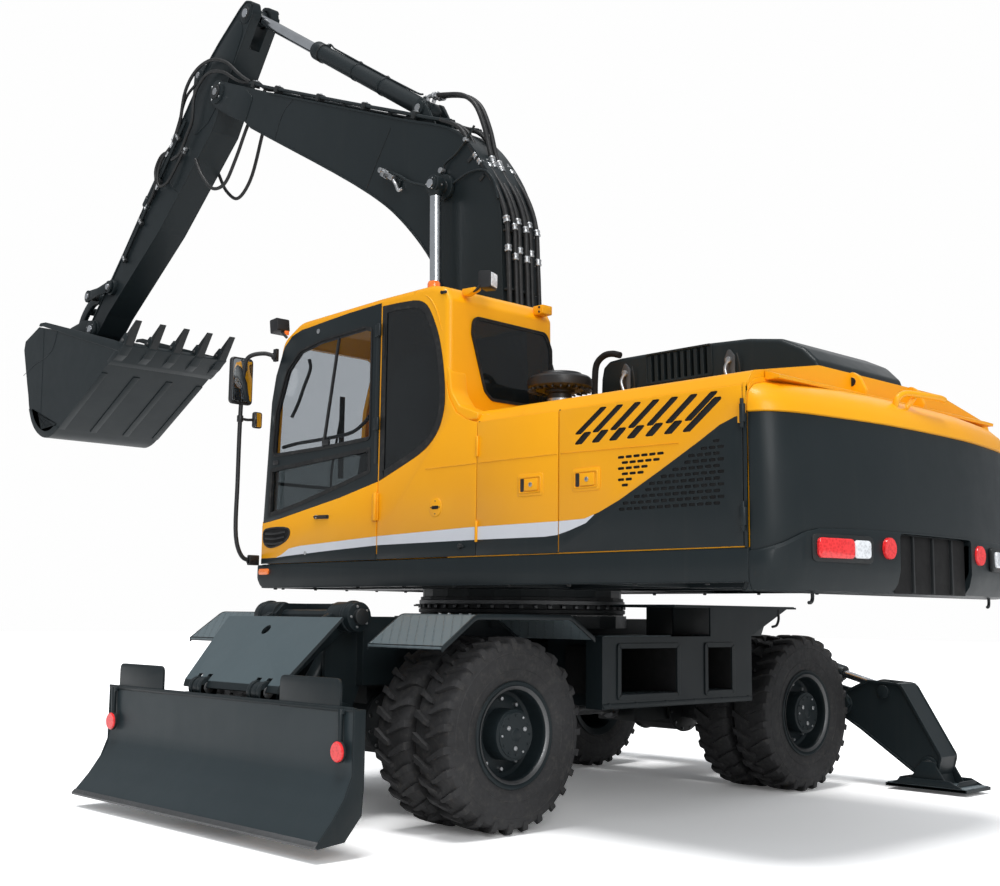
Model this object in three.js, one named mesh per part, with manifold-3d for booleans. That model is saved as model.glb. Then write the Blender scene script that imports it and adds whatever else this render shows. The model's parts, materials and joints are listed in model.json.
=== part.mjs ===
// Wheeled excavator, 21 t class, as an assembly of separate named sub-parts.
// Millimetres, +Z up. The carrier (wheels, chassis, blade, outriggers) has its front, the dozer blade, at +X
// and its left side at +Y. The upper structure is slewed a quarter turn, so its boom points at -Y.
import * as THREE from "three";
import { mergeVertices } from "three/addons/utils/BufferGeometryUtils.js";
import Module from "manifold-3d";

const wasm = await Module();
wasm.setup();

// ---------------------------------------------------------------- driving dimensions
const swingCentre = { x: -66, y: 1958.5 }; // swing axis, seen from the middle of the machine's footprint
const seatGap = 0.3; // between faces that touch
const pinGap = 0.3; // radial clearance of a pin
const runGap = 6; // between pieces that move past each other

const wheel = { radius: 527, width: 278, spacing: 320, trackHalf: 957, bead: 262, sides: 20 };
const wheelBase = 2800;
const frontAxleX = 1270;
const rearAxleX = frontAxleX - wheelBase;
const hub = { radius: 139, face: 293, spindle: 60, rimInner: 238 };
const kingpinY = 560;
const kingpinRadius = 30;

const chassis = { halfWidth: 330, bottom: 760, top: 1150, front: 1610, rear: -2140, plate: 20 };
const bearing = { inner: 560, outer: 690, bottom: 1170, top: 1285 };
const tower = { inner: 240, outer: 270, rear: 1580, front: 1830, bottom: 520, top: 1225 };

const bladeLink = { dx: 520, dz: -410 }; // both links of the blade's parallelogram
const bladeLower = { x: 1740, z: 600 };
const bladeUpper = { x: 1750, z: 1150 };
const bladeArmY = [276, 326];
const bladeHalf = 1240;
const bladeRodPin = { x: 2120, z: 350 };
const bladeCylPin = { x: 1700, z: 985, y: 150 };

const legPivot = { y: 1130, z: 560 };
const legRodPin = { y: 1453, z: 671 };
const legCylPin = { y: 600, z: 900 };
const beam = { front: -2135, rear: -2425, lug: 35 };

const house = { half: 1250, front: 1340, rear: -2766, bottom: 1335, top: 1495, wall: 30, shoulder: 2330, deck: 2450 };
const tailRadius = 3060;
const boomHalf = 170;
const boomFoot = { x: 30, z: 1875 };
const boomCylBase = { x: 590, z: 1560 };
const boomCylPin = { x: 664, z: 4290 };
const boomCylY = 272;
const armPivot = { x: 3940, z: 5985 };
const armTip = { x: 6250, z: 4070 };
const armHalf = 145;
const armCylBase = { x: 1062, z: 5037 };
const armCylPin = { x: 3533, z: 6632 };
const rockerPin = { s: 2450, n: 40 };
const bucketCylBase = { s: 150, n: 545 };
const linkTop = { x: 6290, z: 4425 };
const linkFoot = { x: 6690, z: 4080 };
const bucketHalf = 560;

const cab = { rear: -630, front: 1300, inner: 352, outer: 1250, floor: 1495.3, roof: 3165, wall: 45 };
const doorHingeX = 20;
const seamX = { cab: -890, mid: -1540, tail: -2770 };

// ---------------------------------------------------------------- materials
const paint = (color, roughness = 0.45, metalness = 0.1) =>
  new THREE.MeshStandardMaterial({ color, roughness, metalness });
const yellow = paint(0xf6a81c);
const slate = paint(0x2e383b, 0.5);
const black = paint(0x17191a, 0.7, 0);
const rubber = paint(0x1b1b1c, 0.9, 0);
const chrome = paint(0xd8dadc, 0.15, 1);
const trim = paint(0x2a2c2e, 0.8, 0);

// ---------------------------------------------------------------- solids
function solidOf(geometry) {
  geometry.deleteAttribute("normal");
  geometry.deleteAttribute("uv");
  const merged = mergeVertices(geometry, 1e-3);
  const corners = merged.index.array;
  const kept = [];
  for (let i = 0; i < corners.length; i += 3) {
    const [a, b, c] = corners.slice(i, i + 3);
    if (a !== b && b !== c && c !== a) kept.push(a, b, c);
  }
  const triVerts = new Uint32Array(kept);
  const vertProperties = merged.attributes.position.array;
  const made = new wasm.Manifold(new wasm.Mesh({ numProp: 3, vertProperties, triVerts }));
  if (made.volume() > 0) return made;
  for (let i = 0; i < triVerts.length; i += 3) {
    [triVerts[i + 1], triVerts[i + 2]] = [triVerts[i + 2], triVerts[i + 1]];
  }
  return new wasm.Manifold(new wasm.Mesh({ numProp: 3, vertProperties, triVerts }));
}

const join = (...solids) => solids.flat().reduce((a, b) => a.add(b));
const cut = (solid, ...tools) => tools.flat().reduce((a, b) => a.subtract(b), solid);

function box(x0, x1, y0, y1, z0, z1) {
  const geometry = new THREE.BoxGeometry(x1 - x0, y1 - y0, z1 - z0);
  return solidOf(geometry.translate((x0 + x1) / 2, (y0 + y1) / 2, (z0 + z1) / 2));
}

function shapeOf(points) {
  return new THREE.Shape(points.map(([a, b]) => new THREE.Vector2(a, b)));
}

// A side view in X and Z, as thick as y0 to y1.
function sideways(points, y0, y1) {
  const geometry = new THREE.ExtrudeGeometry(shapeOf(points), { depth: y1 - y0, bevelEnabled: false });
  return solidOf(geometry.rotateX(Math.PI / 2).translate(0, y1, 0));
}

// A cross-section in Y and Z, as long as x0 to x1.
function lengthways(points, x0, x1) {
  const geometry = new THREE.ExtrudeGeometry(shapeOf(points), { depth: x1 - x0, bevelEnabled: false });
  const turn = new THREE.Matrix4().makeBasis(
    new THREE.Vector3(0, 1, 0),
    new THREE.Vector3(0, 0, 1),
    new THREE.Vector3(1, 0, 0),
  );
  return solidOf(geometry.applyMatrix4(turn).translate(x0, 0, 0));
}

// A plan view in X and Y, as high as z0 to z1.
function upwards(points, z0, z1) {
  const geometry = new THREE.ExtrudeGeometry(shapeOf(points), { depth: z1 - z0, bevelEnabled: false });
  return solidOf(geometry.translate(0, 0, z0));
}

function rod(axis, radius, centre, from, to, sides = 10, phase = 0) {
  const geometry = new THREE.CylinderGeometry(radius, radius, to - from, sides, 1, false, phase);
  const middle = (from + to) / 2;
  if (axis === "x") geometry.rotateZ(Math.PI / 2).translate(middle, centre[0], centre[1]);
  if (axis === "y") geometry.translate(centre[0], middle, centre[1]);
  if (axis === "z") geometry.rotateX(Math.PI / 2).translate(centre[0], centre[1], middle);
  return solidOf(geometry);
}

// The hole that a pin of this radius turns in: its flats stand half a step round from the pin's.
const holeRadius = (radius, sides = 10) => (radius + pinGap) / Math.cos(Math.PI / sides);
const pinHole = (axis, radius, centre, from, to, sides = 10, turn = 0) =>
  rod(axis, holeRadius(radius, sides), centre, from, to, sides, Math.PI / sides + turn);

function lathe(points, sides) {
  const closed = points[0][0] > 0 ? [...points, points[0]] : points;
  const outline = closed.map(([r, h]) => new THREE.Vector2(r, h));
  return solidOf(new THREE.LatheGeometry(outline, sides, Math.PI / sides));
}

function pipe(points, radius, steps = 18, sides = 6) {
  const curve = new THREE.CatmullRomCurve3(points.map((p) => new THREE.Vector3(...p)), false, "catmullrom", 0.3);
  const section = new THREE.Shape(
    Array.from({ length: sides }, (_, i) => {
      const angle = (2 * Math.PI * i) / sides;
      return new THREE.Vector2(radius * Math.cos(angle), radius * Math.sin(angle));
    }),
  );
  return solidOf(new THREE.ExtrudeGeometry(section, { steps, extrudePath: curve, bevelEnabled: false }));
}

// The outline moved inwards by a wall's thickness; an open edge moves outwards instead.
function inset(points, thickness, open = -1) {
  const n = points.length;
  const area = points.reduce((sum, [x, z], i) => {
    const [x2, z2] = points[(i + 1) % n];
    return sum + x * z2 - x2 * z;
  }, 0);
  const side = Math.sign(area);
  const edges = points.map(([x, z], i) => {
    const [x2, z2] = points[(i + 1) % n];
    const length = Math.hypot(x2 - x, z2 - z);
    const normal = [(-side * (z2 - z)) / length, (side * (x2 - x)) / length];
    const wall = i === open ? -60 : thickness;
    return { x: x + normal[0] * wall, z: z + normal[1] * wall, dx: (x2 - x) / length, dz: (z2 - z) / length };
  });
  return edges.map((edge, i) => {
    const last = edges[(i + n - 1) % n];
    const cross = last.dx * edge.dz - last.dz * edge.dx;
    const along = ((edge.x - last.x) * edge.dz - (edge.z - last.z) * edge.dx) / cross;
    return [last.x + last.dx * along, last.z + last.dz * along];
  });
}

function geometryOf(solid) {
  const mesh = solid.getMesh();
  const positions = new Float32Array(mesh.numVert * 3);
  for (let i = 0; i < mesh.numVert; i++) {
    positions.set(mesh.vertProperties.subarray(i * mesh.numProp, i * mesh.numProp + 3), i * 3);
  }
  const geometry = new THREE.BufferGeometry();
  geometry.setAttribute("position", new THREE.BufferAttribute(positions, 3));
  geometry.setIndex(new THREE.BufferAttribute(new Uint32Array(mesh.triVerts), 1));
  geometry.computeVertexNormals();
  return geometry;
}

function place(parent, name, solid, material) {
  const mesh = new THREE.Mesh(geometryOf(solid), material);
  mesh.name = name;
  parent.add(mesh);
  return mesh;
}

function groupAt(parent, x, y, z) {
  const group = new THREE.Group();
  group.position.set(x, y, z);
  parent.add(group);
  return group;
}

const mirrorY = (solid) => solid.mirror([0, 1, 0]);
const sides = [
  { name: "left", sign: 1, of: (solid) => solid },
  { name: "right", sign: -1, of: mirrorY },
];

// ---------------------------------------------------------------- groups
const machine = new THREE.Group();
const carrier = groupAt(machine, swingCentre.x, swingCentre.y, 0);
const upper = groupAt(machine, swingCentre.x, swingCentre.y, 0);
upper.rotation.z = -Math.PI / 2;

// A cylinder as a barrel on its base pin and a rod in it, both along the group's +X.
function hydraulicCylinder(parent, name, spec) {
  const { base, pin, y, bore, rodRadius, eye, eyeWidth, pinRadius, barrel, plane, extend, head } = spec;
  const dx = pin[0] - base[0];
  const dz = pin[1] - base[1];
  const length = Math.hypot(dx, dz);
  const group = plane === "x" ? groupAt(parent, y, base[0], base[1]) : groupAt(parent, base[0], y, base[1]);
  if (plane === "x") group.rotation.z = Math.PI / 2;
  const inner = new THREE.Group();
  inner.rotation.y = -Math.atan2(dz, dx);
  group.add(inner);
  const sidesOfTube = 12;
  const tube = join(
    rod("y", eye, [0, 0], -eyeWidth / 2, eyeWidth / 2),
    rod("x", bore, [0, 0], eye * 0.6, barrel, sidesOfTube),
    rod("x", bore * 1.12, [0, 0], barrel - bore * 1.6, barrel, sidesOfTube),
  );
  const boreHole = pinHole("x", rodRadius, [0, 0], eye * 1.5, barrel + 1, sidesOfTube);
  const pinBore = pinHole("y", pinRadius, [0, 0], -eyeWidth - bore, eyeWidth + bore, 10, Math.atan2(dz, dx));
  place(inner, name + "_barrel", cut(tube, boreHole, pinBore), slate);
  const start = barrel - bore * 1.5 - extend; // the piston end stays inside the barrel at full stroke
  const stroke = rod("x", rodRadius, [0, 0], start, length - eye * 0.5, sidesOfTube);
  const rodEye = rod("y", eye, [length, 0], -eyeWidth / 2, eyeWidth / 2);
  const pinHead = head ? [rod("y", 40, [length, 0], Math.min(...head), Math.max(...head))] : [];
  place(inner, name + "_rod", join(stroke, rodEye, pinHead), chrome);
}

// ---------------------------------------------------------------- wheels
function twinTyres() {
  const tread = wheel.radius / Math.cos(Math.PI / wheel.sides);
  const half = wheel.width / 2;
  const guard = wheel.spacing / 2 - half;
  const outline = [];
  for (const centre of [-wheel.spacing / 2, wheel.spacing / 2]) {
    const outward = [
      [455, -half],
      [tread, -half + 27],
      [tread, half - 27],
      [455, half],
    ];
    outline.push(...outward.map(([r, y]) => [r, centre + y]));
    if (centre < 0) outline.push([400, -guard], [400, guard]);
  }
  const inward = [
    [330, half],
    [wheel.bead, half - 37],
    [wheel.bead, -half + 37],
    [330, -half],
  ];
  outline.push(...inward.map(([r, y]) => [r, wheel.spacing / 2 + y]));
  outline.push(...inward.map(([r, y]) => [r, y - wheel.spacing / 2]));
  return lathe(outline, wheel.sides);
}

function twinRims() {
  const band = wheel.bead - 0.6;
  const seat = wheel.spacing / 2 + wheel.width / 2 - 36;
  return lathe(
    [
      [0, hub.face],
      [hub.radius, hub.face],
      [hub.radius, 175],
      [hub.rimInner, 160],
      [hub.rimInner, 274],
      [288, 290],
      [band, seat],
      [band, -seat],
      [288, -290],
      [hub.rimInner, -274],
      [hub.rimInner, 130],
      [130, 130],
      [130, -60],
      [holeRadius(hub.spindle, wheel.sides), -60],
      [holeRadius(hub.spindle, wheel.sides), 100],
      [0, 100],
    ],
    wheel.sides,
  );
}

for (const end of [
  { name: "front", x: frontAxleX },
  { name: "rear", x: rearAxleX },
]) {
  for (const side of sides) {
    const corner = groupAt(carrier, end.x, side.sign * wheel.trackHalf, wheel.radius);
    place(corner, `${end.name}_${side.name}_tyres`, side.of(twinTyres()), rubber);
    place(corner, `${end.name}_${side.name}_rims`, side.of(twinRims()), slate);
  }
}

// ---------------------------------------------------------------- axles and knuckles
const spindleEnd = wheel.trackHalf + 99;
const carrierEnd = wheel.trackHalf - 66;
const housing = { radius: 115, start: 632 };
const fork = { half: 80, reach: 190, arm: 40 };
const axleHead = { radius: 75, half: 140 };

function spindleOf(from) {
  return join(
    rod("y", hub.spindle, [0, 0], from, spindleEnd, wheel.sides),
    rod("y", housing.radius, [0, 0], from, carrierEnd, wheel.sides),
  );
}

for (const side of sides) {
  const inner = fork.reach - fork.arm;
  const arms = [1, -1].map((up) =>
    join(
      box(-fork.half, fork.half, kingpinY - 55, housing.start + 60, up > 0 ? inner : -fork.reach, up > 0 ? fork.reach : -inner),
      rod("z", kingpinRadius, [0, kingpinY], up > 0 ? inner - 60 : -inner - 1, up > 0 ? inner + 1 : -inner + 60),
    ),
  );
  const wall = box(-fork.half, fork.half, housing.start + 14, housing.start + 60, -fork.reach, fork.reach);
  const steeringArm = box(-260, -fork.half + 1, 590, 650, -150, -110);
  const knuckle = join(arms, wall, spindleOf(housing.start + 20), steeringArm, box(-120, -fork.half + 1, 590, 690, -180, -110));
  const corner = groupAt(carrier, frontAxleX, 0, wheel.radius);
  place(corner, `${side.name}_knuckle`, side.of(knuckle), slate);
}

function axleBody(reach) {
  return join(
    box(-95, 95, -reach, reach, -85, 85),
    rod("y", 190, [0, 0], -170, 170, 16),
    box(-150, 150, -130, 130, 60, chassis.bottom - wheel.radius - seatGap),
  );
}

const frontHeads = sides.map((side) =>
  cut(
    rod("z", axleHead.radius, [0, side.sign * kingpinY], -axleHead.half, axleHead.half),
    pinHole("z", kingpinRadius, [0, side.sign * kingpinY], axleHead.half - 62, axleHead.half + 1),
    pinHole("z", kingpinRadius, [0, side.sign * kingpinY], -axleHead.half - 1, -axleHead.half + 62),
  ),
);
place(groupAt(carrier, frontAxleX, 0, wheel.radius), "front_axle", join(axleBody(kingpinY - 50), frontHeads), slate);

const gearbox = join(
  box(150, 560, -170, 170, -100, 190),
  rod("x", 45, [0, 0], 540, wheelBase - 190 - seatGap, 12),
  rod("x", 90, [0, 0], wheelBase - 240, wheelBase - 190 - seatGap, 16),
  rod("x", 130, [0, 110], 540, 760, 16),
);
const rearEnds = sides.map((side) => side.of(spindleOf(300)));
place(groupAt(carrier, rearAxleX, 0, wheel.radius), "rear_axle", join(axleBody(600), rearEnds, gearbox), slate);

// ---------------------------------------------------------------- chassis
function hollowBeam(x0, x1, y0, y1, z0, z1, wall) {
  return cut(
    box(x0, x1, y0, y1, z0, z1),
    box(x0 + wall, x1 - wall, y0 + wall, y1 - wall, z0 - 1, z1 - wall),
  );
}

function chassisFrame() {
  const { halfWidth, bottom, top, front, rear, plate } = chassis;
  const spine = cut(
    box(rear, front, -halfWidth, halfWidth, bottom, top),
    box(rear + plate, rearAxleX - 160, -halfWidth + plate, halfWidth - plate, bottom - 1, top - plate),
    box(rearAxleX + 160, -60, -halfWidth + plate, halfWidth - plate, bottom - 1, top - plate),
    box(60, frontAxleX - 160, -halfWidth + plate, halfWidth - plate, bottom - 1, top - plate),
    box(frontAxleX + 160, front - plate, -halfWidth + plate, halfWidth - plate, bottom - 1, top - plate),
  );
  const ringSeat = rod("z", bearing.outer + 20, [0, 0], top - 60, bearing.bottom - seatGap, 24);
  const seatHole = rod("z", bearing.inner - 120, [0, 0], top - plate - 40, bearing.bottom + 1, 16);
  const towerPlates = sides.map((side) =>
    side.of(
      sideways(
        [
          [tower.rear, chassis.bottom],
          [bladeLower.x - 60, tower.bottom],
          [bladeLower.x + 75, tower.bottom],
          [tower.front, tower.bottom + 120],
          [tower.front, tower.top - 60],
          [tower.front - 60, tower.top],
          [tower.rear, tower.top],
        ],
        tower.inner,
        tower.outer,
      ),
    ),
  );
  const towerWeb = box(front - plate, front, -tower.inner, tower.inner, 700, tower.top);
  const pins = [
    rod("y", 40, [bladeLower.x, bladeLower.z], -bladeArmY[1] - 14, bladeArmY[1] + 14),
    rod("y", 40, [bladeUpper.x, bladeUpper.z], -495, 495),
    rod("y", 30, [bladeCylPin.x, bladeCylPin.z], -tower.inner - 1, tower.inner + 1),
  ];
  const beamTop = { inner: 800, outer: 690, step: 700 };
  const beamBody = cut(
    box(beam.rear, beam.front, -960, 960, 480, beamTop.inner),
    ...sides.flatMap((side) => [
      side.of(box(beam.rear - 1, beam.front + 1, beamTop.step, 961, beamTop.outer, beamTop.inner + 1)),
      side.of(box(beam.rear + plate, beam.front - plate, 40, 940, 479, beamTop.outer - plate)),
    ]),
  );
  const lugs = sides.flatMap((side) =>
    [beam.rear, beam.front - beam.lug].map((x) =>
      side.of(
        join(
          lengthways(
            [
              [900, 480],
              [legPivot.y, legPivot.z - 80],
              [legPivot.y + 70, legPivot.z],
              [legPivot.y + 30, legPivot.z + 75],
              [940, beamTop.outer],
              [900, beamTop.outer],
            ],
            x,
            x + beam.lug,
          ),
          lengthways(
            [
              [legCylPin.y - 120, 780],
              [legCylPin.y + 120, 780],
              [legCylPin.y + 40, legCylPin.z + 60],
              [legCylPin.y - 40, legCylPin.z + 60],
            ],
            x + (x < beam.front - 100 ? 50 : -50),
            x + (x < beam.front - 100 ? 50 : -50) + beam.lug,
          ),
        ),
      ),
    ),
  );
  const legPins = sides.flatMap((side) => [
    side.of(rod("x", 40, [legPivot.y, legPivot.z], beam.rear + 5, beam.front - 5)),
    side.of(rod("x", 30, [legCylPin.y, legCylPin.z], beam.rear + 60, beam.front - 60)),
  ]);
  const tailNeck = box(beam.front - 30, rear + 30, -halfWidth, halfWidth, 500, top);
  return join(cut(join(spine, ringSeat), seatHole), towerPlates, towerWeb, pins, beamBody, lugs, legPins, tailNeck);
}
place(carrier, "chassis_frame", chassisFrame(), slate);

const bearingRing = cut(
  rod("z", bearing.outer, [0, 0], bearing.bottom, bearing.top, 24),
  rod("z", bearing.inner, [0, 0], bearing.bottom - 1, bearing.top + 1, 24),
);
place(carrier, "swing_bearing", bearingRing, black);

// ---------------------------------------------------------------- step boxes and fenders
const stepBox = { front: 576, inset: 400, rear: -886, bottom: 632, top: 1050, inner: 640, face: 1000, nose: 1120, wall: 25 };
const rearDeck = { front: -90, rear: -1410, z: 1228, plate: 12, inner: 722 };
const fender = { z: 1168, plate: 12, inner: 625 };

function stepBoxBody() {
  const b = stepBox;
  const hull = upwards(
    [
      [b.rear, b.inner],
      [b.inset, b.inner],
      [b.inset, b.nose],
      [b.front, b.nose],
      [b.front, house.half],
      [b.rear, house.half],
    ],
    b.bottom,
    b.top,
  );
  const rooms = [
    [-112, 426],
    [-672, -405],
  ].map(([x0, x1]) => box(x0, x1, b.face - 200, house.half + 1, 704, 989));
  const arms = [150, -650].map((x) => box(x - 60, x + 60, chassis.halfWidth + seatGap, b.inner + 5, 820, 1000));
  const deck = box(rearDeck.rear, rearDeck.front, rearDeck.inner, house.half, rearDeck.z, rearDeck.z + rearDeck.plate);
  const props = [rearDeck.inner, 940, 1238].map((y) =>
    sideways(
      [
        [-450, b.top - 1],
        [b.rear, b.top - 1],
        [-1300, rearDeck.z + 1],
        [-450, rearDeck.z + 1],
      ],
      y,
      y + 12,
    ),
  );
  const hollow = box(b.rear + b.wall, b.inset - b.wall, b.inner + b.wall, b.face - 200 - b.wall, b.bottom - 1, b.top - b.wall);
  return join(cut(hull, rooms, hollow), arms, deck, props);
}

function fenderBody() {
  const outer = [
    [2205, 1005],
    [2020, fender.z],
    [840, fender.z],
    [636, 1042],
  ];
  const under = outer.map(([x, z]) => [x, z - fender.plate]).reverse();
  const bracket = box(1150, 1390, chassis.halfWidth + seatGap, fender.inner + 40, 1085, fender.z - fender.plate + 1);
  return join(sideways([...outer, ...under], fender.inner, house.half), bracket);
}

for (const side of sides) {
  place(carrier, `${side.name}_step_box`, side.of(stepBoxBody()), slate);
  place(carrier, `${side.name}_front_fender`, side.of(fenderBody()), slate);
}

// ---------------------------------------------------------------- dozer blade
const bladePin = { lowerX: bladeLower.x + bladeLink.dx, lowerZ: bladeLower.z + bladeLink.dz };
bladePin.upperX = bladeUpper.x + bladeLink.dx;
bladePin.upperZ = bladeUpper.z + bladeLink.dz;
const bladeLug = { inner: [240, 268], outer: [334, 362] };

function bladeBody() {
  const outline = [
    [2200, 705],
    [2200, 330],
    [2330, 90],
    [2560, 66],
    [2582, 76],
    [2475, 190],
    [2405, 290],
    [2365, 390],
    [2365, 705],
  ];
  const hollow = [
    [2100, 685],
    [2100, 60],
    [2500, 60],
    [2505, 128],
    [2460, 175],
    [2388, 278],
    [2345, 385],
    [2345, 685],
  ];
  const shell = cut(sideways(outline, -bladeHalf, bladeHalf), sideways(hollow, -bladeHalf + 20, bladeHalf - 20));
  const ribOutline = [
    [2215, 690],
    [2215, 330],
    [2200, 150],
    [2330, 100],
    [2510, 100],
    [2480, 180],
    [2410, 285],
    [2355, 400],
    [2355, 690],
  ];
  const ribs = [bladeLug.inner, bladeLug.outer].flatMap(([y0, y1]) =>
    sides.map((side) => {
      const ears = join(
        sideways(ribOutline, y0, y1),
        rod("y", 62, [bladePin.lowerX, bladePin.lowerZ], y0, y1),
        rod("y", 62, [bladePin.upperX, bladePin.upperZ], y0, y1),
        box(bladePin.upperX - 50, bladePin.upperX + 50, y0, y1, 680, bladePin.upperZ),
      );
      return side.of(ears);
    }),
  );
  const pins = sides.flatMap((side) =>
    [
      [bladePin.lowerX, bladePin.lowerZ],
      [bladePin.upperX, bladePin.upperZ],
    ].map((centre) => side.of(rod("y", 32, centre, bladeLug.inner[0], bladeLug.outer[1]))),
  );
  const tabs = sides.map((side) => side.of(box(2345, 2361, 600, 1120, 690, 850)));
  const linkSlots = sides.map((side) => side.of(box(2190, 2340, bladeLug.inner[1], bladeLug.outer[0], 680, 706)));
  // The back is open beside the links, where a steered wheel comes close to a lowered blade.
  const backs = sides.map((side) => side.of(box(2190, 2290, 560, bladeHalf - 20, 60, 706)));
  return join(cut(shell, linkSlots, backs), ribs, pins, tabs);
}
place(carrier, "dozer_blade", bladeBody(), slate);

const linkArm = (from, to, y0, y1, bossRadius) =>
  join(
    rod("y", bossRadius, [from.x, from.z], y0, y1),
    rod("y", bossRadius - 12, [to.x, to.z], y0, y1),
    sideways(
      [
        [from.x - 40, from.z - 45],
        [to.x - 30, to.z - 35],
        [to.x + 30, to.z + 35],
        [from.x + 40, from.z + 45],
      ],
      y0,
      y1,
    ),
  );

function bladeLowerArm() {
  const tip = { x: bladePin.lowerX, z: bladePin.lowerZ };
  const arms = sides.map((side) => side.of(linkArm(bladeLower, tip, bladeArmY[0], bladeArmY[1], 70)));
  const cross = rod("y", 42, [1900, 440], -bladeArmY[0] - 10, bladeArmY[0] + 10);
  const ears = sides.flatMap((side) =>
    [
      [76, 90],
      [210, 224],
    ].map(([y0, y1]) =>
      side.of(
        sideways(
          [
            [1880, 405],
            [1880, 478],
            [1960, 468],
            [2090, 402],
            [2165, 392],
            [2165, 312],
            [2090, 300],
          ],
          y0,
          y1,
        ),
      ),
    ),
  );
  const holes = [bladeLower, tip].map((at, i) => pinHole("y", i ? 32 : 40, [at.x, at.z], -600, 600));
  return cut(join(arms, cross, ears), holes);
}
place(carrier, "blade_lower_arm", bladeLowerArm(), slate);

function bladeUpperLink() {
  const tip = { x: bladePin.upperX, z: bladePin.upperZ };
  const web = [
    [bladeUpper.x, bladeUpper.z + 60],
    [bladeUpper.x - 30, bladeUpper.z - 60],
    [tip.x - 45, tip.z - 35],
    [tip.x + 20, tip.z + 38],
    [1945, 1135],
  ];
  const arms = sides.map((side) => side.of(sideways(web, 276, 326)));
  const bosses = sides.flatMap((side) => [
    side.of(rod("y", 78, [bladeUpper.x, bladeUpper.z], 276, 470)),
    side.of(rod("y", 55, [tip.x, tip.z], 276, 326)),
  ]);
  const plate = sideways(
    [
      [1940, 1145],
      [1925, 1133],
      [2268, 768],
      [2283, 780],
    ],
    -600,
    600,
  );
  const notches = [
    [228, 272],
    [330, 374],
  ].flatMap(([y0, y1]) => sides.map((side) => side.of(rod("y", 76, [tip.x, tip.z], y0, y1))));
  const holes = [
    pinHole("y", 40, [bladeUpper.x, bladeUpper.z], -600, 600),
    pinHole("y", 32, [tip.x, tip.z], -600, 600),
  ];
  return cut(join(arms, bosses, plate), notches, holes);
}
place(carrier, "blade_upper_link", bladeUpperLink(), slate);

for (const side of sides) {
  hydraulicCylinder(carrier, `${side.name}_blade_cylinder`, {
    base: [bladeCylPin.x, bladeCylPin.z],
    pin: [bladeRodPin.x, bladeRodPin.z],
    y: side.sign * bladeCylPin.y,
    bore: 48,
    rodRadius: 28,
    eye: 48,
    eyeWidth: 104,
    pinRadius: 30,
    barrel: 480,
    extend: 60,
  });
}

// ---------------------------------------------------------------- outriggers
function outriggerLeg() {
  const { y, z } = legPivot;
  const x0 = beam.rear + beam.lug + runGap;
  const x1 = beam.front - beam.lug - runGap;
  const outline = [
    [y - 70, z + 10],
    [y - 20, z + 72],
    [1330, 735],
    [1590, 720],
    [1885, 240],
    [1850, 120],
    [1700, 110],
    [1620, 160],
    [1270, 390],
    [y - 30, z - 72],
  ];
  const plates = [
    [x0, x0 + 24],
    [x1 - 24, x1],
  ].map(([a, b]) => lengthways(outline, a, b));
  const skin = cut(lengthways(outline, x0, x1), lengthways(inset(outline, 18), x0 + 24, x1 - 24));
  const slot = lengthways(
    [
      [y + 80, z + 40],
      [y + 120, 900],
      [1500, 900],
      [1560, 560],
      [1500, 540],
    ],
    x0 + 40,
    x1 - 40,
  );
  const lugs = [-2335, -2250].map((x) =>
    lengthways(
      [
        [1390, 318],
        [1530, 228],
        [1530, 650],
        [1500, 715],
        [1425, 715],
        [1395, 650],
      ],
      x,
      x + 25,
    ),
  );
  const pad = join(box(-2450, -2110, 1490, 2090, 22, 44), lengthways([[1690, 40], [1870, 40], [1830, 180], [1730, 180]], x0, x1));
  const body = join(cut(skin, slot), lugs, pad);
  return cut(body, pinHole("x", 40, [y, z], x0 - 1, x1 + 1));
}

for (const side of sides) {
  place(carrier, `${side.name}_outrigger_leg`, side.of(outriggerLeg()), slate);
}
const legMiddleX = (beam.rear + beam.front) / 2;
for (const side of sides) {
  hydraulicCylinder(carrier, `${side.name}_outrigger_cylinder`, {
    base: [side.sign * legCylPin.y, legCylPin.z],
    pin: [side.sign * legRodPin.y, legRodPin.z],
    y: legMiddleX,
    plane: "x",
    bore: 50,
    rodRadius: 28,
    eye: 45,
    eyeWidth: 44,
    pinRadius: 30,
    barrel: 500,
    extend: 30,
  });
}

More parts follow.
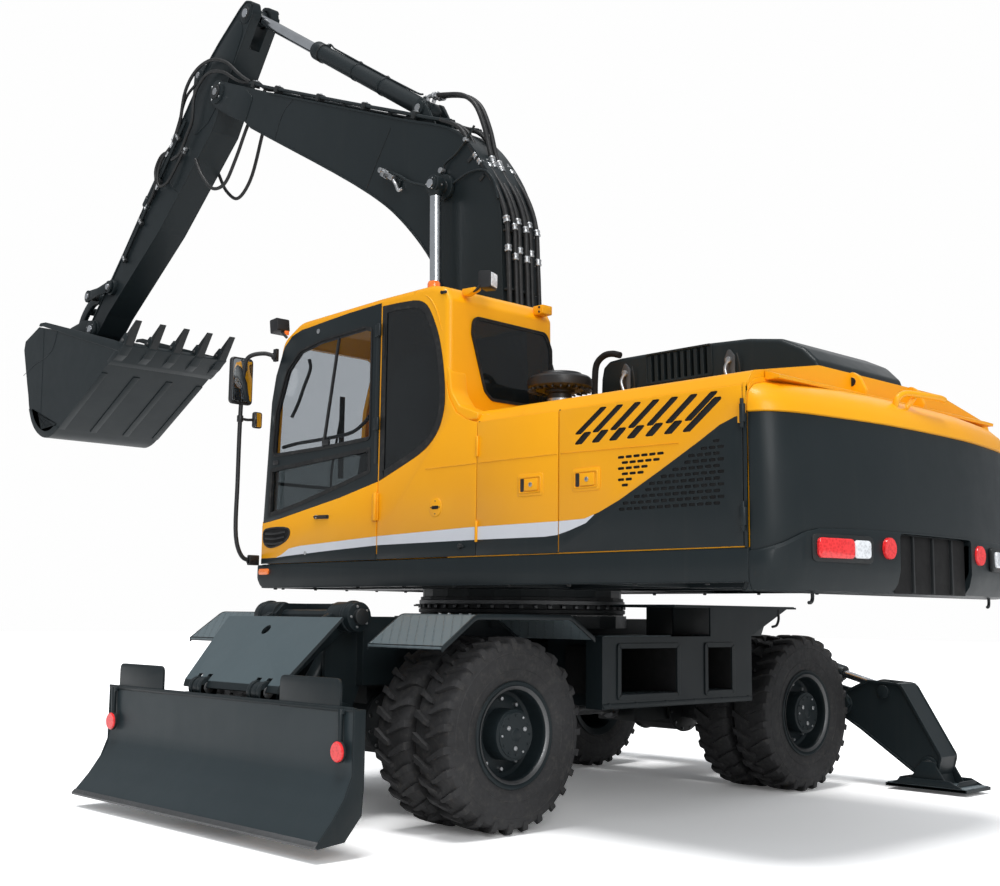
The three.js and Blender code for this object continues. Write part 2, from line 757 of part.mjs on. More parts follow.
// ---------------------------------------------------------------- upper frame
function upperFrame() {
  const { half, front, rear, bottom, top } = house;
  const slab = join(
    upwards(
      [
        [rear, -half],
        [front - 60, -half],
        [front, -half + 60],
        [front, half - 60],
        [front - 60, half],
        [rear, half],
      ],
      bottom,
      top,
    ),
  );
  const pocketTop = top - 16;
  const cells = [
    [rear + 30, -1700],
    [-1640, -760],
  ];
  const pockets = [
    ...cells.flatMap(([x0, x1]) => [
      box(x0, x1, -half + 110, -330, bottom - 1, pocketTop),
      box(x0, x1, -260, 260, bottom - 1, pocketTop),
      box(x0, x1, 330, half - 110, bottom - 1, pocketTop),
    ]),
    box(-700, front - 40, 720, half - 110, bottom - 1, pocketTop),
    box(-700, front - 40, -half + 110, -720, bottom - 1, pocketTop),
    box(720, front - 40, -330, 330, bottom - 1, pocketTop - 60),
  ];
  const turret = rod("z", bearing.outer - 15, [0, 0], bearing.top + seatGap, bottom + 20, 24);
  const noseCut = box(boomCylBase.x - 120, front + 1, -boomCylY - 80, boomCylY + 70, top - 60, top + 1);
  const plates = sides.map((side) =>
    side.of(
      cut(
        join(
          sideways(
            [
              [-420, top - 10],
              [boomFoot.x - 105, boomFoot.z + 50],
              [boomFoot.x - 50, boomFoot.z + 125],
              [boomFoot.x + 50, boomFoot.z + 125],
              [boomFoot.x + 150, boomFoot.z + 60],
              [boomCylBase.x + 70, boomCylBase.z + 60],
              [boomCylBase.x + 90, top - 90],
              [boomCylBase.x - 140, top - 90],
              [boomCylBase.x - 160, top - 10],
            ],
            boomHalf + runGap,
            boomHalf + runGap + 22,
          ),
        ),
      ),
    ),
  );
  const pins = [
    rod("y", 45, [boomFoot.x, boomFoot.z], -boomHalf - 25, boomHalf + 25),
    ...sides.map((side) =>
      side.of(rod("y", 40, [boomCylBase.x, boomCylBase.z], boomHalf + 10, boomCylY + 66)),
    ),
  ];
  const swingMotor = rod("z", 110, [-480, 0], top - 10, 1760, 16);
  return join(cut(slab, pockets, noseCut), turret, plates, pins, swingMotor);
}
place(upper, "upper_frame", upperFrame(), slate);

// ---------------------------------------------------------------- counterweight
const bay = { rear: seamX.tail + 4, mid: -1240, front: cab.rear - 8, hoodFront: -1290, hoodRear: -2640, hoodHalf: 430 };
function tailPlan(radiusShift) {
  const points = [];
  const corner = 330;
  const depth = tailRadius + radiusShift;
  const half = house.half;
  const edgeX = bay.rear - seatGap;
  points.push([edgeX, half], [edgeX, -half]);
  const steps = 4;
  for (let i = 0; i <= steps; i++) {
    const angle = (i / steps) * 1.15;
    points.push([-depth + 110 + corner * 0.55 * (1 - Math.sin(angle)) - 20, -half + corner * (1 - Math.cos(angle))]);
  }
  points.push([-depth, -450], [-depth, 450]);
  for (let i = steps; i >= 0; i--) {
    const angle = (i / steps) * 1.15;
    points.push([-depth + 110 + corner * 0.55 * (1 - Math.sin(angle)) - 20, half - corner * (1 - Math.cos(angle))]);
  }
  return points;
}

function counterweight() {
  const side = [
    [-2600, 1300],
    [-2980, 1300],
    [-3075, 1400],
    [-3062, 1620],
    [-3030, 2130],
    [-2960, 2240],
    [-2770, 2330],
    [-2600, 2330],
  ];
  const body = upwards(tailPlan(0), 1290, 2400).intersect(sideways(side, -house.half - 50, house.half + 50));
  const recess = box(-3200, -3005, -380, 380, 1250, 1600);
  return cut(body, recess);
}
place(upper, "counterweight", counterweight(), slate);

// ---------------------------------------------------------------- engine bay
const deckOutline = (wall) => [
  [house.half - wall, house.top + seatGap - (wall ? 5 : 0)],
  [house.half - wall, house.shoulder - 50 - wall / 2],
  [house.half - 50 - wall / 2, house.shoulder - wall],
  [620, house.deck - wall],
  [-620, house.deck - wall],
  [-house.half + 50 + wall / 2, house.shoulder - wall],
  [-house.half + wall, house.shoulder - 50 - wall / 2],
  [-house.half + wall, house.top + seatGap - (wall ? 5 : 0)],
];
const door = { gap: 6, thick: 35, low: house.top + 12, high: 2262 };
const midDoor = { front: seamX.cab - 20, rear: seamX.mid + 5 };
const rearDoor = { front: seamX.mid - 5, rear: seamX.tail + 30 };

function engineBay() {
  const { wall } = house;
  const leftOnly = box(bay.mid, bay.front, cab.inner, house.half + 1, 0, 3000);
  const rearAll = box(bay.rear, bay.mid, -house.half - 1, house.half + 1, 0, 3000);
  const outer = lengthways(deckOutline(0), bay.rear, bay.front).intersect(join(leftOnly, rearAll));
  const innerLeft = box(bay.mid + wall, bay.front - wall, cab.inner + wall, house.half + 1, 0, 3000);
  const innerRear = box(bay.rear + wall, bay.mid - wall, -house.half - 1, house.half + 1, 0, 3000);
  const passage = box(bay.mid - wall - 1, bay.mid + wall + 1, cab.inner + wall, house.half - wall, 1560, 2150);
  const inner = lengthways(deckOutline(wall), bay.rear + 1, bay.front - 1).intersect(join(innerLeft, innerRear, passage));
  const opening = (d, sign) =>
    box(d.rear - door.gap, d.front + door.gap, sign > 0 ? 1150 : -1300, sign > 0 ? 1300 : -1150, door.low - door.gap, door.high + door.gap);
  const hoodHole = box(bay.hoodRear + 60, bay.hoodFront - 60, -bay.hoodHalf + 60, bay.hoodHalf - 60, 2300, 2600);
  const shell = cut(outer, inner, opening(midDoor, 1), opening(rearDoor, 1), opening(rearDoor, -1), hoodHole);
  const rearQuarter = box(bay.front - 30, bay.front, house.half - 50, house.half, house.top + seatGap, house.shoulder - 60);
  return join(shell, rearQuarter);
}

// A vertical hinge: the fixed side holds the pin, the door's knuckle turns on it.
const hinge = { pin: 9, knuckle: 17, out: 22, length: 50 };
const hingeX = { mid: midDoor.front + 14, rear: rearDoor.rear - 14 };
function hingePins(x, sign, heights, inward) {
  return heights.map((z) =>
    join(
      rod("z", hinge.pin, [x, sign * (house.half + hinge.out)], z - hinge.length, z + hinge.length, 8),
      box(x - 10, x + 10, ...(sign > 0 ? [house.half - 5, house.half + hinge.out] : [-house.half - hinge.out, -house.half + 5]), z - hinge.length, z - hinge.length + 18),
      box(x - 10, x + 10, ...(sign > 0 ? [house.half - 5, house.half + hinge.out] : [-house.half - hinge.out, -house.half + 5]), z + hinge.length - 18, z + hinge.length),
    ),
  );
}
function hingeKnuckles(x, sign, heights, toX) {
  const y = sign * (house.half + hinge.out);
  return heights.map((z) =>
    cut(
      join(
        rod("z", hinge.knuckle, [x, y], z - hinge.length + 22, z + hinge.length - 22, 10),
        box(Math.min(x, toX), Math.max(x, toX), Math.min(y - 6, y + 6), Math.max(y - 6, y + 6), z - hinge.length + 22, z + hinge.length - 22),
        box(toX - 8, toX + 8, ...(sign > 0 ? [house.half - 5, y + 6] : [y - 6, -house.half + 5]), z - hinge.length + 22, z + hinge.length - 22),
      ),
      pinHole("z", hinge.pin, [x, y], z - hinge.length, z + hinge.length, 8),
    ),
  );
}
const doorHinges = [1640, 2130];
const hood = { z: house.deck + 6, top: 2718, hingeY: -bay.hoodHalf - 14, hinges: [-1400, -2300] };
const hoodPins = hood.hinges.flatMap((x) => [
  rod("x", hinge.pin, [hood.hingeY, hood.z + 16], x - 50, x + 50, 8),
  box(x - 50, x - 32, hood.hingeY - 10, hood.hingeY + 10, house.deck - 5, hood.z + 16),
  box(x + 32, x + 50, hood.hingeY - 10, hood.hingeY + 10, house.deck - 5, hood.z + 16),
]);
place(
  upper,
  "engine_bay_frame",
  join(
    engineBay(),
    hingePins(hingeX.mid, 1, doorHinges),
    hingePins(hingeX.rear, 1, doorHinges),
    hingePins(hingeX.rear, -1, doorHinges),
    hoodPins,
  ),
  yellow,
);

function sidePanel(d, sign, atX, toX) {
  const y0 = sign > 0 ? house.half - door.thick : -house.half;
  const panel = box(d.rear, d.front, y0, y0 + door.thick, door.low, door.high);
  return join(panel, hingeKnuckles(atX, sign, doorHinges, toX));
}
place(upper, "left_service_door", sidePanel(midDoor, 1, hingeX.mid, midDoor.front - 25), yellow);
place(upper, "left_radiator_door", sidePanel(rearDoor, 1, hingeX.rear, rearDoor.rear + 25), slate);
place(upper, "right_pump_door", sidePanel(rearDoor, -1, hingeX.rear, rearDoor.rear + 25), slate);

place(upper, "engine_block", box(-2420, -1620, -420, 420, house.top + seatGap, 2200), black);

function engineHood() {
  const profile = [
    [-1110, hood.z],
    [-1140, 2660],
    [-1277, hood.top],
    [-1900, hood.top],
    [-2420, 2667],
    [-2633, 2545],
    [-2662, hood.z],
  ];
  const outer = sideways(profile, -bay.hoodHalf, bay.hoodHalf + 20);
  const inner = sideways(
    [
      [-1140, hood.z - 5],
      [-1168, 2645],
      [-1290, hood.top - 28],
      [-1895, hood.top - 28],
      [-2408, 2640],
      [-2608, 2528],
      [-2630, hood.z - 5],
    ],
    -bay.hoodHalf + 28,
    bay.hoodHalf - 8,
  );
  const knuckles = hood.hinges.map((x) =>
    cut(
      join(
        rod("x", hinge.knuckle, [hood.hingeY, hood.z + 16], x - 28, x + 28, 10),
        box(x - 28, x + 28, hood.hingeY, -bay.hoodHalf + 5, hood.z + 10, hood.z + 22),
      ),
      pinHole("x", hinge.pin, [hood.hingeY, hood.z + 16], x - 60, x + 60, 8),
    ),
  );
  return join(cut(outer, inner), knuckles);
}
place(upper, "engine_hood", engineHood(), slate);


// ---------------------------------------------------------------- right body with tank and steps
function rightBody() {
  const y0 = -house.half;
  const y1 = -boomCylY - 80;
  const low = house.top + seatGap;
  const outline = [
    [bay.mid + 6, low],
    [bay.mid + 6, house.shoulder],
    [600, house.shoulder],
    [650, 2270],
    [665, 1960],
    [1000, 1940],
    [1010, 1700],
    [1290, 1700],
    [1300, low],
  ];
  const hollow = inset(outline, house.wall, outline.length - 1);
  const body = cut(sideways(outline, y0, y1), sideways(hollow, y0 + house.wall, y1 - house.wall));
  const filler = rod("z", 70, [-200, -800], house.shoulder - 10, house.shoulder + 45, 16);
  return join(body, filler);
}
place(upper, "right_tank_body", rightBody(), yellow);

// ---------------------------------------------------------------- cab
const cabSide = [
  [cab.rear, cab.floor],
  [cab.front, cab.floor],
  [cab.front, 1769],
  [1255, 2640],
  [1119, 3047],
  [921, 3144],
  [46, cab.roof],
  [-442, cab.roof],
  [-570, 3135],
  [-622, 3050],
  [cab.rear, 2400],
];
const doorSide = [
  [36, 1540],
  [1240, 1540],
  [1240, 1778],
  [1200, 2622],
  [1080, 2990],
  [895, 3080],
  [36, 3104],
];
const doorPane = [
  [110, 1850],
  [1165, 1850],
  [1130, 2600],
  [1020, 2935],
  [880, 3005],
  [110, 3030],
];
const quarterPane = [
  [-50, 2060],
  [-430, 2215],
  [-540, 2440],
  [-440, 2960],
  [-330, 3060],
  [-50, 3075],
];

function cabShell() {
  const { inner, outer, wall } = cab;
  const body = cut(
    sideways(cabSide, inner, outer),
    sideways(inset(cabSide, wall), inner + wall, outer - wall),
  );
  const frontPane = box(cab.front - 320, cab.front + 1, inner + 90, outer - 90, 1620, 3010);
  const rearPane = box(cab.rear - 1, cab.rear + wall + 20, 420, 1040, 2420, 2900);
  const rightPane = sideways(
    [
      [-480, 2080],
      [1130, 2080],
      [1100, 2640],
      [1000, 2960],
      [880, 3040],
      [-420, 3040],
    ],
    inner - 1,
    inner + wall + 1,
  );
  const doorway = sideways(inset(doorSide, -runGap), outer - wall - 1, outer + 1);
  const quarter = sideways(quarterPane, outer - wall - 1, outer + 1);
  const shell = cut(body, frontPane, rearPane, rightPane, doorway, quarter);
  return join(shell, hingePins(doorHingeX, 1, [1700, 2350, 2950], 0));
}
place(upper, "cab_shell", cabShell(), yellow);

const cabDoor = cut(
  sideways(doorSide, cab.outer - 40, cab.outer),
  sideways(doorPane, cab.outer - 41, cab.outer + 1),
);
place(upper, "cab_door", join(cabDoor, hingeKnuckles(doorHingeX, 1, [1700, 2350, 2950], doorHingeX + 42)), black);

function operatorStation() {
  const floor = cab.floor + cab.wall + seatGap;
  const mat = box(-380, 980, 470, 1130, floor, floor + 12);
  const base = box(-180, 250, 620, 980, floor, 1900);
  const cushion = box(-230, 300, 570, 1030, 1880, 2020);
  const back = sideways(
    [
      [-240, 1990],
      [-110, 1990],
      [-190, 2700],
      [-290, 2690],
    ],
    580,
    1020,
  );
  const head = box(-285, -195, 680, 920, 2660, 2860);
  const consoles = [
    [500, 572],
    [1028, 1100],
  ].map(([y0, y1]) => box(-200, 330, y0, y1, 1960, 2130));
  const levers = [536, 1064].map((y) => rod("z", 16, [270, y], 2100, 2300, 8));
  const column = sideways(
    [
      [820, floor],
      [900, floor],
      [740, 2260],
      [690, 2260],
    ],
    770,
    830,
  );
  const wheelRim = new THREE.TorusGeometry(190, 16, 5, 14);
  wheelRim.rotateY(-0.25).translate(690, 800, 2265);
  const spoke = box(672, 708, 612, 988, 2250, 2280);
  return join(mat, base, cushion, back, head, consoles, levers, column, solidOf(wheelRim), spoke);
}
place(upper, "operator_seat", operatorStation(), trim);

// ---------------------------------------------------------------- mirrors and pre-cleaner
const mirrorTube = 16;
function leftMirror() {
  const arm = pipe(
    [
      [1175, cab.outer + seatGap + mirrorTube + 2, 2935],
      [1230, 1330, 2955],
      [1300, 1420, 2920],
      [1364, 1420, 2074],
      [1360, 1410, 1640],
      [1345, 1330, 1520],
    ],
    mirrorTube,
    14,
  );
  const upperFoot = box(1150, 1200, cab.outer + seatGap, cab.outer + 30, 2905, 2965);
  const lowerFoot = box(cab.front + seatGap, 1365, 1180, 1345, 1505, 1545);
  const head = box(1325, 1370, 1345, 1525, 2595, 2925);
  const small = box(1330, 1370, 1250, 1330, 2440, 2560);
  const smallStalk = rod("y", 10, [1345, 2500], 1320, 1430, 8);
  return join(arm, upperFoot, lowerFoot, head, small, smallStalk);
}
place(upper, "left_mirror", leftMirror(), black);

function rightMirror() {
  const arm = pipe(
    [
      [1240, -1180, 1704],
      [1245, -1200, 2300],
      [1250, -1350, 2420],
    ],
    mirrorTube,
    6,
  );
  const foot = box(1190, 1280, -1230, -1130, 1700 + seatGap, 1712);
  return join(arm, foot, box(1225, 1270, -1440, -1260, 2340, 2640));
}
place(upper, "right_mirror", rightMirror(), black);

const preCleaner = join(
  rod("z", 70, [-960, 640], house.deck + seatGap, 2520, 12),
  rod("z", 195, [-960, 640], 2505, 2600, 20),
  rod("z", 140, [-960, 640], 2595, 2640, 20),
);
place(upper, "pre_cleaner", preCleaner, black);

// ---------------------------------------------------------------- boom
const boomSide = [
  [boomFoot.x - 125, boomFoot.z - 20],
  [boomFoot.x - 70, boomFoot.z - 105],
  [boomFoot.x + 40, boomFoot.z - 122],
  [boomFoot.x + 120, boomFoot.z - 40],
  [300, 2300],
  [450, 2900],
  [712, 3566],
  [830, 3778],
  [1193, 4162],
  [1575, 4448],
  [3351, 5478],
  [3607, 5623],
  [4000, 5862],
  [4058, 5930],
  [4062, 6040],
  [3995, 6100],
  [3900, 6100],
  [3080, 5737],
  [1220, 4984],
  [573, 4714],
  [406, 4556],
  [83, 4069],
  [50, 3480],
  [-40, 2500],
];
const boomPlate = 16;

function boomBody() {
  const skin = cut(
    sideways(boomSide, -boomHalf, boomHalf),
    sideways(inset(boomSide, boomPlate), -boomHalf + boomPlate, boomHalf - boomPlate),
  );
  const cheek = armHalf + 4;
  const fork = join(
    rod("y", 470, [armPivot.x, armPivot.z], -cheek, cheek, 32),
    sideways(
      [
        [3430, 5800],
        [3600, 5500],
        [4300, 5500],
        [4300, 6300],
        [3400, 6300],
      ],
      -cheek,
      cheek,
    ),
  );
  const endPlate = sideways(
    [
      [3470, 5905],
      [3440, 5892],
      [3470, 5700],
      [3500, 5560],
      [3530, 5578],
      [3500, 5700],
    ],
    -boomHalf + 4,
    boomHalf - 4,
  );
  const footTube = rod("y", 118, [boomFoot.x, boomFoot.z], -boomHalf, boomHalf);
  const eyes = sides.flatMap((side) => [
    side.of(rod("y", 95, [armPivot.x, armPivot.z], cheek, boomHalf + 18)),
    side.of(rod("y", 75, [boomCylPin.x, boomCylPin.z], boomHalf - boomPlate - 1, boomHalf + 12)),
    side.of(rod("y", 42, [boomCylPin.x, boomCylPin.z], boomHalf - 1, boomCylY - 46)),
    side.of(
      sideways(
        [
          [armCylBase.x - 190, armCylBase.z - 200],
          [armCylBase.x - 75, armCylBase.z + 10],
          [armCylBase.x - 40, armCylBase.z + 66],
          [armCylBase.x + 40, armCylBase.z + 66],
          [armCylBase.x + 75, armCylBase.z + 10],
          [armCylBase.x + 200, armCylBase.z - 60],
        ],
        86,
        111,
      ),
    ),
  ]);
  const pins = [
    rod("y", 50, [armPivot.x, armPivot.z], -cheek - 1, cheek + 1),
    rod("y", 42, [armCylBase.x, armCylBase.z], -88, 88),
  ];
  const drain = rod("z", 45, [boomFoot.x + 430, 0], 2500, 2960, 12);
  const body = join(cut(skin, fork), endPlate, footTube, eyes, pins);
  return cut(body, pinHole("y", 45, [boomFoot.x, boomFoot.z], -boomHalf - 1, boomHalf + 1), drain);
}
place(upper, "boom", boomBody(), slate);

for (const side of sides) {
  hydraulicCylinder(upper, `${side.name}_boom_cylinder`, {
    base: [boomCylBase.x, boomCylBase.z],
    pin: [boomCylPin.x, boomCylPin.z],
    y: side.sign * boomCylY,
    bore: 60,
    rodRadius: 42,
    eye: 70,
    eyeWidth: 80,
    pinRadius: 40,
    barrel: 1760,
    extend: 150,
    head: [side.sign * 39, side.sign * 62],
  });
}

hydraulicCylinder(upper, "arm_cylinder", {
  base: [armCylBase.x, armCylBase.z],
  pin: [armCylPin.x, armCylPin.z],
  y: 0,
  bore: 72,
  rodRadius: 48,
  eye: 72,
  eyeWidth: 96,
  pinRadius: 42,
  barrel: 1812,
  extend: 700,
});

// ---------------------------------------------------------------- arm
const armLength = Math.hypot(armTip.x - armPivot.x, armTip.z - armPivot.z);
const along = { x: (armTip.x - armPivot.x) / armLength, z: (armTip.z - armPivot.z) / armLength };
// A point on the arm: s along it from the boom's pin, n square to it, towards the bucket cylinder.
const onArm = ([s, n]) => [armPivot.x + s * along.x - n * along.z, armPivot.z + s * along.z + n * along.x];
const armCylAt = [armCylPin.x, armCylPin.z];

function armBody() {
  const outline = [
    [-860, 240],
    [-800, 345],
    [-690, 375],
    [-290, 425],
    [-30, 440],
    [300, 400],
    [2400, 150],
    [2900, 118],
    [3080, 95],
    [3118, 0],
    [3080, -90],
    [2950, -112],
    [2700, -105],
    [1500, -210],
    [300, -195],
    [60, -118],
    [-60, -112],
    [-140, -40],
    [-700, 115],
    [-800, 130],
  ].map(onArm);
  const front = [
    [130, -175],
    [130, 404],
    [300, 384],
    [2400, 134],
    [2420, -92],
    [1500, -194],
    [300, -179],
  ].map(onArm);
  const rear = [
    [-650, 125],
    [-680, 358],
    [-290, 408],
    [-130, 415],
    [-130, 60],
    [-150, -20],
  ].map(onArm);
  const hollows = [front, rear].map((room) => sideways(room, -armHalf + 14, armHalf - 14));
  const skin = cut(sideways(outline, -armHalf, armHalf), hollows);
  const mouth = rod("y", 300, armCylAt, -56, 56, 24);
  const cheeks = sides.map((side) => side.of(rod("y", 92, armCylAt, 56, armHalf)));
  const tubes = join(
    rod("y", 105, [armPivot.x, armPivot.z], -armHalf, armHalf),
    rod("y", 100, [armTip.x, armTip.z], -armHalf, armHalf),
    rod("y", 75, onArm([rockerPin.s, rockerPin.n]), -armHalf, armHalf),
  );
  const brackets = sides.map((side) =>
    side.of(
      sideways(
        [
          [-90, 400],
          [60, 560],
          [100, 620],
          [200, 620],
          [250, 560],
          [420, 370],
        ].map(onArm),
        72,
        96,
      ),
    ),
  );
  const bucketPin = rod("y", 38, onArm([bucketCylBase.s, bucketCylBase.n]), -74, 74);
  const drain = rod("y", 30, onArm([1500, 40]), armHalf - 20, armHalf + 1, 12);
  return cut(
    join(cut(skin, mouth), cheeks, tubes, brackets, bucketPin),
    pinHole("y", 50, [armPivot.x, armPivot.z], -armHalf - 1, armHalf + 1),
    pinHole("y", 45, [armTip.x, armTip.z], -armHalf - 1, armHalf + 1),
    pinHole("y", 38, onArm([rockerPin.s, rockerPin.n]), -armHalf - 1, armHalf + 1),
    drain,
  );
}
place(upper, "arm", armBody(), slate);

hydraulicCylinder(upper, "bucket_cylinder", {
  base: onArm([bucketCylBase.s, bucketCylBase.n]),
  pin: [linkTop.x, linkTop.z],
  y: 0,
  bore: 60,
  rodRadius: 40,
  eye: 62,
  eyeWidth: 84,
  pinRadius: 38,
  barrel: 1500,
  extend: 60,
});

// ---------------------------------------------------------------- bucket linkage
const rockerAt = onArm([rockerPin.s, rockerPin.n]);
const bar = (from, to, halfWidth, y0, y1) => {
  const length = Math.hypot(to[0] - from[0], to[1] - from[1]);
  const side = [(-halfWidth * (to[1] - from[1])) / length, (halfWidth * (to[0] - from[0])) / length];
  return sideways(
    [
      [from[0] - side[0], from[1] - side[1]],
      [to[0] - side[0], to[1] - side[1]],
      [to[0] + side[0], to[1] + side[1]],
      [from[0] + side[0], from[1] + side[1]],
    ],
    y0,
    y1,
  );
};

const linkTopAt = [linkTop.x, linkTop.z];
const linkFootAt = [linkFoot.x, linkFoot.z];
const rockerLayer = [186, 208];
const rockerPlates = sides.map((side) =>
  side.of(
    join(
      bar(rockerAt, linkTopAt, 42, ...rockerLayer),
      rod("y", 62, rockerAt, ...rockerLayer),
      rod("y", 62, linkTopAt, ...rockerLayer),
      rod("y", 35, linkTopAt, 102, rockerLayer[1] + 12),
    ),
  ),
);
place(
  upper,
  "rocker_link",
  join(rockerPlates, rod("y", 38, rockerAt, -rockerLayer[1] - 12, rockerLayer[1] + 12)),
  slate,
);

const linkLayer = [50, 95];
const linkBend = [6540, 4330];
const pushPlates = sides.map((side) =>
  side.of(
    join(
      bar(linkTopAt, linkBend, 45, ...linkLayer),
      bar(linkBend, linkFootAt, 45, ...linkLayer),
      rod("y", 45, linkBend, ...linkLayer),
      rod("y", 62, linkTopAt, ...linkLayer),
      rod("y", 58, linkFootAt, ...linkLayer),
    ),
  ),
);
const pushLink = cut(
  join(pushPlates, rod("y", 40, linkBend, -linkLayer[0] - 5, linkLayer[0] + 5)),
  pinHole("y", 35, linkFootAt, -200, 200),
);
place(upper, "push_link", pushLink, slate);

// ---------------------------------------------------------------- bucket
function bucketBody() {
  const outline = [
    [4800, 3650],
    [6129, 2937],
    [6306, 2902],
    [6423, 2923],
    [6560, 2990],
    [6676, 3090],
    [6765, 3240],
    [6814, 3403],
    [6977, 3896],
    [6955, 3985],
    [6640, 4095],
  ];
  const open = outline.length - 1;
  const bowl = cut(
    sideways(outline, -bucketHalf, bucketHalf),
    sideways(inset(outline, 28, open), -bucketHalf + 28, bucketHalf - 28),
  );
  const lip = sideways(
    [
      [4770, 3640],
      [5000, 3516],
      [5025, 3560],
      [4815, 3675],
    ],
    -bucketHalf,
    bucketHalf,
  );
  const teeth = [-2, -1, 0, 1, 2].map((i) => {
    const y = (i * (bucketHalf - 55)) / 2;
    const adapter = sideways(
      [
        [5010, 3510],
        [4800, 3600],
        [4700, 3720],
        [4760, 3760],
        [4850, 3690],
        [5040, 3580],
      ],
      y - 50,
      y + 50,
    );
    const point = sideways(
      [
        [4740, 3660],
        [4590, 3840],
        [4605, 3865],
        [4790, 3745],
      ],
      y - 36,
      y + 36,
    );
    return join(adapter, point);
  });
  const ears = sides.map((side) =>
    side.of(
      join(
        sideways(
          [
            [6180, 4000],
            [6330, 3830],
            [6600, 3660],
            [6860, 3560],
            [6940, 3890],
            [6900, 3995],
            [6760, 4150],
            [6660, 4150],
            [6260, 4158],
          ],
          151,
          179,
        ),
        rod("y", 92, [armTip.x, armTip.z], 151, 179),
        rod("y", 66, linkFootAt, 151, 179),
      ),
    ),
  );
  const pins = [rod("y", 45, [armTip.x, armTip.z], -180, 180), rod("y", 35, linkFootAt, -180, 180)];
  const linkSlot = box(6500, 6870, -150, 150, 3990, 4300);
  return join(cut(bowl, linkSlot), lip, teeth, ears, pins);
}
place(upper, "bucket", bucketBody(), slate);

export default machine;
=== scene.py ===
import json
import math

import bmesh
import bpy
from mathutils import Matrix, Vector

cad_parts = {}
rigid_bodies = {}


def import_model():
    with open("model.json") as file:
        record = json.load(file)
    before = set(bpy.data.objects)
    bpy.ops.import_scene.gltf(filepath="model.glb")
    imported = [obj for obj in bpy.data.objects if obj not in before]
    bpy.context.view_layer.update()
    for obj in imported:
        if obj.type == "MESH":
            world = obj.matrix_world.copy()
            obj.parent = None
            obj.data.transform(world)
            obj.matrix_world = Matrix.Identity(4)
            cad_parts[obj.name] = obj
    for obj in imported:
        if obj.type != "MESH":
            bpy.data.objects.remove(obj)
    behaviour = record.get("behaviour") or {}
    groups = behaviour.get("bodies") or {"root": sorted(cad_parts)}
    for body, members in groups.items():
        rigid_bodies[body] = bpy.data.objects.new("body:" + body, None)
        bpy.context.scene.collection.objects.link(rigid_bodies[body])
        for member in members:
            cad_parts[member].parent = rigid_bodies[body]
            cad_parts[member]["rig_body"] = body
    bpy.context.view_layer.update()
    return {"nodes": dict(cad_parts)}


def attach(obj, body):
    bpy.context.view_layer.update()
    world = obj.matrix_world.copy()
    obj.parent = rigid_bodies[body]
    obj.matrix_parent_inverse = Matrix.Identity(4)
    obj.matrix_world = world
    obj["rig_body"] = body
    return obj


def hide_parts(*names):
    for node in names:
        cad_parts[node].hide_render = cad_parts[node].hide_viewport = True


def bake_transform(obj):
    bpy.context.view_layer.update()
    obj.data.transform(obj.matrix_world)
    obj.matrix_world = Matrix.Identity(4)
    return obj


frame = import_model()
nodes = frame["nodes"]

# ---------------------------------------------------------------- frames: the CAD's own, in millimetres
CENTRE = Matrix.Translation((-0.066, 1.9585, 0))
MM = Matrix.Scale(0.001, 4)
CARRIER = CENTRE @ MM
UPPER = CENTRE @ Matrix.Rotation(-math.pi / 2, 4, "Z") @ MM
MIRROR = Matrix.Scale(-1, 4, (0, 1, 0))


# ---------------------------------------------------------------- camera
CAMERA = {"at": (6.264, 8.3595, 1.169), "yaw": 226.344, "pitch": 7.47, "roll": 0.636, "lens": 47.2187}
CAMERA.update({"sensor": 36, "far": 200})


def make_camera():
    """The camera that was solved from the photo, with the wheels as the scale."""
    yaw, pitch, roll = (math.radians(CAMERA[k]) for k in ("yaw", "pitch", "roll"))
    forward = Vector((math.cos(yaw) * math.cos(pitch), math.sin(yaw) * math.cos(pitch), math.sin(pitch)))
    right = Vector((math.sin(yaw), -math.cos(yaw), 0))
    up = right.cross(forward)
    r = math.cos(roll) * right + math.sin(roll) * up
    u = -math.sin(roll) * right + math.cos(roll) * up
    data = bpy.data.cameras.new("camera")
    data.sensor_width = CAMERA["sensor"]
    data.lens = CAMERA["lens"]
    data.clip_end = CAMERA["far"]
    camera = bpy.data.objects.new("camera", data)
    turn = Matrix((r, u, -forward)).transposed().to_4x4()
    camera.matrix_world = Matrix.Translation(CAMERA["at"]) @ turn
    bpy.context.scene.collection.objects.link(camera)
    bpy.context.scene.camera = camera


make_camera()


# ---------------------------------------------------------------- materials
def linear(c):
    c = c / 255
    return c / 12.92 if c <= 0.04045 else ((c + 0.055) / 1.055) ** 2.4


def rgb(r, g, b):
    return (linear(r), linear(g), linear(b), 1)


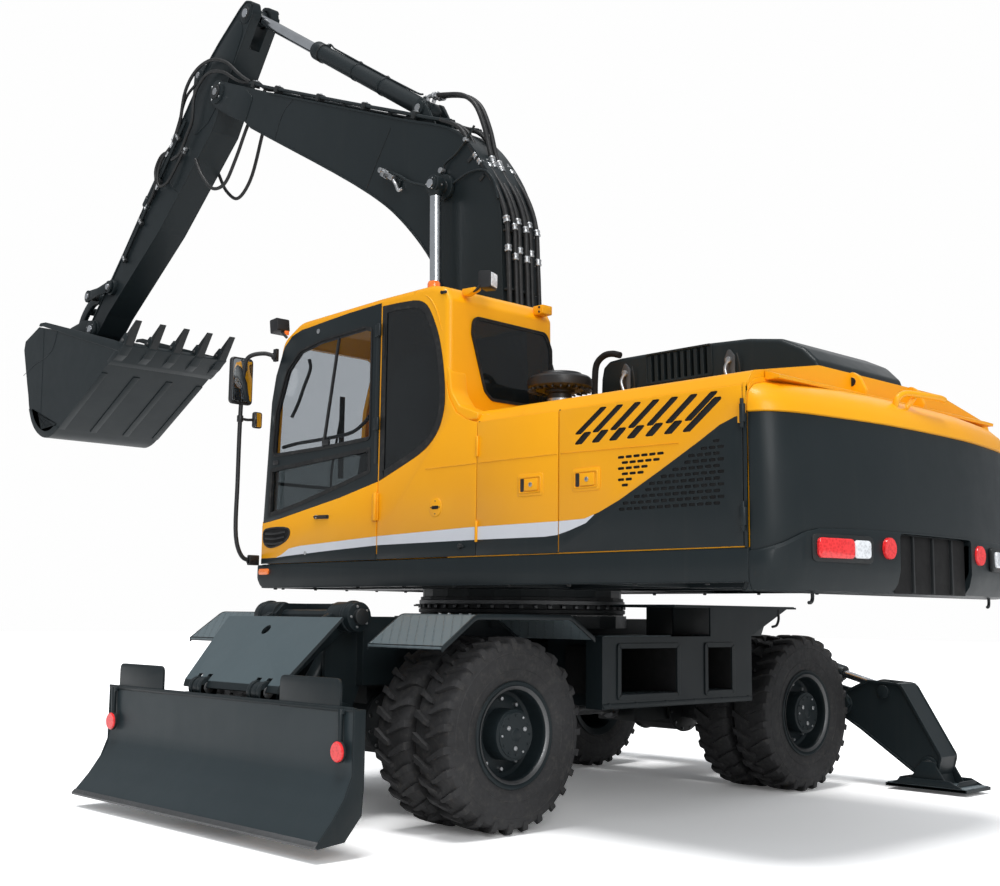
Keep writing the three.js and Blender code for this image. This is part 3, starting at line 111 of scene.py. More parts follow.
class Nodes:
    """A material's nodes, with short calls for the ones used here."""

    def __init__(self, name):
        self.material = bpy.data.materials.new(name)
        self.material.use_nodes = True
        self.tree = self.material.node_tree
        self.tree.nodes.clear()
        self.output = self.tree.nodes.new("ShaderNodeOutputMaterial")
        self.bsdf = self.tree.nodes.new("ShaderNodeBsdfPrincipled")
        self.tree.links.new(self.bsdf.outputs[0], self.output.inputs[0])
        self.where = self.tree.nodes.new("ShaderNodeTexCoord").outputs["Object"]

    def node(self, kind, inputs=None, **settings):
        made = self.tree.nodes.new(kind)
        for key, value in settings.items():
            setattr(made, key, value)
        for key, value in (inputs or {}).items():
            if isinstance(value, bpy.types.NodeSocket):
                self.tree.links.new(value, made.inputs[key])
            else:
                made.inputs[key].default_value = value
        return made

    def noise(self, scale, detail=3, rough=0.55, where=None):
        made = self.node("ShaderNodeTexNoise", {"Scale": scale, "Detail": detail, "Roughness": rough})
        self.tree.links.new(where or self.where, made.inputs["Vector"])
        return made.outputs["Fac"]

    def maths(self, operation, a, b=0.0, clamp=False):
        return self.node("ShaderNodeMath", {0: a, 1: b}, operation=operation, use_clamp=clamp).outputs[0]

    def ramp(self, value, low, high, out_low=0.0, out_high=1.0):
        made = self.node(
            "ShaderNodeMapRange",
            {"Value": value, "From Min": low, "From Max": high, "To Min": out_low, "To Max": out_high},
        )
        made.clamp = True
        return made.outputs[0]

    def mix(self, factor, a, b):
        made = self.tree.nodes.new("ShaderNodeMix")
        made.data_type = "RGBA"
        for socket, value in ((made.inputs[0], factor), (made.inputs[6], a), (made.inputs[7], b)):
            if isinstance(value, bpy.types.NodeSocket):
                self.tree.links.new(value, socket)
            else:
                socket.default_value = value
        return made.outputs[2]

    def link(self, socket, name):
        self.tree.links.new(socket, self.bsdf.inputs[name])

    def bump(self, height, strength, distance, normal=None):
        made = self.node("ShaderNodeBump", {"Height": height, "Strength": strength, "Distance": distance})
        if normal is not None:
            self.tree.links.new(normal, made.inputs["Normal"])
        return made.outputs[0]


def edge_wear_and_highlight(n, radius):
    """1 along sharp edges, 0 on flat faces, and the softened normal. paint() lightens the marked edges,
    partly as wear and partly as a painted highlight.
    """
    soft = n.node("ShaderNodeBevel", {"Radius": radius}, samples=4).outputs[0]
    flat = n.node("ShaderNodeNewGeometry").outputs["Normal"]
    dot = n.node("ShaderNodeVectorMath", {0: soft, 1: flat}, operation="DOT_PRODUCT").outputs["Value"]
    return n.ramp(dot, 0.97, 0.86), soft


def paint(
    name, colour, rough=0.38, coat=0.25, edge=None, wear_and_highlight=0.35, radius=0.004, grain=0.06, dust=0.1,
    metal=0.0, shine=0.5
):
    n = Nodes(name)
    r, g, b, _ = colour
    lighter = (min(1, r * 1.25 + 0.004), min(1, g * 1.25 + 0.004), min(1, b * 1.25 + 0.004), 1)
    darker = (r * 0.82, g * 0.82, b * 0.82, 1)
    cloud = n.noise(0.9, 5)
    base = n.mix(n.ramp(cloud, 0.25, 0.75), darker, lighter)
    base = n.mix(0.55, base, colour)
    streak_at = n.node("ShaderNodeMapping", {"Vector": n.where, "Scale": (9, 9, 0.7)}).outputs[0]
    streak = n.noise(1.6, 4, 0.6, streak_at)
    dirt = n.mix(0.5, colour, rgb(118, 112, 100))
    base = n.mix(n.maths("MULTIPLY", n.ramp(streak, 0.56, 0.78), dust), base, dirt)
    # sharp edges lighten in patches towards the edge colour: partly worn paint, partly a painted highlight
    wear_and_highlight_mask, soft = edge_wear_and_highlight(n, radius)
    patch = n.ramp(n.noise(14, 4, 0.7), 0.42, 0.62)
    base = n.mix(n.maths("MULTIPLY", n.maths("MULTIPLY", wear_and_highlight_mask, patch), wear_and_highlight), base, edge or lighter)
    n.link(base, "Base Color")
    n.link(n.ramp(n.noise(5, 5, 0.6), 0.2, 0.8, rough - 0.07, rough + 0.09), "Roughness")
    peel = n.noise(420, 2)
    n.link(n.bump(peel, grain, 0.0012, soft), "Normal")
    n.bsdf.inputs["Coat Weight"].default_value = coat
    n.bsdf.inputs["Coat Roughness"].default_value = 0.16
    n.bsdf.inputs["Specular IOR Level"].default_value = shine
    n.bsdf.inputs["Metallic"].default_value = metal
    return n


M = {}
M["dark"] = paint(
    "slate_paint", rgb(27, 35, 38), 0.4, 0.06, rgb(84, 94, 98), 0.3, dust=0.05, shine=0.26
).material
# a lighter copy of the slate paint for the guard plate's upward face: painted top light
M["guard_painted_light"] = paint("slate_guard_painted_light", rgb(72, 86, 91), 0.42, 0.1, rgb(126, 136, 140), 0.3, dust=0.08).material
# a lighter copy of the slate paint for the blade's mouldboard: painted light on its face
M["face"] = paint(
    "slate_blade_painted_light", rgb(40, 50, 54), 0.4, 0.1, rgb(96, 106, 110), 0.3, dust=0.06, shine=0.3
).material
M["deep"] = paint("deep_paint", rgb(24, 28, 30), 0.55, 0.05, rgb(62, 66, 68), 0.25, dust=0.2).material
M["yellow"] = paint(
    "yellow_paint", rgb(254, 170, 6), 0.38, 0.12, rgb(255, 204, 90), 0.25, radius=0.006, dust=0.015,
    shine=0.3
).material
M["silver"] = paint("silver_stripe", rgb(214, 217, 224), 0.36, 0.3, rgb(235, 236, 238), 0.2).material


def carried_paint():
    """Slate paint with a raised diamond pattern, for the walking plates; far lighter than the other slate, as
    painted top light.
    """
    n = paint("tread_plate_painted_top_light", rgb(96, 109, 114), 0.42, 0.1, rgb(170, 176, 178), 0.5)
    at = n.node(
        "ShaderNodeMapping", {"Vector": n.where, "Scale": (20, 20, 20), "Rotation": (0, 0, 0.785)}
    ).outputs[0]
    x, y, _ = n.node("ShaderNodeSeparateXYZ", {"Vector": at}).outputs
    cell = n.maths("FRACT", x)
    row = n.maths("FRACT", y)
    across = n.maths("ABSOLUTE", n.maths("SUBTRACT", cell, 0.5))
    down = n.maths("ABSOLUTE", n.maths("SUBTRACT", row, 0.5))
    bar = n.ramp(n.maths("ADD", n.maths("MULTIPLY", across, 3.2), down), 0.34, 0.44, 1.0, 0.0)
    old = n.bsdf.inputs["Normal"].links[0].from_socket
    n.link(n.bump(bar, 1.0, 0.006, old), "Normal")
    return n.material


# lighter slate for the upward walking plates: painted top light
M["tread"] = carried_paint()


def rubber(name, colour, rough=0.72, height=0.35):
    n = Nodes(name)
    base = n.mix(n.ramp(n.noise(3.2, 5), 0.3, 0.7), colour, tuple(min(1, c * 1.7) for c in colour[:3]) + (1,))
    dust = n.ramp(n.noise(26, 5, 0.7), 0.52, 0.72, 0, 0.22)
    base = n.mix(dust, base, rgb(104, 100, 94))
    n.link(base, "Base Color")
    n.link(n.ramp(n.noise(40, 4), 0.3, 0.7, rough - 0.1, rough + 0.1), "Roughness")
    n.link(n.bump(n.noise(260, 4, 0.7), height, 0.0015), "Normal")
    n.bsdf.inputs["Specular IOR Level"].default_value = 0.4
    return n.material


M["rubber"] = rubber("tyre_rubber", rgb(40, 40, 41))
M["hose"] = rubber("hose_rubber", rgb(30, 31, 32), 0.5, 0.2)
M["seal"] = rubber("window_seal", rgb(20, 21, 22), 0.6, 0.1)


def metal(name, colour, rough, scratch=0.12, scale=(3, 3, 60)):
    n = Nodes(name)
    at = n.node("ShaderNodeMapping", {"Vector": n.where, "Scale": scale}).outputs[0]
    lines = n.noise(8, 3, 0.6, at)
    n.link(
        n.mix(n.ramp(n.noise(7, 4), 0.3, 0.7), colour, tuple(c * 0.86 for c in colour[:3]) + (1,)),
        "Base Color"
    )
    n.link(n.ramp(lines, 0.3, 0.7, max(0.03, rough - scratch / 2), rough + scratch), "Roughness")
    n.link(n.bump(lines, 0.04, 0.0004), "Normal")
    n.bsdf.inputs["Metallic"].default_value = 1
    return n.material


M["chrome"] = metal("rod_chrome", rgb(226, 229, 233), 0.14, 0.05)
M["zinc"] = metal("zinc_fitting", rgb(196, 198, 200), 0.34, 0.2, (20, 20, 20))
M["steel"] = metal("worn_steel", rgb(118, 119, 120), 0.42, 0.25, (12, 12, 30))


def plastic(name, colour, rough=0.5, grain=0.25, scale=300):
    n = Nodes(name)
    n.link(
        n.mix(
            n.ramp(n.noise(2.2, 4), 0.3, 0.7), colour,
            tuple(min(1, c * 1.3 + 0.002) for c in colour[:3]) + (1,)
        ),
        "Base Color"
    )
    n.link(n.ramp(n.noise(12, 4), 0.3, 0.7, rough - 0.08, rough + 0.08), "Roughness")
    n.link(n.bump(n.noise(scale, 3, 0.6), grain, 0.0008), "Normal")
    return n.material


M["black"] = plastic("black_plastic", rgb(27, 28, 30), 0.45)
M["trim"] = plastic("cab_trim", rgb(52, 54, 57), 0.6)
# near-black plastic: real black on the vent pipe and the ring between the twin tyres; where it lines openings
# and recesses it is painted shade
M["black_and_painted_shade"] = plastic("black_and_painted_shade_plastic", rgb(9, 9, 10), 0.85, 0.1)


def lamp(name, colour, glow=0.0):
    n = Nodes(name)
    at = n.node("ShaderNodeMapping", {"Vector": n.where, "Scale": (70, 70, 70)}).outputs[0]
    cells = n.node("ShaderNodeTexVoronoi", {"Vector": at, "Scale": 1.0}).outputs["Distance"]
    n.link(
        n.mix(n.ramp(cells, 0.0, 0.7), colour, tuple(min(1, c * 1.5 + 0.02) for c in colour[:3]) + (1,)),
        "Base Color"
    )
    n.link(n.bump(cells, 0.25, 0.002), "Normal")
    n.bsdf.inputs["Roughness"].default_value = 0.12
    n.bsdf.inputs["Coat Weight"].default_value = 0.8
    if glow:
        n.bsdf.inputs["Emission Color"].default_value = colour
        n.bsdf.inputs["Emission Strength"].default_value = glow
    return n.material


# the red and the orange lenses glow a little; on the blade's reflectors, which are no lamps, the red lens's
# glow is painted light
M["red"] = lamp("red_lens", rgb(208, 26, 30), 0.12)
M["orange"] = lamp("orange_lens", rgb(238, 108, 30), 0.12)
M["clear"] = lamp("clear_lens", rgb(205, 208, 212))


def glass(name, tint, see, rough=0.03):
    n = Nodes(name)
    clear = n.node("ShaderNodeBsdfTransparent", {"Color": tint}).outputs[0]
    n.link(n.mix(n.ramp(n.noise(1.4, 3), 0.3, 0.7), rgb(22, 26, 28), rgb(34, 39, 41)), "Base Color")
    n.bsdf.inputs["Roughness"].default_value = rough
    n.bsdf.inputs["Coat Weight"].default_value = 0.6
    n.link(n.bump(n.noise(0.8, 2), 0.05, 0.01), "Normal")
    blend = n.node("ShaderNodeMixShader", {0: see})
    n.tree.links.new(n.bsdf.outputs[0], blend.inputs[1])
    n.tree.links.new(clear, blend.inputs[2])
    n.tree.links.new(blend.outputs[0], n.output.inputs[0])
    return n.material


M["glass"] = glass("tinted_glass", rgb(190, 198, 200), 0.5)
M["smoke"] = glass("smoked_glass", rgb(96, 102, 104), 0.42, 0.05)
M["pale_glass"] = glass("door_glass", rgb(236, 238, 240), 0.88)
M["mirror"] = metal("mirror_glass", rgb(210, 214, 216), 0.03, 0.01)


def cloth():
    n = Nodes("seat_fabric")
    at = n.node("ShaderNodeMapping", {"Vector": n.where, "Scale": (420, 420, 420)}).outputs[0]
    a = n.node(
        "ShaderNodeTexWave", {"Vector": at, "Scale": 1.0, "Distortion": 0.6}, bands_direction="X"
    ).outputs["Fac"]
    b = n.node(
        "ShaderNodeTexWave", {"Vector": at, "Scale": 1.0, "Distortion": 0.6}, bands_direction="Z"
    ).outputs["Fac"]
    weave = n.maths("MAXIMUM", a, b)
    n.link(n.mix(n.ramp(n.noise(30, 4), 0.3, 0.7), rgb(38, 40, 44), rgb(58, 61, 66)), "Base Color")
    n.link(n.bump(weave, 0.5, 0.001), "Normal")
    n.bsdf.inputs["Roughness"].default_value = 0.9
    n.bsdf.inputs["Sheen Weight"].default_value = 0.35
    return n.material


M["cloth"] = cloth()


# ---------------------------------------------------------------- outlines
def span(side, a, b):
    """The low and the high end of a stretch, on the side 1 or -1."""
    return min(side * a, side * b), max(side * a, side * b)


def fillet(points, radius, steps=4):
    """The outline with its corners rounded. radius is one number, or one for each corner."""
    n = len(points)
    made = []
    for i, p in enumerate(points):
        r = radius[i] if isinstance(radius, (list, tuple)) else radius
        p = Vector(p)
        a = Vector(points[i - 1]) - p
        b = Vector(points[(i + 1) % n]) - p
        la, lb = a.length, b.length
        if r <= 0 or la < 1e-6 or lb < 1e-6:
            made.append(tuple(p))
            continue
        a /= la
        b /= lb
        angle = math.acos(max(-1, min(1, a.dot(b))))
        if angle > math.radians(176):
            made.append(tuple(p))
            continue
        reach = min(r / math.tan(angle / 2), la * 0.48, lb * 0.48)
        start, end = p + a * reach, p + b * reach
        for k in range(steps + 1):
            t = k / steps
            q = start * (1 - t) ** 2 + p * 2 * t * (1 - t) + end * t**2
            made.append(tuple(q))
    return made


def rect(x0, x1, y0, y1, radius, steps=4):
    """A rectangle with its corners rounded."""
    return fillet([(x0, y0), (x1, y0), (x1, y1), (x0, y1)], radius, steps)


def turned(at, angle, axis):
    """A place, turned by an angle about one of its axes."""
    return Matrix.Translation(at) @ Matrix.Rotation(angle, 4, axis)


def smooth_line(points, per=6, closed=False):
    """Points on a Catmull-Rom curve through the given ones."""
    p = [Vector(q) for q in points]
    n = len(p)
    made = []
    for i in range(n if closed else n - 1):
        p0 = p[(i - 1) % n] if closed or i else p[0] * 2 - p[1]
        p1, p2 = p[i], p[(i + 1) % n]
        p3 = p[(i + 2) % n] if closed or i < n - 2 else p[-1] * 2 - p[-2]
        d1 = max((p1 - p0).length, 1e-6) ** 0.5
        d2 = max((p2 - p1).length, 1e-6) ** 0.5
        d3 = max((p3 - p2).length, 1e-6) ** 0.5
        m1 = (p1 - p0) / d1 - (p2 - p0) / (d1 + d2) + (p2 - p1) / d2
        m2 = (p2 - p1) / d2 - (p3 - p1) / (d2 + d3) + (p3 - p2) / d3
        m1, m2 = m1 * d2, m2 * d2
        for k in range(per):
            t = k / per
            h = (2 * t**3 - 3 * t**2 + 1, t**3 - 2 * t**2 + t, -2 * t**3 + 3 * t**2, t**3 - t**2)
            made.append(p1 * h[0] + m1 * h[1] + p2 * h[2] + m2 * h[3])
    if not closed:
        made.append(p[-1])
    return made


def inset(points, by):
    """The outline moved inwards by a distance."""
    n = len(points)
    area = sum(
        points[i][0] * points[(i + 1) % n][1] - points[(i + 1) % n][0] * points[i][1] for i in range(n)
    )
    side = 1 if area > 0 else -1
    made = []
    for i in range(n):
        p = Vector(points[i])
        a = (p - Vector(points[i - 1])).normalized()
        b = (Vector(points[(i + 1) % n]) - p).normalized()
        na, nb = Vector((-a.y, a.x)) * side, Vector((-b.y, b.x)) * side
        m = na + nb
        if m.length < 1e-6:
            m = na
        m.normalize()
        made.append(tuple(p + m * by / max(0.35, m.dot(na))))
    return made


# ---------------------------------------------------------------- pieces
class Piece:
    """Collects solids, in millimetres of one frame, into one mesh object."""

    def __init__(self, basis, at=None):
        self.basis = basis
        self.at = at or Matrix.Identity(4)
        self.meshes = []
        self.names = []

    def take(self, bm, mat, local=None):
        if local is not None:
            bmesh.ops.transform(bm, matrix=local, verts=bm.verts)
        bmesh.ops.recalc_face_normals(bm, faces=bm.faces)
        if mat not in self.names:
            self.names.append(mat)
        index = self.names.index(mat)
        for face in bm.faces:
            face.material_index = index
        mesh = bpy.data.meshes.new("part")
        bm.to_mesh(mesh)
        bm.free()
        self.meshes.append(mesh)
        return self

    def prism(self, outline, a, b, plane="y", mat="dark", bevel=3, segments=2, local=None):
        """An outline made thick: along y it is in x and z, along x in y and z, along z in x and y."""
        place = {
            "y": lambda p, d: (p[0], d, p[1]),
            "x": lambda p, d: (d, p[0], p[1]),
            "z": lambda p, d: (p[0], p[1], d),
        }[plane]
        bm = bmesh.new()
        low = [bm.verts.new(place(p, a)) for p in outline]
        high = [bm.verts.new(place(p, b)) for p in outline]
        n = len(outline)
        bm.faces.new(low)
        bm.faces.new(high)
        for i in range(n):
            j = (i + 1) % n
            bm.faces.new((low[i], low[j], high[j], high[i]))
        bmesh.ops.recalc_face_normals(bm, faces=bm.faces)
        if bevel:
            edges = [e for e in bm.edges if e.calc_face_angle(0) > math.radians(28)]
            bmesh.ops.bevel(
                bm, geom=edges, offset=bevel, segments=segments, profile=0.5, affect="EDGES",
                clamp_overlap=True
            )
        return self.take(bm, mat, local)

    def box(self, x0, x1, y0, y1, z0, z1, mat="dark", bevel=3, segments=2, local=None):
        return self.prism([(x0, y0), (x1, y0), (x1, y1), (x0, y1)], z0, z1, "z", mat, bevel, segments, local)

    def lathe(self, profile, axis="z", centre=(0, 0), mat="dark", n=32, local=None):
        """A closed outline of (radius, height) turned round an axis."""
        place = {
            "x": lambda r, t, h: (h, centre[0] + r * math.cos(t), centre[1] + r * math.sin(t)),
            "y": lambda r, t, h: (centre[0] + r * math.cos(t), h, centre[1] + r * math.sin(t)),
            "z": lambda r, t, h: (centre[0] + r * math.cos(t), centre[1] + r * math.sin(t), h),
        }[axis]
        bm = bmesh.new()
        rings = []
        for r, h in profile:
            if r < 1e-6:
                rings.append([bm.verts.new(place(0, 0, h))] * n)
            else:
                rings.append([bm.verts.new(place(r, 2 * math.pi * k / n, h)) for k in range(n)])
        m = len(profile)
        for i in range(m):
            a, b = rings[i], rings[(i + 1) % m]
            if a[0] is a[1] and b[0] is b[1]:
                continue
            for k in range(n):
                corners = []
                for v in (a[k], a[(k + 1) % n], b[(k + 1) % n], b[k]):
                    if v not in corners:
                        corners.append(v)
                if len(corners) > 2:
                    bm.faces.new(corners)
        return self.take(bm, mat, local)

    def rod(self, axis, r, centre, a, b, mat="dark", n=28, bevel=2, local=None, hole=0):
        c = min(bevel, r * 0.3, abs(b - a) * 0.3)
        profile = [
            (hole, a), (r - c, a), (r - c * 0.3, a + c * 0.3), (r, a + c), (r, b - c),
            (r - c * 0.3, b - c * 0.3), (r - c, b), (hole, b)
        ]
        if a > b:
            profile = [(hole, b), (r - c, b), (r, b + c), (r, a - c), (r - c, a), (hole, a)]
        return self.lathe(profile, axis, centre, mat, n, local)

    def tube(self, points, r, mat="hose", n=10, per=6, local=None, smooth=True):
        line = smooth_line(points, per) if smooth else [Vector(p) for p in points]
        bm = bmesh.new()
        rings = []
        last = None
        for i, p in enumerate(line):
            d = (line[min(i + 1, len(line) - 1)] - line[max(i - 1, 0)]).normalized()
            if last is None:
                side = d.cross(Vector((0, 0, 1)) if abs(d.z) < 0.9 else Vector((1, 0, 0))).normalized()
            else:
                side = (last - d * last.dot(d)).normalized()
            last = side
            other = d.cross(side)
            rings.append(
                [
                    bm.verts.new(
                        p + side * r * math.cos(2 * math.pi * k / n) + other * r
                        * math.sin(2 * math.pi * k / n)
                    )
                    for k in range(n)
                ]
            )
        bm.faces.new(rings[0])
        bm.faces.new(rings[-1])
        for a, b in zip(rings, rings[1:]):
            for k in range(n):
                bm.faces.new((a[k], a[(k + 1) % n], b[(k + 1) % n], b[k]))
        return self.take(bm, mat, local)

    def loft(self, rings, mat="dark", local=None):
        """Closed rings of points, one after another, with a cap at each end."""
        bm = bmesh.new()
        made = [[bm.verts.new(p) for p in ring] for ring in rings]
        bm.faces.new(made[0])
        bm.faces.new(made[-1])
        n = len(made[0])
        for a, b in zip(made, made[1:]):
            for k in range(n):
                bm.faces.new((a[k], a[(k + 1) % n], b[(k + 1) % n], b[k]))
        return self.take(bm, mat, local)

    def bolt(self, axis, centre, at, r=12, height=10, out=1, mat="zinc", local=None):
        """A hexagon head standing on a face, out along the axis."""
        a, b = (at, at + height * out) if out > 0 else (at - height, at)
        c = height * 0.25
        tip = b if out > 0 else a
        root = a if out > 0 else b
        step = -c if out > 0 else c
        return self.lathe(
            [(0, root), (r, root), (r, tip + step), (r * 0.8, tip), (0, tip)], axis, centre, mat, 6, local
        )

    def build(self, name):
        bm = bmesh.new()
        for mesh in self.meshes:
            bm.from_mesh(mesh)
            bpy.data.meshes.remove(mesh)
        matrix = self.basis @ self.at
        bmesh.ops.transform(bm, matrix=matrix, verts=bm.verts)
        if matrix.determinant() < 0:
            bmesh.ops.reverse_faces(bm, faces=bm.faces)
        mesh = bpy.data.meshes.new(name)
        bm.to_mesh(mesh)
        bm.free()
        for mat in self.names:
            mesh.materials.append(M[mat])
        made = bpy.data.objects.new(name, mesh)
        bpy.context.scene.collection.objects.link(made)
        return made

    def done(self, name, body, *replaced, cut=None, slot=None, angle=34):
        made = self.build(name)
        if cut is not None:
            made = carve(made, cut)
        shade(made.data, angle)
        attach(made, body)
        if replaced:
            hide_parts(*replaced)
        return made


def shade(mesh, angle=34):
    mesh.polygons.foreach_set("use_smooth", [True] * len(mesh.polygons))
    mesh.set_sharp_from_angle(angle=math.radians(angle))


def carve(made, cutters):
    """The object with each cutter, a Piece, taken away from it."""
    tools = []
    for i, cutter in enumerate(cutters if isinstance(cutters, (list, tuple)) else [cutters]):
        tool = cutter.build(f"cutter_{i}")
        tools.append(tool)
        step = made.modifiers.new(f"cut_{i}", "BOOLEAN")
        step.operation = "DIFFERENCE"
        step.solver = "MANIFOLD"
        step.object = tool
    bpy.context.view_layer.update()
    graph = bpy.context.evaluated_depsgraph_get()
    mesh = bpy.data.meshes.new_from_object(made.evaluated_get(graph))
    old = made.data
    made.modifiers.clear()
    made.data = mesh
    bpy.data.meshes.remove(old)
    mesh.name = made.name
    for tool in tools:
        data = tool.data
        bpy.data.objects.remove(tool)
        bpy.data.meshes.remove(data)
    bm = bmesh.new()
    bm.from_mesh(mesh)
    bmesh.ops.dissolve_degenerate(bm, dist=1e-6, edges=bm.edges)
    bm.to_mesh(mesh)
    bm.free()
    return made


SIDES = ((1, "left", Matrix.Identity(4)), (-1, "right", MIRROR))


def dress(name, material):
    """A CAD node that stays gets its finish."""
    data = nodes[name].data
    data.materials.clear()
    data.materials.append(M[material])
    shade(data, 30)


# ---------------------------------------------------------------- wheels
WHEEL = {"radius": 527, "width": 278, "spacing": 320, "track": 957}


def tyre_profile(centre):
    """Half a section through one tyre of the pair, as (radius, place across)."""
    outer = [
        (264, 103), (270, 112), (292, 120), (330, 134), (380, 138.5), (430, 138), (466, 134), (488, 126),
        (499, 108), (503, 60), (504, 0)
    ]
    right = [(r, centre + h) for r, h in outer]
    left = [(r, centre - h) for r, h in reversed(outer[:-1])]
    return right + left + [(262, centre - 100), (262, centre + 100)]


def tread(piece, centre, flip, count=27):
    """Slanted lugs from the middle of the tread over the shoulder, on both halves."""
    radius = WHEEL["radius"]
    for side in (1, -1):
        for i in range(count):
            start = 2 * math.pi * (i + (0.5 if side < 0 else 0)) / count
            bm = bmesh.new()
            rows = []
            stations = [
                (-4, 0, 26, 0), (34, 10, 44, 0), (72, 30, 66, 1), (104, 40, 84, 3), (124, 44, 90, 10),
                (133, 46, 90, 26), (137.5, 48, 88, 62)
            ]
            for u, a, b, drop in stations:
                top = radius - drop
                low = min(498, top - 6) if u < 120 else top - 34 if u < 135 else 458
                if u > 120:
                    low = {124: 490, 133: 470, 137.5: 452}[u]
                row = []
                for r, arc in ((low, a), (top, a + 3), (top, b - 3), (low, b)):
                    t = start + flip * arc / radius
                    inward = 0 if r == top else (8 if u > 130 else 0)
                    row.append(bm.verts.new((r * math.cos(t), centre + side * (u - inward), r * math.sin(t))))
                rows.append(row)
            for p, q in zip(rows, rows[1:]):
                for k in range(4):
                    bm.faces.new((p[k], p[(k + 1) % 4], q[(k + 1) % 4], q[k]))
            bm.faces.new(rows[0])
            bm.faces.new(rows[-1])
            piece.take(bm, "rubber")


def make_wheel(name, x, y_side, turn):
    """A pair of tyres on their rims."""
    side = 1 if y_side > 0 else -1
    at = Matrix.Translation(
        (x, side * WHEEL["track"], WHEEL["radius"])
    ) @ (MIRROR if side < 0 else Matrix.Identity(4))
    body = f"{name}_wheel"
    tyres = Piece(CARRIER, at)
    for centre in (-WHEEL["spacing"] / 2, WHEEL["spacing"] / 2):
        tyres.lathe(tyre_profile(centre), "y", mat="rubber", n=72)
        tread(tyres, centre, turn)
        for r, h in ((352, 137.6), (440, 138.2)):
            for s in (1, -1):
                tyres.lathe(
                    [
                        (r - 4, centre + s * (h - 2)), (r, centre + s * (h + 0.8)),
                        (r + 4, centre + s * (h - 2))
                    ],
                    "y", mat="rubber", n=72
                )
    tyres.lathe([(300, -34), (392, -20), (398, 0), (392, 20), (300, 34)], "y", mat="black_and_painted_shade", n=48)
    tyres.done(f"{name}_tyre_pair", body, f"{name}_tyres")
    rims = Piece(CARRIER, at)
    outline = [
        (60.5, 100), (60.5, -60), (130, -60), (130, 128), (205, 134), (236, 118), (236, -268), (256, -276),
        (286, -286), (288, -280), (261, -258), (261, 258), (288, 281), (287, 288), (280, 290), (262, 284),
        (254, 278), (247, 276), (241, 268), (239, 250), (239, 182), (233, 168), (216, 160), (150, 172),
        (139, 172), (139, 270), (136, 280), (122, 285), (120, 291), (60, 293), (0, 293), (0, 100)
    ]
    rims.lathe(outline, "y", mat="dark", n=64)
    rims.lathe([(262.5, 262), (289, 283), (291, 279), (270, 258)], "y", mat="deep", n=64)
    rims.lathe(
        [(246, 274), (252, 280), (258, 282), (262, 288), (250, 284), (243, 277)], "y", mat="steel", n=64
    )
    for k in range(10):
        t = 2 * math.pi * (k + 0.5) / 10
        rims.bolt("y", (188 * math.cos(t), 188 * math.sin(t)), 158, 13, 24, 1, "zinc")
    for k in range(12):
        t = 2 * math.pi * k / 12
        rims.bolt("y", (104 * math.cos(t), 104 * math.sin(t)), 292, 7, 5, 1, "zinc" if k % 4 == 0 else "dark")
    for t in (0.6, 2.7, 4.8):
        rims.rod("y", 13, (70 * math.cos(t), 70 * math.sin(t)), 290, 298, "zinc", 16)
    rims.rod("y", 34, (0, 0), 290, 296, "dark", 24)
    rims.tube([(120, 178, -150), (170, 240, -178), (196, 268, -190)], 6, "steel", 8)
    rims.done(f"{name}_wheel_rims", body, f"{name}_rims")


for end, x in (("front", 1270), ("rear", -1530)):
    for s, side_name, _ in SIDES:
        make_wheel(f"{end}_{side_name}", x, s, 1)


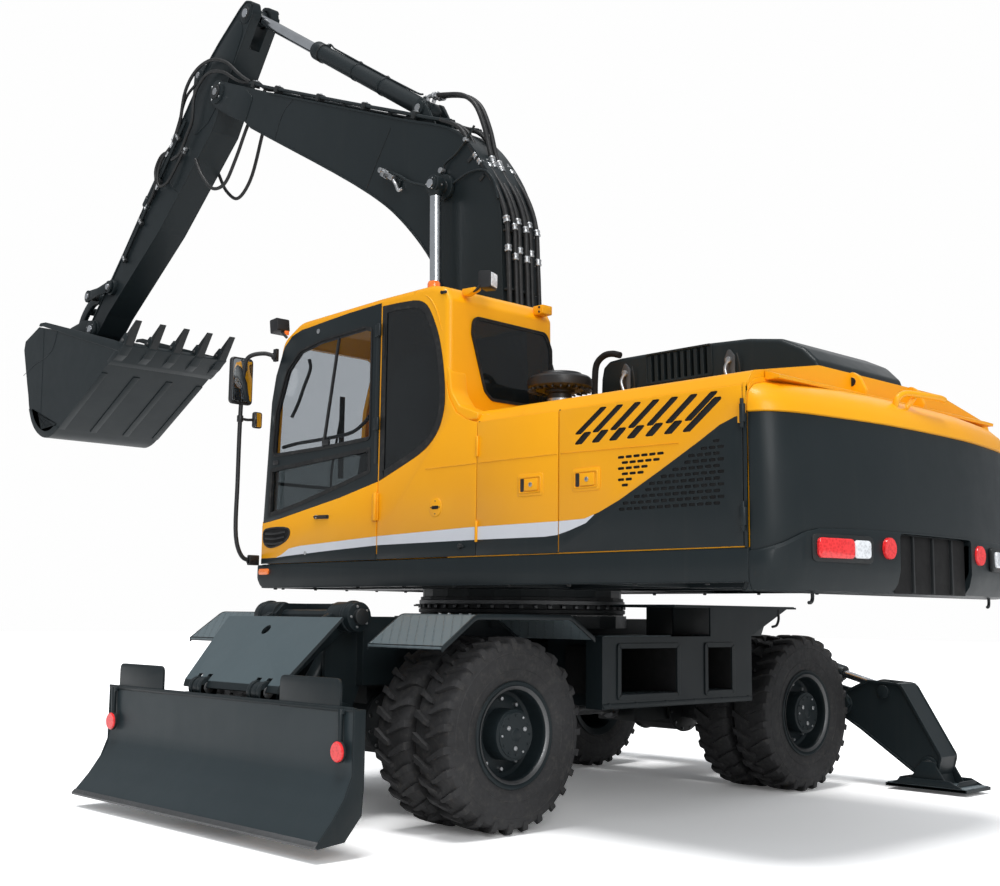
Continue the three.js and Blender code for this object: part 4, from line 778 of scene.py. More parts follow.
# ---------------------------------------------------------------- hydraulic cylinders
def cylinder(name, basis, base, pin, y, bore, rod, eye, width, barrel, plane="y", ports=1, pin_end=True):
    """A barrel and a rod, each its own piece, both along +X of the cylinder's own frame."""
    dx, dz = pin[0] - base[0], pin[1] - base[1]
    length = math.hypot(dx, dz)
    if plane == "y":
        at = Matrix.Translation((base[0], y, base[1]))
    else:
        at = turned((y, base[0], base[1]), math.pi / 2, "Z")
    at = at @ Matrix.Rotation(-math.atan2(dz, dx), 4, "Y")
    b = Piece(basis, at)
    half = width / 2
    b.rod("y", eye, (0, 0), -half, half, "dark", 32, 4)
    b.rod("y", eye * 0.74, (0, 0), -half - 1.5, half + 1.5, "deep", 28, 1)
    start = eye * 0.55
    profile = [
        (0, start), (bore * 0.8, start), (bore * 0.98, eye + 6), (bore * 1.03, eye + 14),
        (bore * 1.03, eye + 44), (bore, eye + 48)
    ]
    gland = barrel - bore * 1.6
    profile += [
        (bore, gland), (bore * 1.1, gland + 5), (bore * 1.12, gland + 9), (bore * 1.12, barrel - 8),
        (bore * 1.07, barrel), (rod + 6, barrel), (rod + 1, barrel - 3)
    ]
    profile += [(rod + 1, barrel - 30), (0, barrel - 30)]
    b.lathe(profile, "x", mat="dark", n=40)
    b.lathe(
        [
            (bore * 1.02, gland - 6), (bore * 1.14, gland - 2), (bore * 1.14, gland + 3),
            (bore * 1.02, gland + 7)
        ],
        "x", mat="deep", n=40
    )
    b.lathe(
        [
            (rod + 0.6, barrel - 12), (rod + 9, barrel - 12), (rod + 9, barrel + 3), (rod + 4, barrel + 6),
            (rod + 0.6, barrel + 5)
        ],
        "x", mat="black", n=32
    )
    for k in range(8):
        t = 2 * math.pi * k / 8
        b.bolt(
            "x", (bore * 0.9 * math.cos(t), bore * 0.9 * math.sin(t)), barrel - 2, bore * 0.09, 7, 1, "deep"
        )
    if ports:
        top = bore * 0.98
        for at_x in (eye + 40, gland - 26):
            b.box(at_x - 17, at_x + 17, -17, 17, top - 8, top + 17, "dark", 3)
            b.rod("z", 12, (at_x, 0), top + 16, top + 27, "zinc", 14)
        b.tube(
            [
                (gland - 26, 0, top + 22), (gland - 60, 0, top + 26), (gland - 110, 0, top + 13),
                (gland - 170, 0, top + 11), (eye + 190, 0, top + 11), (eye + 120, 0, top + 16),
                (eye + 96, 0, top + 24)
            ],
            8, "dark", 8, 3
        )
        for at_x in (barrel * 0.38, barrel * 0.62):
            b.lathe(
                [
                    (bore * 0.99, at_x - 12), (bore + 4, at_x - 12), (bore + 4, at_x + 12),
                    (bore * 0.99, at_x + 12)
                ],
                "x", mat="dark", n=40
            )
            b.box(at_x - 12, at_x + 12, -14, 14, top - 3, top + 20, "deep", 2)
            b.bolt("z", (at_x, 0), top + 20, 7, 5, 1, "zinc")
    b.done(f"{name}_tube", f"{name}_barrel", f"{name}_barrel")
    r = Piece(basis, at)
    r.lathe(
        [
            (0, barrel - bore * 1.4), (rod, barrel - bore * 1.4), (rod, length - eye * 0.9),
            (0, length - eye * 0.9)
        ],
        "x", mat="chrome", n=40
    )
    r.lathe(
        [
            (0, length - eye * 1.3), (rod * 0.98, length - eye * 1.3), (rod * 1.22, length - eye * 1.05),
            (rod * 1.25, length - eye * 0.5), (0, length - eye * 0.4)
        ],
        "x", mat="dark", n=36
    )
    r.rod("y", eye, (length, 0), -half, half, "dark", 32, 4)
    r.rod("y", eye * 0.74, (length, 0), -half - 1.5, half + 1.5, "deep", 28, 1)
    r.rod("z", 7, (length - eye * 0.2, 0), eye * 0.9, eye + 6, "zinc", 10)
    if pin_end == "out":
        s = 1 if y > 0 else -1
        r.rod("y", 56, (length, 0), *span(s, 40, 52), "dark", 32, 4)
        r.rod("y", 33, (length, 0), *span(s, 50, 61), "chrome", 28, 3)
        for k in range(3):
            t = 2.1 * k + 0.6
            r.bolt("y", (length + 44 * math.cos(t), 44 * math.sin(t)), s * 52, 6, 5, s, "zinc")
    r.done(f"{name}_ram", f"{name}_rod", f"{name}_rod", slot="rod_chrome")


# the pins of boom, arm and bucket, in x and z of the upper structure
BOOM_CYLINDER_BASE, BOOM_CYLINDER_PIN = (590, 1560), (664, 4290)
ARM_CYLINDER_BASE, ARM_CYLINDER_PIN = (1062, 5037), (3533, 6632)
ARM_PIVOT, BUCKET_PIVOT = (3940, 5985), (6250, 4070)
ARM_LENGTH = math.hypot(BUCKET_PIVOT[0] - ARM_PIVOT[0], BUCKET_PIVOT[1] - ARM_PIVOT[1])
AX, AZ = ((b - a) / ARM_LENGTH for a, b in zip(ARM_PIVOT, BUCKET_PIVOT))


def arm_point(s, n):
    """The point s along the arm from its pivot and n above the line to the bucket's pin."""
    return (ARM_PIVOT[0] + s * AX - n * AZ, ARM_PIVOT[1] + s * AZ + n * AX)


for s, side_name, _ in SIDES:
    cylinder(
        f"{side_name}_boom_cylinder", UPPER, BOOM_CYLINDER_BASE, BOOM_CYLINDER_PIN, s * 272, 60, 42, 70, 80,
        1760, ports=0, pin_end="out"
    )
    cylinder(
        f"{side_name}_blade_cylinder", CARRIER, (1700, 985), (2120, 350), s * 150, 48, 28, 48, 104, 480,
        ports=0
    )
    cylinder(
        f"{side_name}_outrigger_cylinder", CARRIER, (s * 600, 900), (s * 1453, 671), -2280, 50, 28, 45, 44,
        500, plane="x", ports=0
    )
cylinder("arm_cylinder", UPPER, ARM_CYLINDER_BASE, ARM_CYLINDER_PIN, 0, 72, 48, 72, 96, 1812)
cylinder("bucket_cylinder", UPPER, arm_point(150, 545), (6290, 4425), 0, 60, 40, 62, 84, 1500)

# ---------------------------------------------------------------- boom
BOOM_LOW = [(300, 2300), (450, 2900), (712, 3566), (830, 3778), (1193, 4162), (1575, 4448), (3351, 5478)]
BOOM_HIGH = [(3080, 5737), (1220, 4984), (573, 4714), (300, 4440), (95, 4069), (50, 3480), (-40, 2500)]
boom_outline = (
    fillet([(-95, 1855), (-70, 1770), (40, 1753), (150, 1835)], 40, 3)
    + [tuple(p) for p in smooth_line(BOOM_LOW, 6)]
    + fillet([(3607, 5623), (4000, 5862), (4060, 5945), (4050, 6050), (3990, 6105), (3900, 6098)], 40, 3)
    + [tuple(p) for p in smooth_line(BOOM_HIGH, 6)]
)
boom = Piece(UPPER).prism(boom_outline, -163, 163, bevel=0)
mouth = Piece(UPPER).rod("y", 470, ARM_PIVOT, -149, 149, n=64, bevel=0)
mouth_end = Piece(UPPER).prism(
    [(3500, 5830), (3600, 5500), (4300, 5500), (4300, 6300), (3520, 6300)], -148.5, 148.5, bevel=0
)
boom.done("boom_box", "boom", "boom", cut=[mouth, mouth_end], angle=24)

trim = Piece(UPPER)
edge_in = inset(boom_outline, 15)
for s in (1, -1):
    keep = [i for i, p in enumerate(boom_outline) if p[0] < 3470]
    for run in (
        [i for i in keep if i < len(boom_outline) / 2],
        [i for i in keep if i >= len(boom_outline) / 2],
    ):
        strip = [boom_outline[i] for i in run] + [edge_in[i] for i in reversed(run)]
        trim.prism(strip, s * 160, s * 170, bevel=0)
    nose = fillet(
        [
            (3440, 5560), (3607, 5634), (3990, 5868), (4050, 5950), (4040, 6040), (3985, 6094),
            (3905, 6090), (3480, 5905), (3330, 5760)
        ],
        45, 5
    )
    trim.prism(nose, s * 160, s * 169, bevel=3)
    trim.rod("y", 112, ARM_PIVOT, s * 150, s * 182, n=40, bevel=5)
    trim.rod("y", 66, ARM_PIVOT, s * 180, s * 196, "deep", n=32, bevel=3)
    trim.rod("y", 34, ARM_PIVOT, s * 194, s * 201, "zinc", n=28)
    for k in range(4):
        t = math.pi * (0.25 + k / 2)
        trim.bolt("y", (ARM_PIVOT[0] + 88 * math.cos(t), ARM_PIVOT[1] + 88 * math.sin(t)), s * 182, 10, 8, s)
    trim.rod("y", 98, BOOM_CYLINDER_PIN, s * 165, s * 200, n=40, bevel=5)
    trim.rod("y", 50, BOOM_CYLINDER_PIN, s * 160, s * 232, "deep", n=32)
    trim.prism(
        fillet([(60, 1780), (190, 1900), (330, 2380), (250, 2440), (-60, 2420), (-120, 1900)], 60), s * 160,
        s * 170, bevel=3
    )
    trim.rod("y", 128, (30, 1875), s * 150, s * 176, n=40, bevel=5)
    seam = smooth_line([(1341, s * 164, 4938), (1500, s * 164, 4710), (1640, s * 164, 4500)], 4)
    trim.tube([tuple(p) for p in seam], 2.2, "deep", 6, 1)
    trim.tube([(2700, s * 164, 5560), (2840, s * 164, 5480), (2960, s * 164, 5270)], 2.2, "deep", 6, 4)
    # arm cylinder ears, on a shaped foot
    trim.prism(
        fillet(
            [
                (852, 4820), (985, 5045), (1022, 5105), (1062, 5122), (1102, 5105), (1140, 5045),
                (1290, 5000), (1290, 4960)
            ],
            [0, 30, 30, 30, 30, 60, 20, 0]
        ),
        s * 84, s * 112, bevel=4
    )
    trim.rod("y", 62, ARM_CYLINDER_BASE, s * 110, s * 128, n=32, bevel=4)
    trim.rod("y", 30, ARM_CYLINDER_BASE, s * 126, s * 134, "zinc", n=24)
trim.rod("y", 42, ARM_CYLINDER_BASE, -100, 100, "steel")
trim.rod("y", 50, ARM_PIVOT, -152, 152, "steel")
# a cluster of grease points and a check valve with its pipes on the left
left = Piece(UPPER)
left.prism(
    fillet([(1400, 4612), (1180, 4470), (1205, 4420), (1425, 4560)], 12), 163, 178, mat="dark", bevel=2
)
left.box(-46, 46, 176, 214, -30, 30, "zinc", 6, local=turned((1352, 0, 4560), -0.57, "Y"))
left.box(-30, 44, 176, 226, -20, 20, "zinc", 5, local=turned((1262, 0, 4508), -0.57, "Y"))
left.rod("y", 21, (1382, 4590), 176, 236, "zinc", 20, 3)
left.rod("y", 17, (1312, 4530), 176, 240, "steel", 20, 3)
left.tube([(1240, 205, 4480), (1196, 214, 4430), (1172, 206, 4384), (1140, 196, 4392)], 13, "zinc", 10)
left.tube(
    [(1300, 200, 4560), (1180, 196, 4505), (1060, 188, 4430), (930, 182, 4378), (800, 190, 4330)], 9,
    "dark", 8
)
left.tube(
    [(690, 190, 4400), (672, 184, 4468), (560, 178, 4520), (430, 176, 4610), (360, 172, 4690)], 9, "dark", 8
)
left.tube(
    [(560, 190, 4300), (400, 182, 4345), (250, 178, 4330), (150, 180, 4240), (96, 176, 4080)], 9, "dark", 8
)
left.rod("y", 22, (688, 4424), 170, 214, "zinc", 20, 3)
left.rod("y", 17, (436, 4600), 168, 202, "zinc", 20, 3)
left.done("boom_valves", "boom")

# steel pipes on the boom's top with their clamps
for y in (150, 122, -122, -150):
    path = [
        (640, y, 4810), (884, y, 4898), (1246, y, 5046), (1736, y, 5240), (2400, y, 5508), (2770, y, 5658),
        (3180, y, 5824), (3420, y, 5932)
    ]
    trim.tube(path, 14, "dark", 10, 3)
for x, z in ((1060, 4974), (1700, 5226), (2330, 5480), (2960, 5736), (3330, 5894)):
    tilt = turned((x, 0, z), -0.385, "Y")
    for s in (1, -1):
        trim.box(-22, 22, s * 100, s * 172, -34, 22, "deep", 3, local=tilt)
        trim.box(-13, 13, s * 104, s * 168, 20, 27, "zinc", 2, local=tilt)
        trim.bolt("z", (0, s * 136), 26, 9, 8, 1, "zinc", local=tilt)
trim.done("boom_fittings", "boom", angle=28)


# the main hoses: from the deck up along the boom's back, then over its shoulder
lanes = [(152, 17), (96, 15), (42, 18), (-14, 18), (-72, 15), (-128, 17)]
turns = []
for k, (y, r) in enumerate(lanes):
    d = 12 if k % 2 else 0
    start = [(-430, y * 0.7, 1780), (-360, y * 0.8, 2150), (-190 - d, y, 2700), (-30 - d, y, 3180)]
    rise = [(6 - d, y, 3600), (32 - d, y, 3920), (112 - d, y, 4130), (262 - d, y, 4350)]
    if k in (2, 3):
        end = [
            (322, y, 4500), (392, y, 4720), (500, y, 4930), (640, y * 0.9, 5040), (850, y * 0.6, 5110),
            (1000, 30 if k == 2 else -30, 5142)
        ]
    else:
        end = [(398, y, 4520), (505, y, 4690), (600, y, 4770), (760, y * 0.98, 4850)]
    made = Piece(UPPER).tube(start + rise + end, r, "hose", 12, 6).done(
        f"main_hose_{k + 1}", "boom", slot="black_plastic"
    )
    made.parent = None
    del made["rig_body"]
    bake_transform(made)
    turns.append(rise + end)

clips = Piece(UPPER)


def sleeve(at, towards, r, long=46, mat="zinc"):
    """A hose clamp round its hose."""
    d = (Vector(towards) - Vector(at)).normalized()
    turn = d.to_track_quat("Z", "Y").to_matrix().to_4x4()
    h = long / 2
    outline = [
        (r - 1, -h), (r + 7, -h), (r + 9, -h + 4), (r + 9, -h * 0.4), (r + 6, -h * 0.3), (r + 6, h * 0.3),
        (r + 9, h * 0.4), (r + 9, h - 4), (r + 7, h), (r - 1, h)
    ]
    clips.lathe(outline, "z", mat=mat, n=18, local=Matrix.Translation(at) @ turn)


for k, (y, r) in enumerate(lanes):
    path = smooth_line(turns[k], 6)
    for i in ([1, 5] if k % 2 else [2, 6]) + ([19, 21] if k % 2 else [20, 22]):
        sleeve(path[i], path[i + 1], r)
for z, x in ((3420, 20), (3850, 60)):
    clips.box(x - 24, x + 40, -140, 160, z - 8, z + 8, "deep", 3)
for x, z in ((250, 4300), (380, 4470)):
    tilt = turned((x, 0, z), -0.95, "Y")
    clips.box(-14, 14, -150, 172, -60, -6, "deep", 3, local=tilt)
for y in (30, -30):
    sleeve((960, y, 5134), (1000, y, 5142), 18, 60)
    clips.tube([(990, y, 5140), (1040, y, 5146), (1060, y, 5120)], 16, "zinc", 12)
clips.done("hose_clamps", "boom")

# ---------------------------------------------------------------- arm
arm_side = [
    (-860, 240), (-800, 345), (-690, 375), (-290, 425), (-30, 440), (300, 400), (2400, 150), (2900, 118),
    (3080, 95), (3118, 0), (3080, -90), (2950, -112), (2700, -105), (1500, -210), (300, -195), (60, -118),
    (-60, -112), (-140, -40), (-700, 115), (-800, 130)
]
arm_side = fillet([arm_point(*p) for p in arm_side], 70, 5)
arm = Piece(UPPER).prism(arm_side, -137, 137, bevel=0)
slot_cut = Piece(UPPER).rod("y", 300, ARM_CYLINDER_PIN, -56, 56, n=48, bevel=0)
arm.done("arm_box", "arm", "arm", cut=[slot_cut], angle=24)
fit = Piece(UPPER)
arm_in = inset(arm_side, 14)
half = len(arm_side) // 2
for s in (1, -1):
    for run in (range(0, half + 1), range(half, len(arm_side))):
        strip = [arm_side[i] for i in run] + [arm_in[i] for i in reversed(run)]
        fit.prism(strip, s * 134, s * 145, bevel=0)
    fit.rod("y", 118, ARM_PIVOT, s * 130, s * 146, n=40, bevel=4)
    fit.rod("y", 92, ARM_CYLINDER_PIN, s * 56, s * 146, n=36, bevel=4)
    fit.rod("y", 60, ARM_CYLINDER_PIN, s * 140, s * 156, "deep", n=32, bevel=3)
    fit.rod("y", 42, ARM_CYLINDER_PIN, s * 150, s * 163, "chrome", n=28, bevel=3)
    fit.rod("y", 104, BUCKET_PIVOT, s * 130, s * 147, n=40, bevel=4)
    fit.rod("y", 80, arm_point(2450, 40), s * 130, s * 178, n=36, bevel=4)
    patch = [
        arm_point(*p)
        for p in [
            (-600, 150), (-640, 320), (-250, 380), (180, 330), (520, 150), (520, 30), (300, -60), (-60, -60)
        ]
    ]
    fit.prism(fillet(patch, 90, 5), s * 134, s * 143, bevel=3)
    bracket = [
        arm_point(*p) for p in [(-150, 400), (60, 572), (100, 622), (200, 622), (250, 572), (470, 350)]
    ]
    fit.prism(fillet(bracket, [0, 20, 40, 40, 20, 0], 5), s * 70, s * 98, bevel=4)
    fit.rod("y", 66, arm_point(150, 545), s * 96, s * 112, n=32, bevel=3)
    fit.rod("y", 30, arm_point(150, 545), s * 110, s * 118, "zinc", n=24)
    line = [arm_point(1020, 250), arm_point(1080, 40), arm_point(1060, -170)]
    fit.tube([(a, s * 138, b) for a, b in line], 2.2, "deep", 6, 4)
fit.rod("y", 38, arm_point(150, 545), -100, 100, "steel")
fit.rod("y", 40, ARM_CYLINDER_PIN, -60, 60, "steel")
for n_at, y in ((300, 140), (262, 150)):
    pipe = [
        arm_point(520, n_at + 10), arm_point(900, n_at - 30), arm_point(1500, n_at - 100),
        arm_point(2150, n_at - 176)
    ]
    fit.tube([(a, y + 8, b) for a, b in pipe], 12, "dark", 10, 3)
for s_at in (700, 1180, 1660, 2100):
    a, b = arm_point(s_at, 276 - (s_at - 500) * 0.119)
    tilt = turned((a, 0, b), 0.692, "Y")
    fit.box(-18, 18, 136, 176, -46, 46, "deep", 3, local=tilt)
    fit.box(-11, 11, 174, 181, -40, 40, "zinc", 2, local=tilt)
    fit.bolt("y", (0, 0), 180, 8, 7, 1, "zinc", local=tilt)
fit.done("arm_fittings", "arm", angle=28)


def along_arm(points):
    """The points of a hose, given along the arm, above it and across it."""
    return [(arm_point(s, n)[0], y, arm_point(s, n)[1]) for s, n, y in points]


# hoses that cross the arm's pivot
crossing = [
    [
        (3400, 150, 5930), (3560, 158, 6040), (3800, 170, 6235), (4060, 178, 6335), (4330, 176, 6310),
        (4520, 170, 6170)
    ] + along_arm([(620, 330, 162), (820, 300, 152)]),
    [
        (3400, 122, 5930), (3600, 150, 6000), (3860, 178, 6160), (4100, 192, 6200), (4300, 196, 6060),
        (4330, 196, 5800)
    ] + along_arm([(560, 80, 190), (760, 60, 180), (900, 150, 168)]),
    [
        (3400, -122, 5930), (3600, -150, 6010), (3860, -176, 6180), (4120, -180, 6240), (4340, -176, 6160)
    ] + along_arm([(560, 300, -160), (760, 290, -150)]),
    [
        (3400, -150, 5930), (3560, -170, 5900), (3700, -186, 5600), (3900, -196, 5200), (4100, -196, 5080),
        (4300, -190, 5200)
    ] + along_arm([(760, 0, -176), (860, 120, -156)]),
    [
        (3300, 60, 5850), (3480, 110, 5560), (3600, 150, 5260), (3760, 160, 5060), (3960, 158, 5060),
        (4180, 150, 5240), (4330, 140, 5440)
    ]
]
for k, path in enumerate(crossing):
    p = Piece(UPPER).tube(path, 16, "hose", 12, 6)
    made = p.done(f"arm_hose_{k + 1}", "arm", slot="black_plastic")
    made.parent = None
    del made["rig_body"]
    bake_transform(made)

loops = Piece(UPPER)
loops.tube(
    along_arm(
        [
            (820, 300, 152), (1000, 300, 176), (1120, 220, 196), (1180, 90, 200), (1080, 0, 190),
            (900, 10, 176), (700, 40, 168)
        ]
    ),
    14, "hose", 12, 5
)
loops.tube(
    along_arm(
        [
            (900, 330, 110), (1020, 400, 140), (1150, 330, 170), (1220, 200, 180), (1330, 160, 168),
            (1500, 176, 156)
        ]
    ),
    14, "hose", 12, 5
)
loops.tube(along_arm([(180, 470, 120), (400, 520, 126), (620, 420, 130), (800, 330, 140)]), 13, "hose", 12, 5)
couplings = [
    (820, 300, 152), (930, 300, 150), (1500, 176, 152), (700, 40, 160), (760, 330, 150), (1240, 170, 160)
]
for s_at, n_at, y in couplings:
    a, b = arm_point(s_at, n_at)
    tilt = turned((a, y, b), 0.692, "Y")
    loops.lathe(
        [(12, -30), (21, -30), (23, -10), (19, -8), (19, 8), (23, 10), (23, 30), (12, 30)], "x", mat="zinc",
        n=6, local=tilt
    )
loops.done("arm_loops", "arm", slot="black_plastic")

# ---------------------------------------------------------------- bucket linkage
top, foot, bend = (6290, 4425), (6690, 4080), (6540, 4330)
rocker_at = arm_point(2450, 40)


def strap(piece, points, half_width, a, b, mat="dark", bevel=4):
    """A plate of round ends along a bent line."""
    line = [Vector(p) for p in points]
    left_side, right_side = [], []
    for i, p in enumerate(line):
        d = (line[min(i + 1, len(line) - 1)] - line[max(i - 1, 0)]).normalized()
        w = half_width[i] if isinstance(half_width, (list, tuple)) else half_width
        left_side.append(tuple(p + Vector((-d.y, d.x)) * w))
        right_side.append(tuple(p - Vector((-d.y, d.x)) * w))
    piece.prism(left_side + list(reversed(right_side)), a, b, mat=mat, bevel=bevel)


rocker = Piece(UPPER)
for s in (1, -1):
    strap(
        rocker, [rocker_at, tuple((Vector(rocker_at) + Vector(top)) / 2), top], [56, 40, 56], s * 186,
        s * 208
    )
    rocker.rod("y", 64, rocker_at, s * 186, s * 208, n=36, bevel=4)
    rocker.rod("y", 64, top, s * 184, s * 210, n=36, bevel=4)
    rocker.rod("y", 36, top, s * 102, s * 216, "steel", n=28)
    rocker.rod("y", 30, top, s * 214, s * 222, "chrome", n=28, bevel=3)
    rocker.rod("y", 30, rocker_at, s * 206, s * 222, "chrome", n=28, bevel=3)
rocker.rod("y", 38, rocker_at, -210, 210, "steel")
rocker.done("rocker_pair", "rocker", "rocker_link")
push = Piece(UPPER)
curve = [tuple(p) for p in smooth_line([top, (6420, 4400), bend, (6640, 4220), foot], 4)]
for s in (1, -1):
    strap(push, curve, 47, s * 50, s * 95)
    push.rod("y", 64, top, s * 50, s * 96, n=36, bevel=4)
    push.rod("y", 60, foot, s * 50, s * 96, n=36, bevel=4)
push.rod("y", 40, bend, -55, 55, n=28)
push.done("push_link_pair", "push_link", "push_link")

# ---------------------------------------------------------------- bucket
bucket_outline = (
    [(4800, 3650), (5500, 3275)]
    + [
        tuple(p)
        for p in smooth_line(
            [
                (6050, 2980), (6190, 2921), (6306, 2902), (6423, 2919), (6560, 2985), (6676, 3090),
                (6765, 3240), (6814, 3403)
            ],
            5
        )
    ]
    + fillet([(6850, 3500), (6977, 3896), (6955, 3985), (6640, 4095)], [0, 20, 20, 0], 4)
)
bucket = Piece(UPPER).prism(bucket_outline, -552, 552, bevel=0)
deep_in = inset(bucket_outline, 26)
first, last = Vector(deep_in[0]), Vector(deep_in[-1])
away = Vector((-0.24, 0.97)) * 260
opened = [tuple(first + away)] + deep_in + [tuple(last + away)]
room = Piece(UPPER).prism(opened, -528, 528, bevel=0)
link_room = Piece(UPPER).box(6500, 6875, -150, 150, 3985, 4300, bevel=0)
bucket.done("bucket_bowl", "bucket", "bucket", cut=[room, link_room], angle=24)
extra = Piece(UPPER)
for s in (1, -1):
    side_cutter = fillet(
        [
            (4790, 3652), (4860, 3590), (5020, 3640), (6560, 4092), (6640, 4100), (6600, 4130),
            (6480, 4120), (4960, 3712)
        ],
        10, 3
    )
    extra.prism(side_cutter, s * 540, s * 560, bevel=3)
    lower_wear = [
        tuple(p)
        for p in smooth_line(
            [
                (6050, 2984), (6190, 2925), (6306, 2906), (6423, 2923), (6560, 2989), (6676, 3094),
                (6765, 3244)
            ],
            4
        )
    ]
    wear_in = inset(lower_wear + [(6300, 3300)], 62)[: len(lower_wear)]
    extra.prism(lower_wear + list(reversed(wear_in)), s * 550, s * 559, bevel=2)
    extra.tube(
        [(6955, s * 553, 3620), (6700, s * 553, 3700), (6300, s * 553, 3800), (6200, s * 553, 3990)], 3,
        "dark", 6, 3
    )
    extra.tube([(6520, s * 553, 4060), (6500, s * 553, 3600), (6480, s * 553, 2960)], 2.4, "dark", 6, 3)
    ear = fillet(
        [
            (6180, 4000), (6330, 3830), (6600, 3660), (6860, 3560), (6940, 3890), (6900, 3995),
            (6770, 4140), (6680, 4158), (6400, 4190), (6260, 4168)
        ],
        40, 5
    )
    extra.prism(ear, s * 151, s * 179, bevel=4)
    extra.rod("y", 96, BUCKET_PIVOT, s * 151, s * 184, n=40, bevel=5)
    extra.rod("y", 68, foot, s * 151, s * 184, n=36, bevel=5)
    extra.rod("y", 46, BUCKET_PIVOT, s * 180, s * 192, "chrome", n=32, bevel=3)
    extra.rod("y", 33, foot, s * 180, s * 192, "chrome", n=28, bevel=3)
    for k in range(3):
        t = 2.1 * k + 0.4
        extra.bolt(
            "y", (BUCKET_PIVOT[0] + 70 * math.cos(t), BUCKET_PIVOT[1] + 70 * math.sin(t)), s * 184, 8, 6, s
        )
extra.rod("y", 45, BUCKET_PIVOT, -180, 180, "steel")
extra.rod("y", 35, foot, -180, 180, "steel")
extra.prism(
    fillet([(4765, 3642), (5000, 3514), (5060, 3490), (5080, 3530), (5020, 3566), (4815, 3678)], 8, 3),
    -558, 558, bevel=3
)
for y0 in (-520, -180, 180, 520):
    strip = [(5200, 3436), (6060, 2975), (6060, 2965), (5200, 3426)]
    extra.prism(strip, y0 - 34, y0 + 34, bevel=2)
for i in (-2, -1, 0, 1, 2):
    y = i * 252.5
    holder = fillet(
        [
            (5050, 3500), (4880, 3560), (4780, 3628), (4716, 3716), (4756, 3760), (4836, 3716),
            (4900, 3668), (5060, 3600), (5110, 3520)
        ],
        16, 3
    )
    extra.prism(holder, y - 46, y + 46, bevel=6)
    extra.rod("y", 15, (4800, 3690), y - 56, y + 56, "steel", 16)
    rings = []
    for t, wide, thick in ((0.0, 40, 34), (0.25, 42, 33), (0.6, 38, 22), (0.9, 36, 9), (1.0, 34, 5)):
        c = Vector((4790, 3668)).lerp(Vector((4596, 3852)), t)
        normal = Vector((0.69, 0.72))
        a, b = c + normal * thick, c - normal * thick
        w = wide - 6
        rings.append(
            [
                (a.x, y - w, a.y), (a.x, y + w, a.y), (c.x, y + wide, c.y), (b.x, y + w, b.y),
                (b.x, y - w, b.y), (c.x, y - wide, c.y)
            ]
        )
    extra.loft(rings, "deep")
extra.box(6380, 6440, -150, 150, 3960, 4020, "dark", 5)
extra.done("bucket_fittings", "bucket", angle=30)

# ---------------------------------------------------------------- the two-colour sides of the house
YELLOW_LOW = [
    (-2762, 2130), (-2699, 2118), (-2610, 2088), (-2489, 2021), (-2238, 1892), (-1973, 1761), (-1836, 1706),
    (-1730, 1676), (-1549, 1671), (-835, 1667), (-9, 1646), (840, 1610), (960, 1596), (1050, 1556),
    (1110, 1538), (1330, 1536)
]
SILVER_LOW = [
    (-1800, 1693), (-1740, 1652), (-1623, 1618), (-1530, 1597), (-1437, 1591), (-837, 1593), (-12, 1590),
    (500, 1570), (960, 1548), (1110, 1538)
]
GLASS_LOW = [
    (-615, 2492), (-609, 2372), (-558, 2257), (-469, 2169), (-360, 2117), (-191, 2056), (3, 1989),
    (412, 1906), (852, 1837), (1084, 1800), (1290, 1774)
]
SHOULDER = 2290


def along(line, x):
    """The height of a line of points at x."""
    for (x0, z0), (x1, z1) in zip(line, line[1:]):
        if x0 <= x <= x1:
            return z0 + (z1 - z0) * (x - x0) / (x1 - x0)
    return line[0][1] if x < line[0][0] else line[-1][1]


def band(x0, x1, low, high):
    """The area between two lines, or heights, from x0 to x1."""
    def line(edge):
        if not isinstance(edge, list):
            return [(x0, edge), (x1, edge)]
        return [(x0, along(edge, x0))] + [p for p in edge if x0 + 2 < p[0] < x1 - 2] + [(x1, along(edge, x1))]

    return line(low) + list(reversed(line(high)))


def side_skin(piece, x0, x1, bottom, top, y0=1251, y1=1255):
    """Painted sheet from x0 to x1: yellow, the silver stripe and the dark foot."""
    piece.prism(band(x0, x1, YELLOW_LOW, top), y0, y1, mat="yellow", bevel=1.2)
    a, b = max(x0, -1796), min(x1, 1106)
    if b > a:
        piece.prism(
            band(a, b, SILVER_LOW, [p for p in YELLOW_LOW if -1840 < p[0] < 1120]), y0, y1 - 0.4,
            mat="silver", bevel=0
        )
    dark_top = sorted(
        [p for p in YELLOW_LOW if p[0] < -1796 or p[0] > 1106] + SILVER_LOW[1:-1]
        + [(-1796, 1691), (1106, 1538)]
    )
    piece.prism(band(x0, x1, bottom, dark_top), y0, y1, mat="dark", bevel=1.2)


def ring(piece, outline, by, a, b, mat="seal", plane="y"):
    """A frame along an outline, reaching inwards by a distance."""
    inner = inset(outline, by)
    n = len(outline)
    place = (lambda p, d: (p[0], d, p[1])) if plane == "y" else (lambda p, d: (d, p[0], p[1]))
    bm = bmesh.new()
    edges = ((outline, a), (outline, b), (inner, b), (inner, a))
    loops = [[bm.verts.new(place(p, d)) for p in line] for line, d in edges]
    for k in range(4):
        p, q = loops[k], loops[(k + 1) % 4]
        for i in range(n):
            j = (i + 1) % n
            bm.faces.new((p[i], p[j], q[j], q[i]))
    return piece.take(bm, mat)


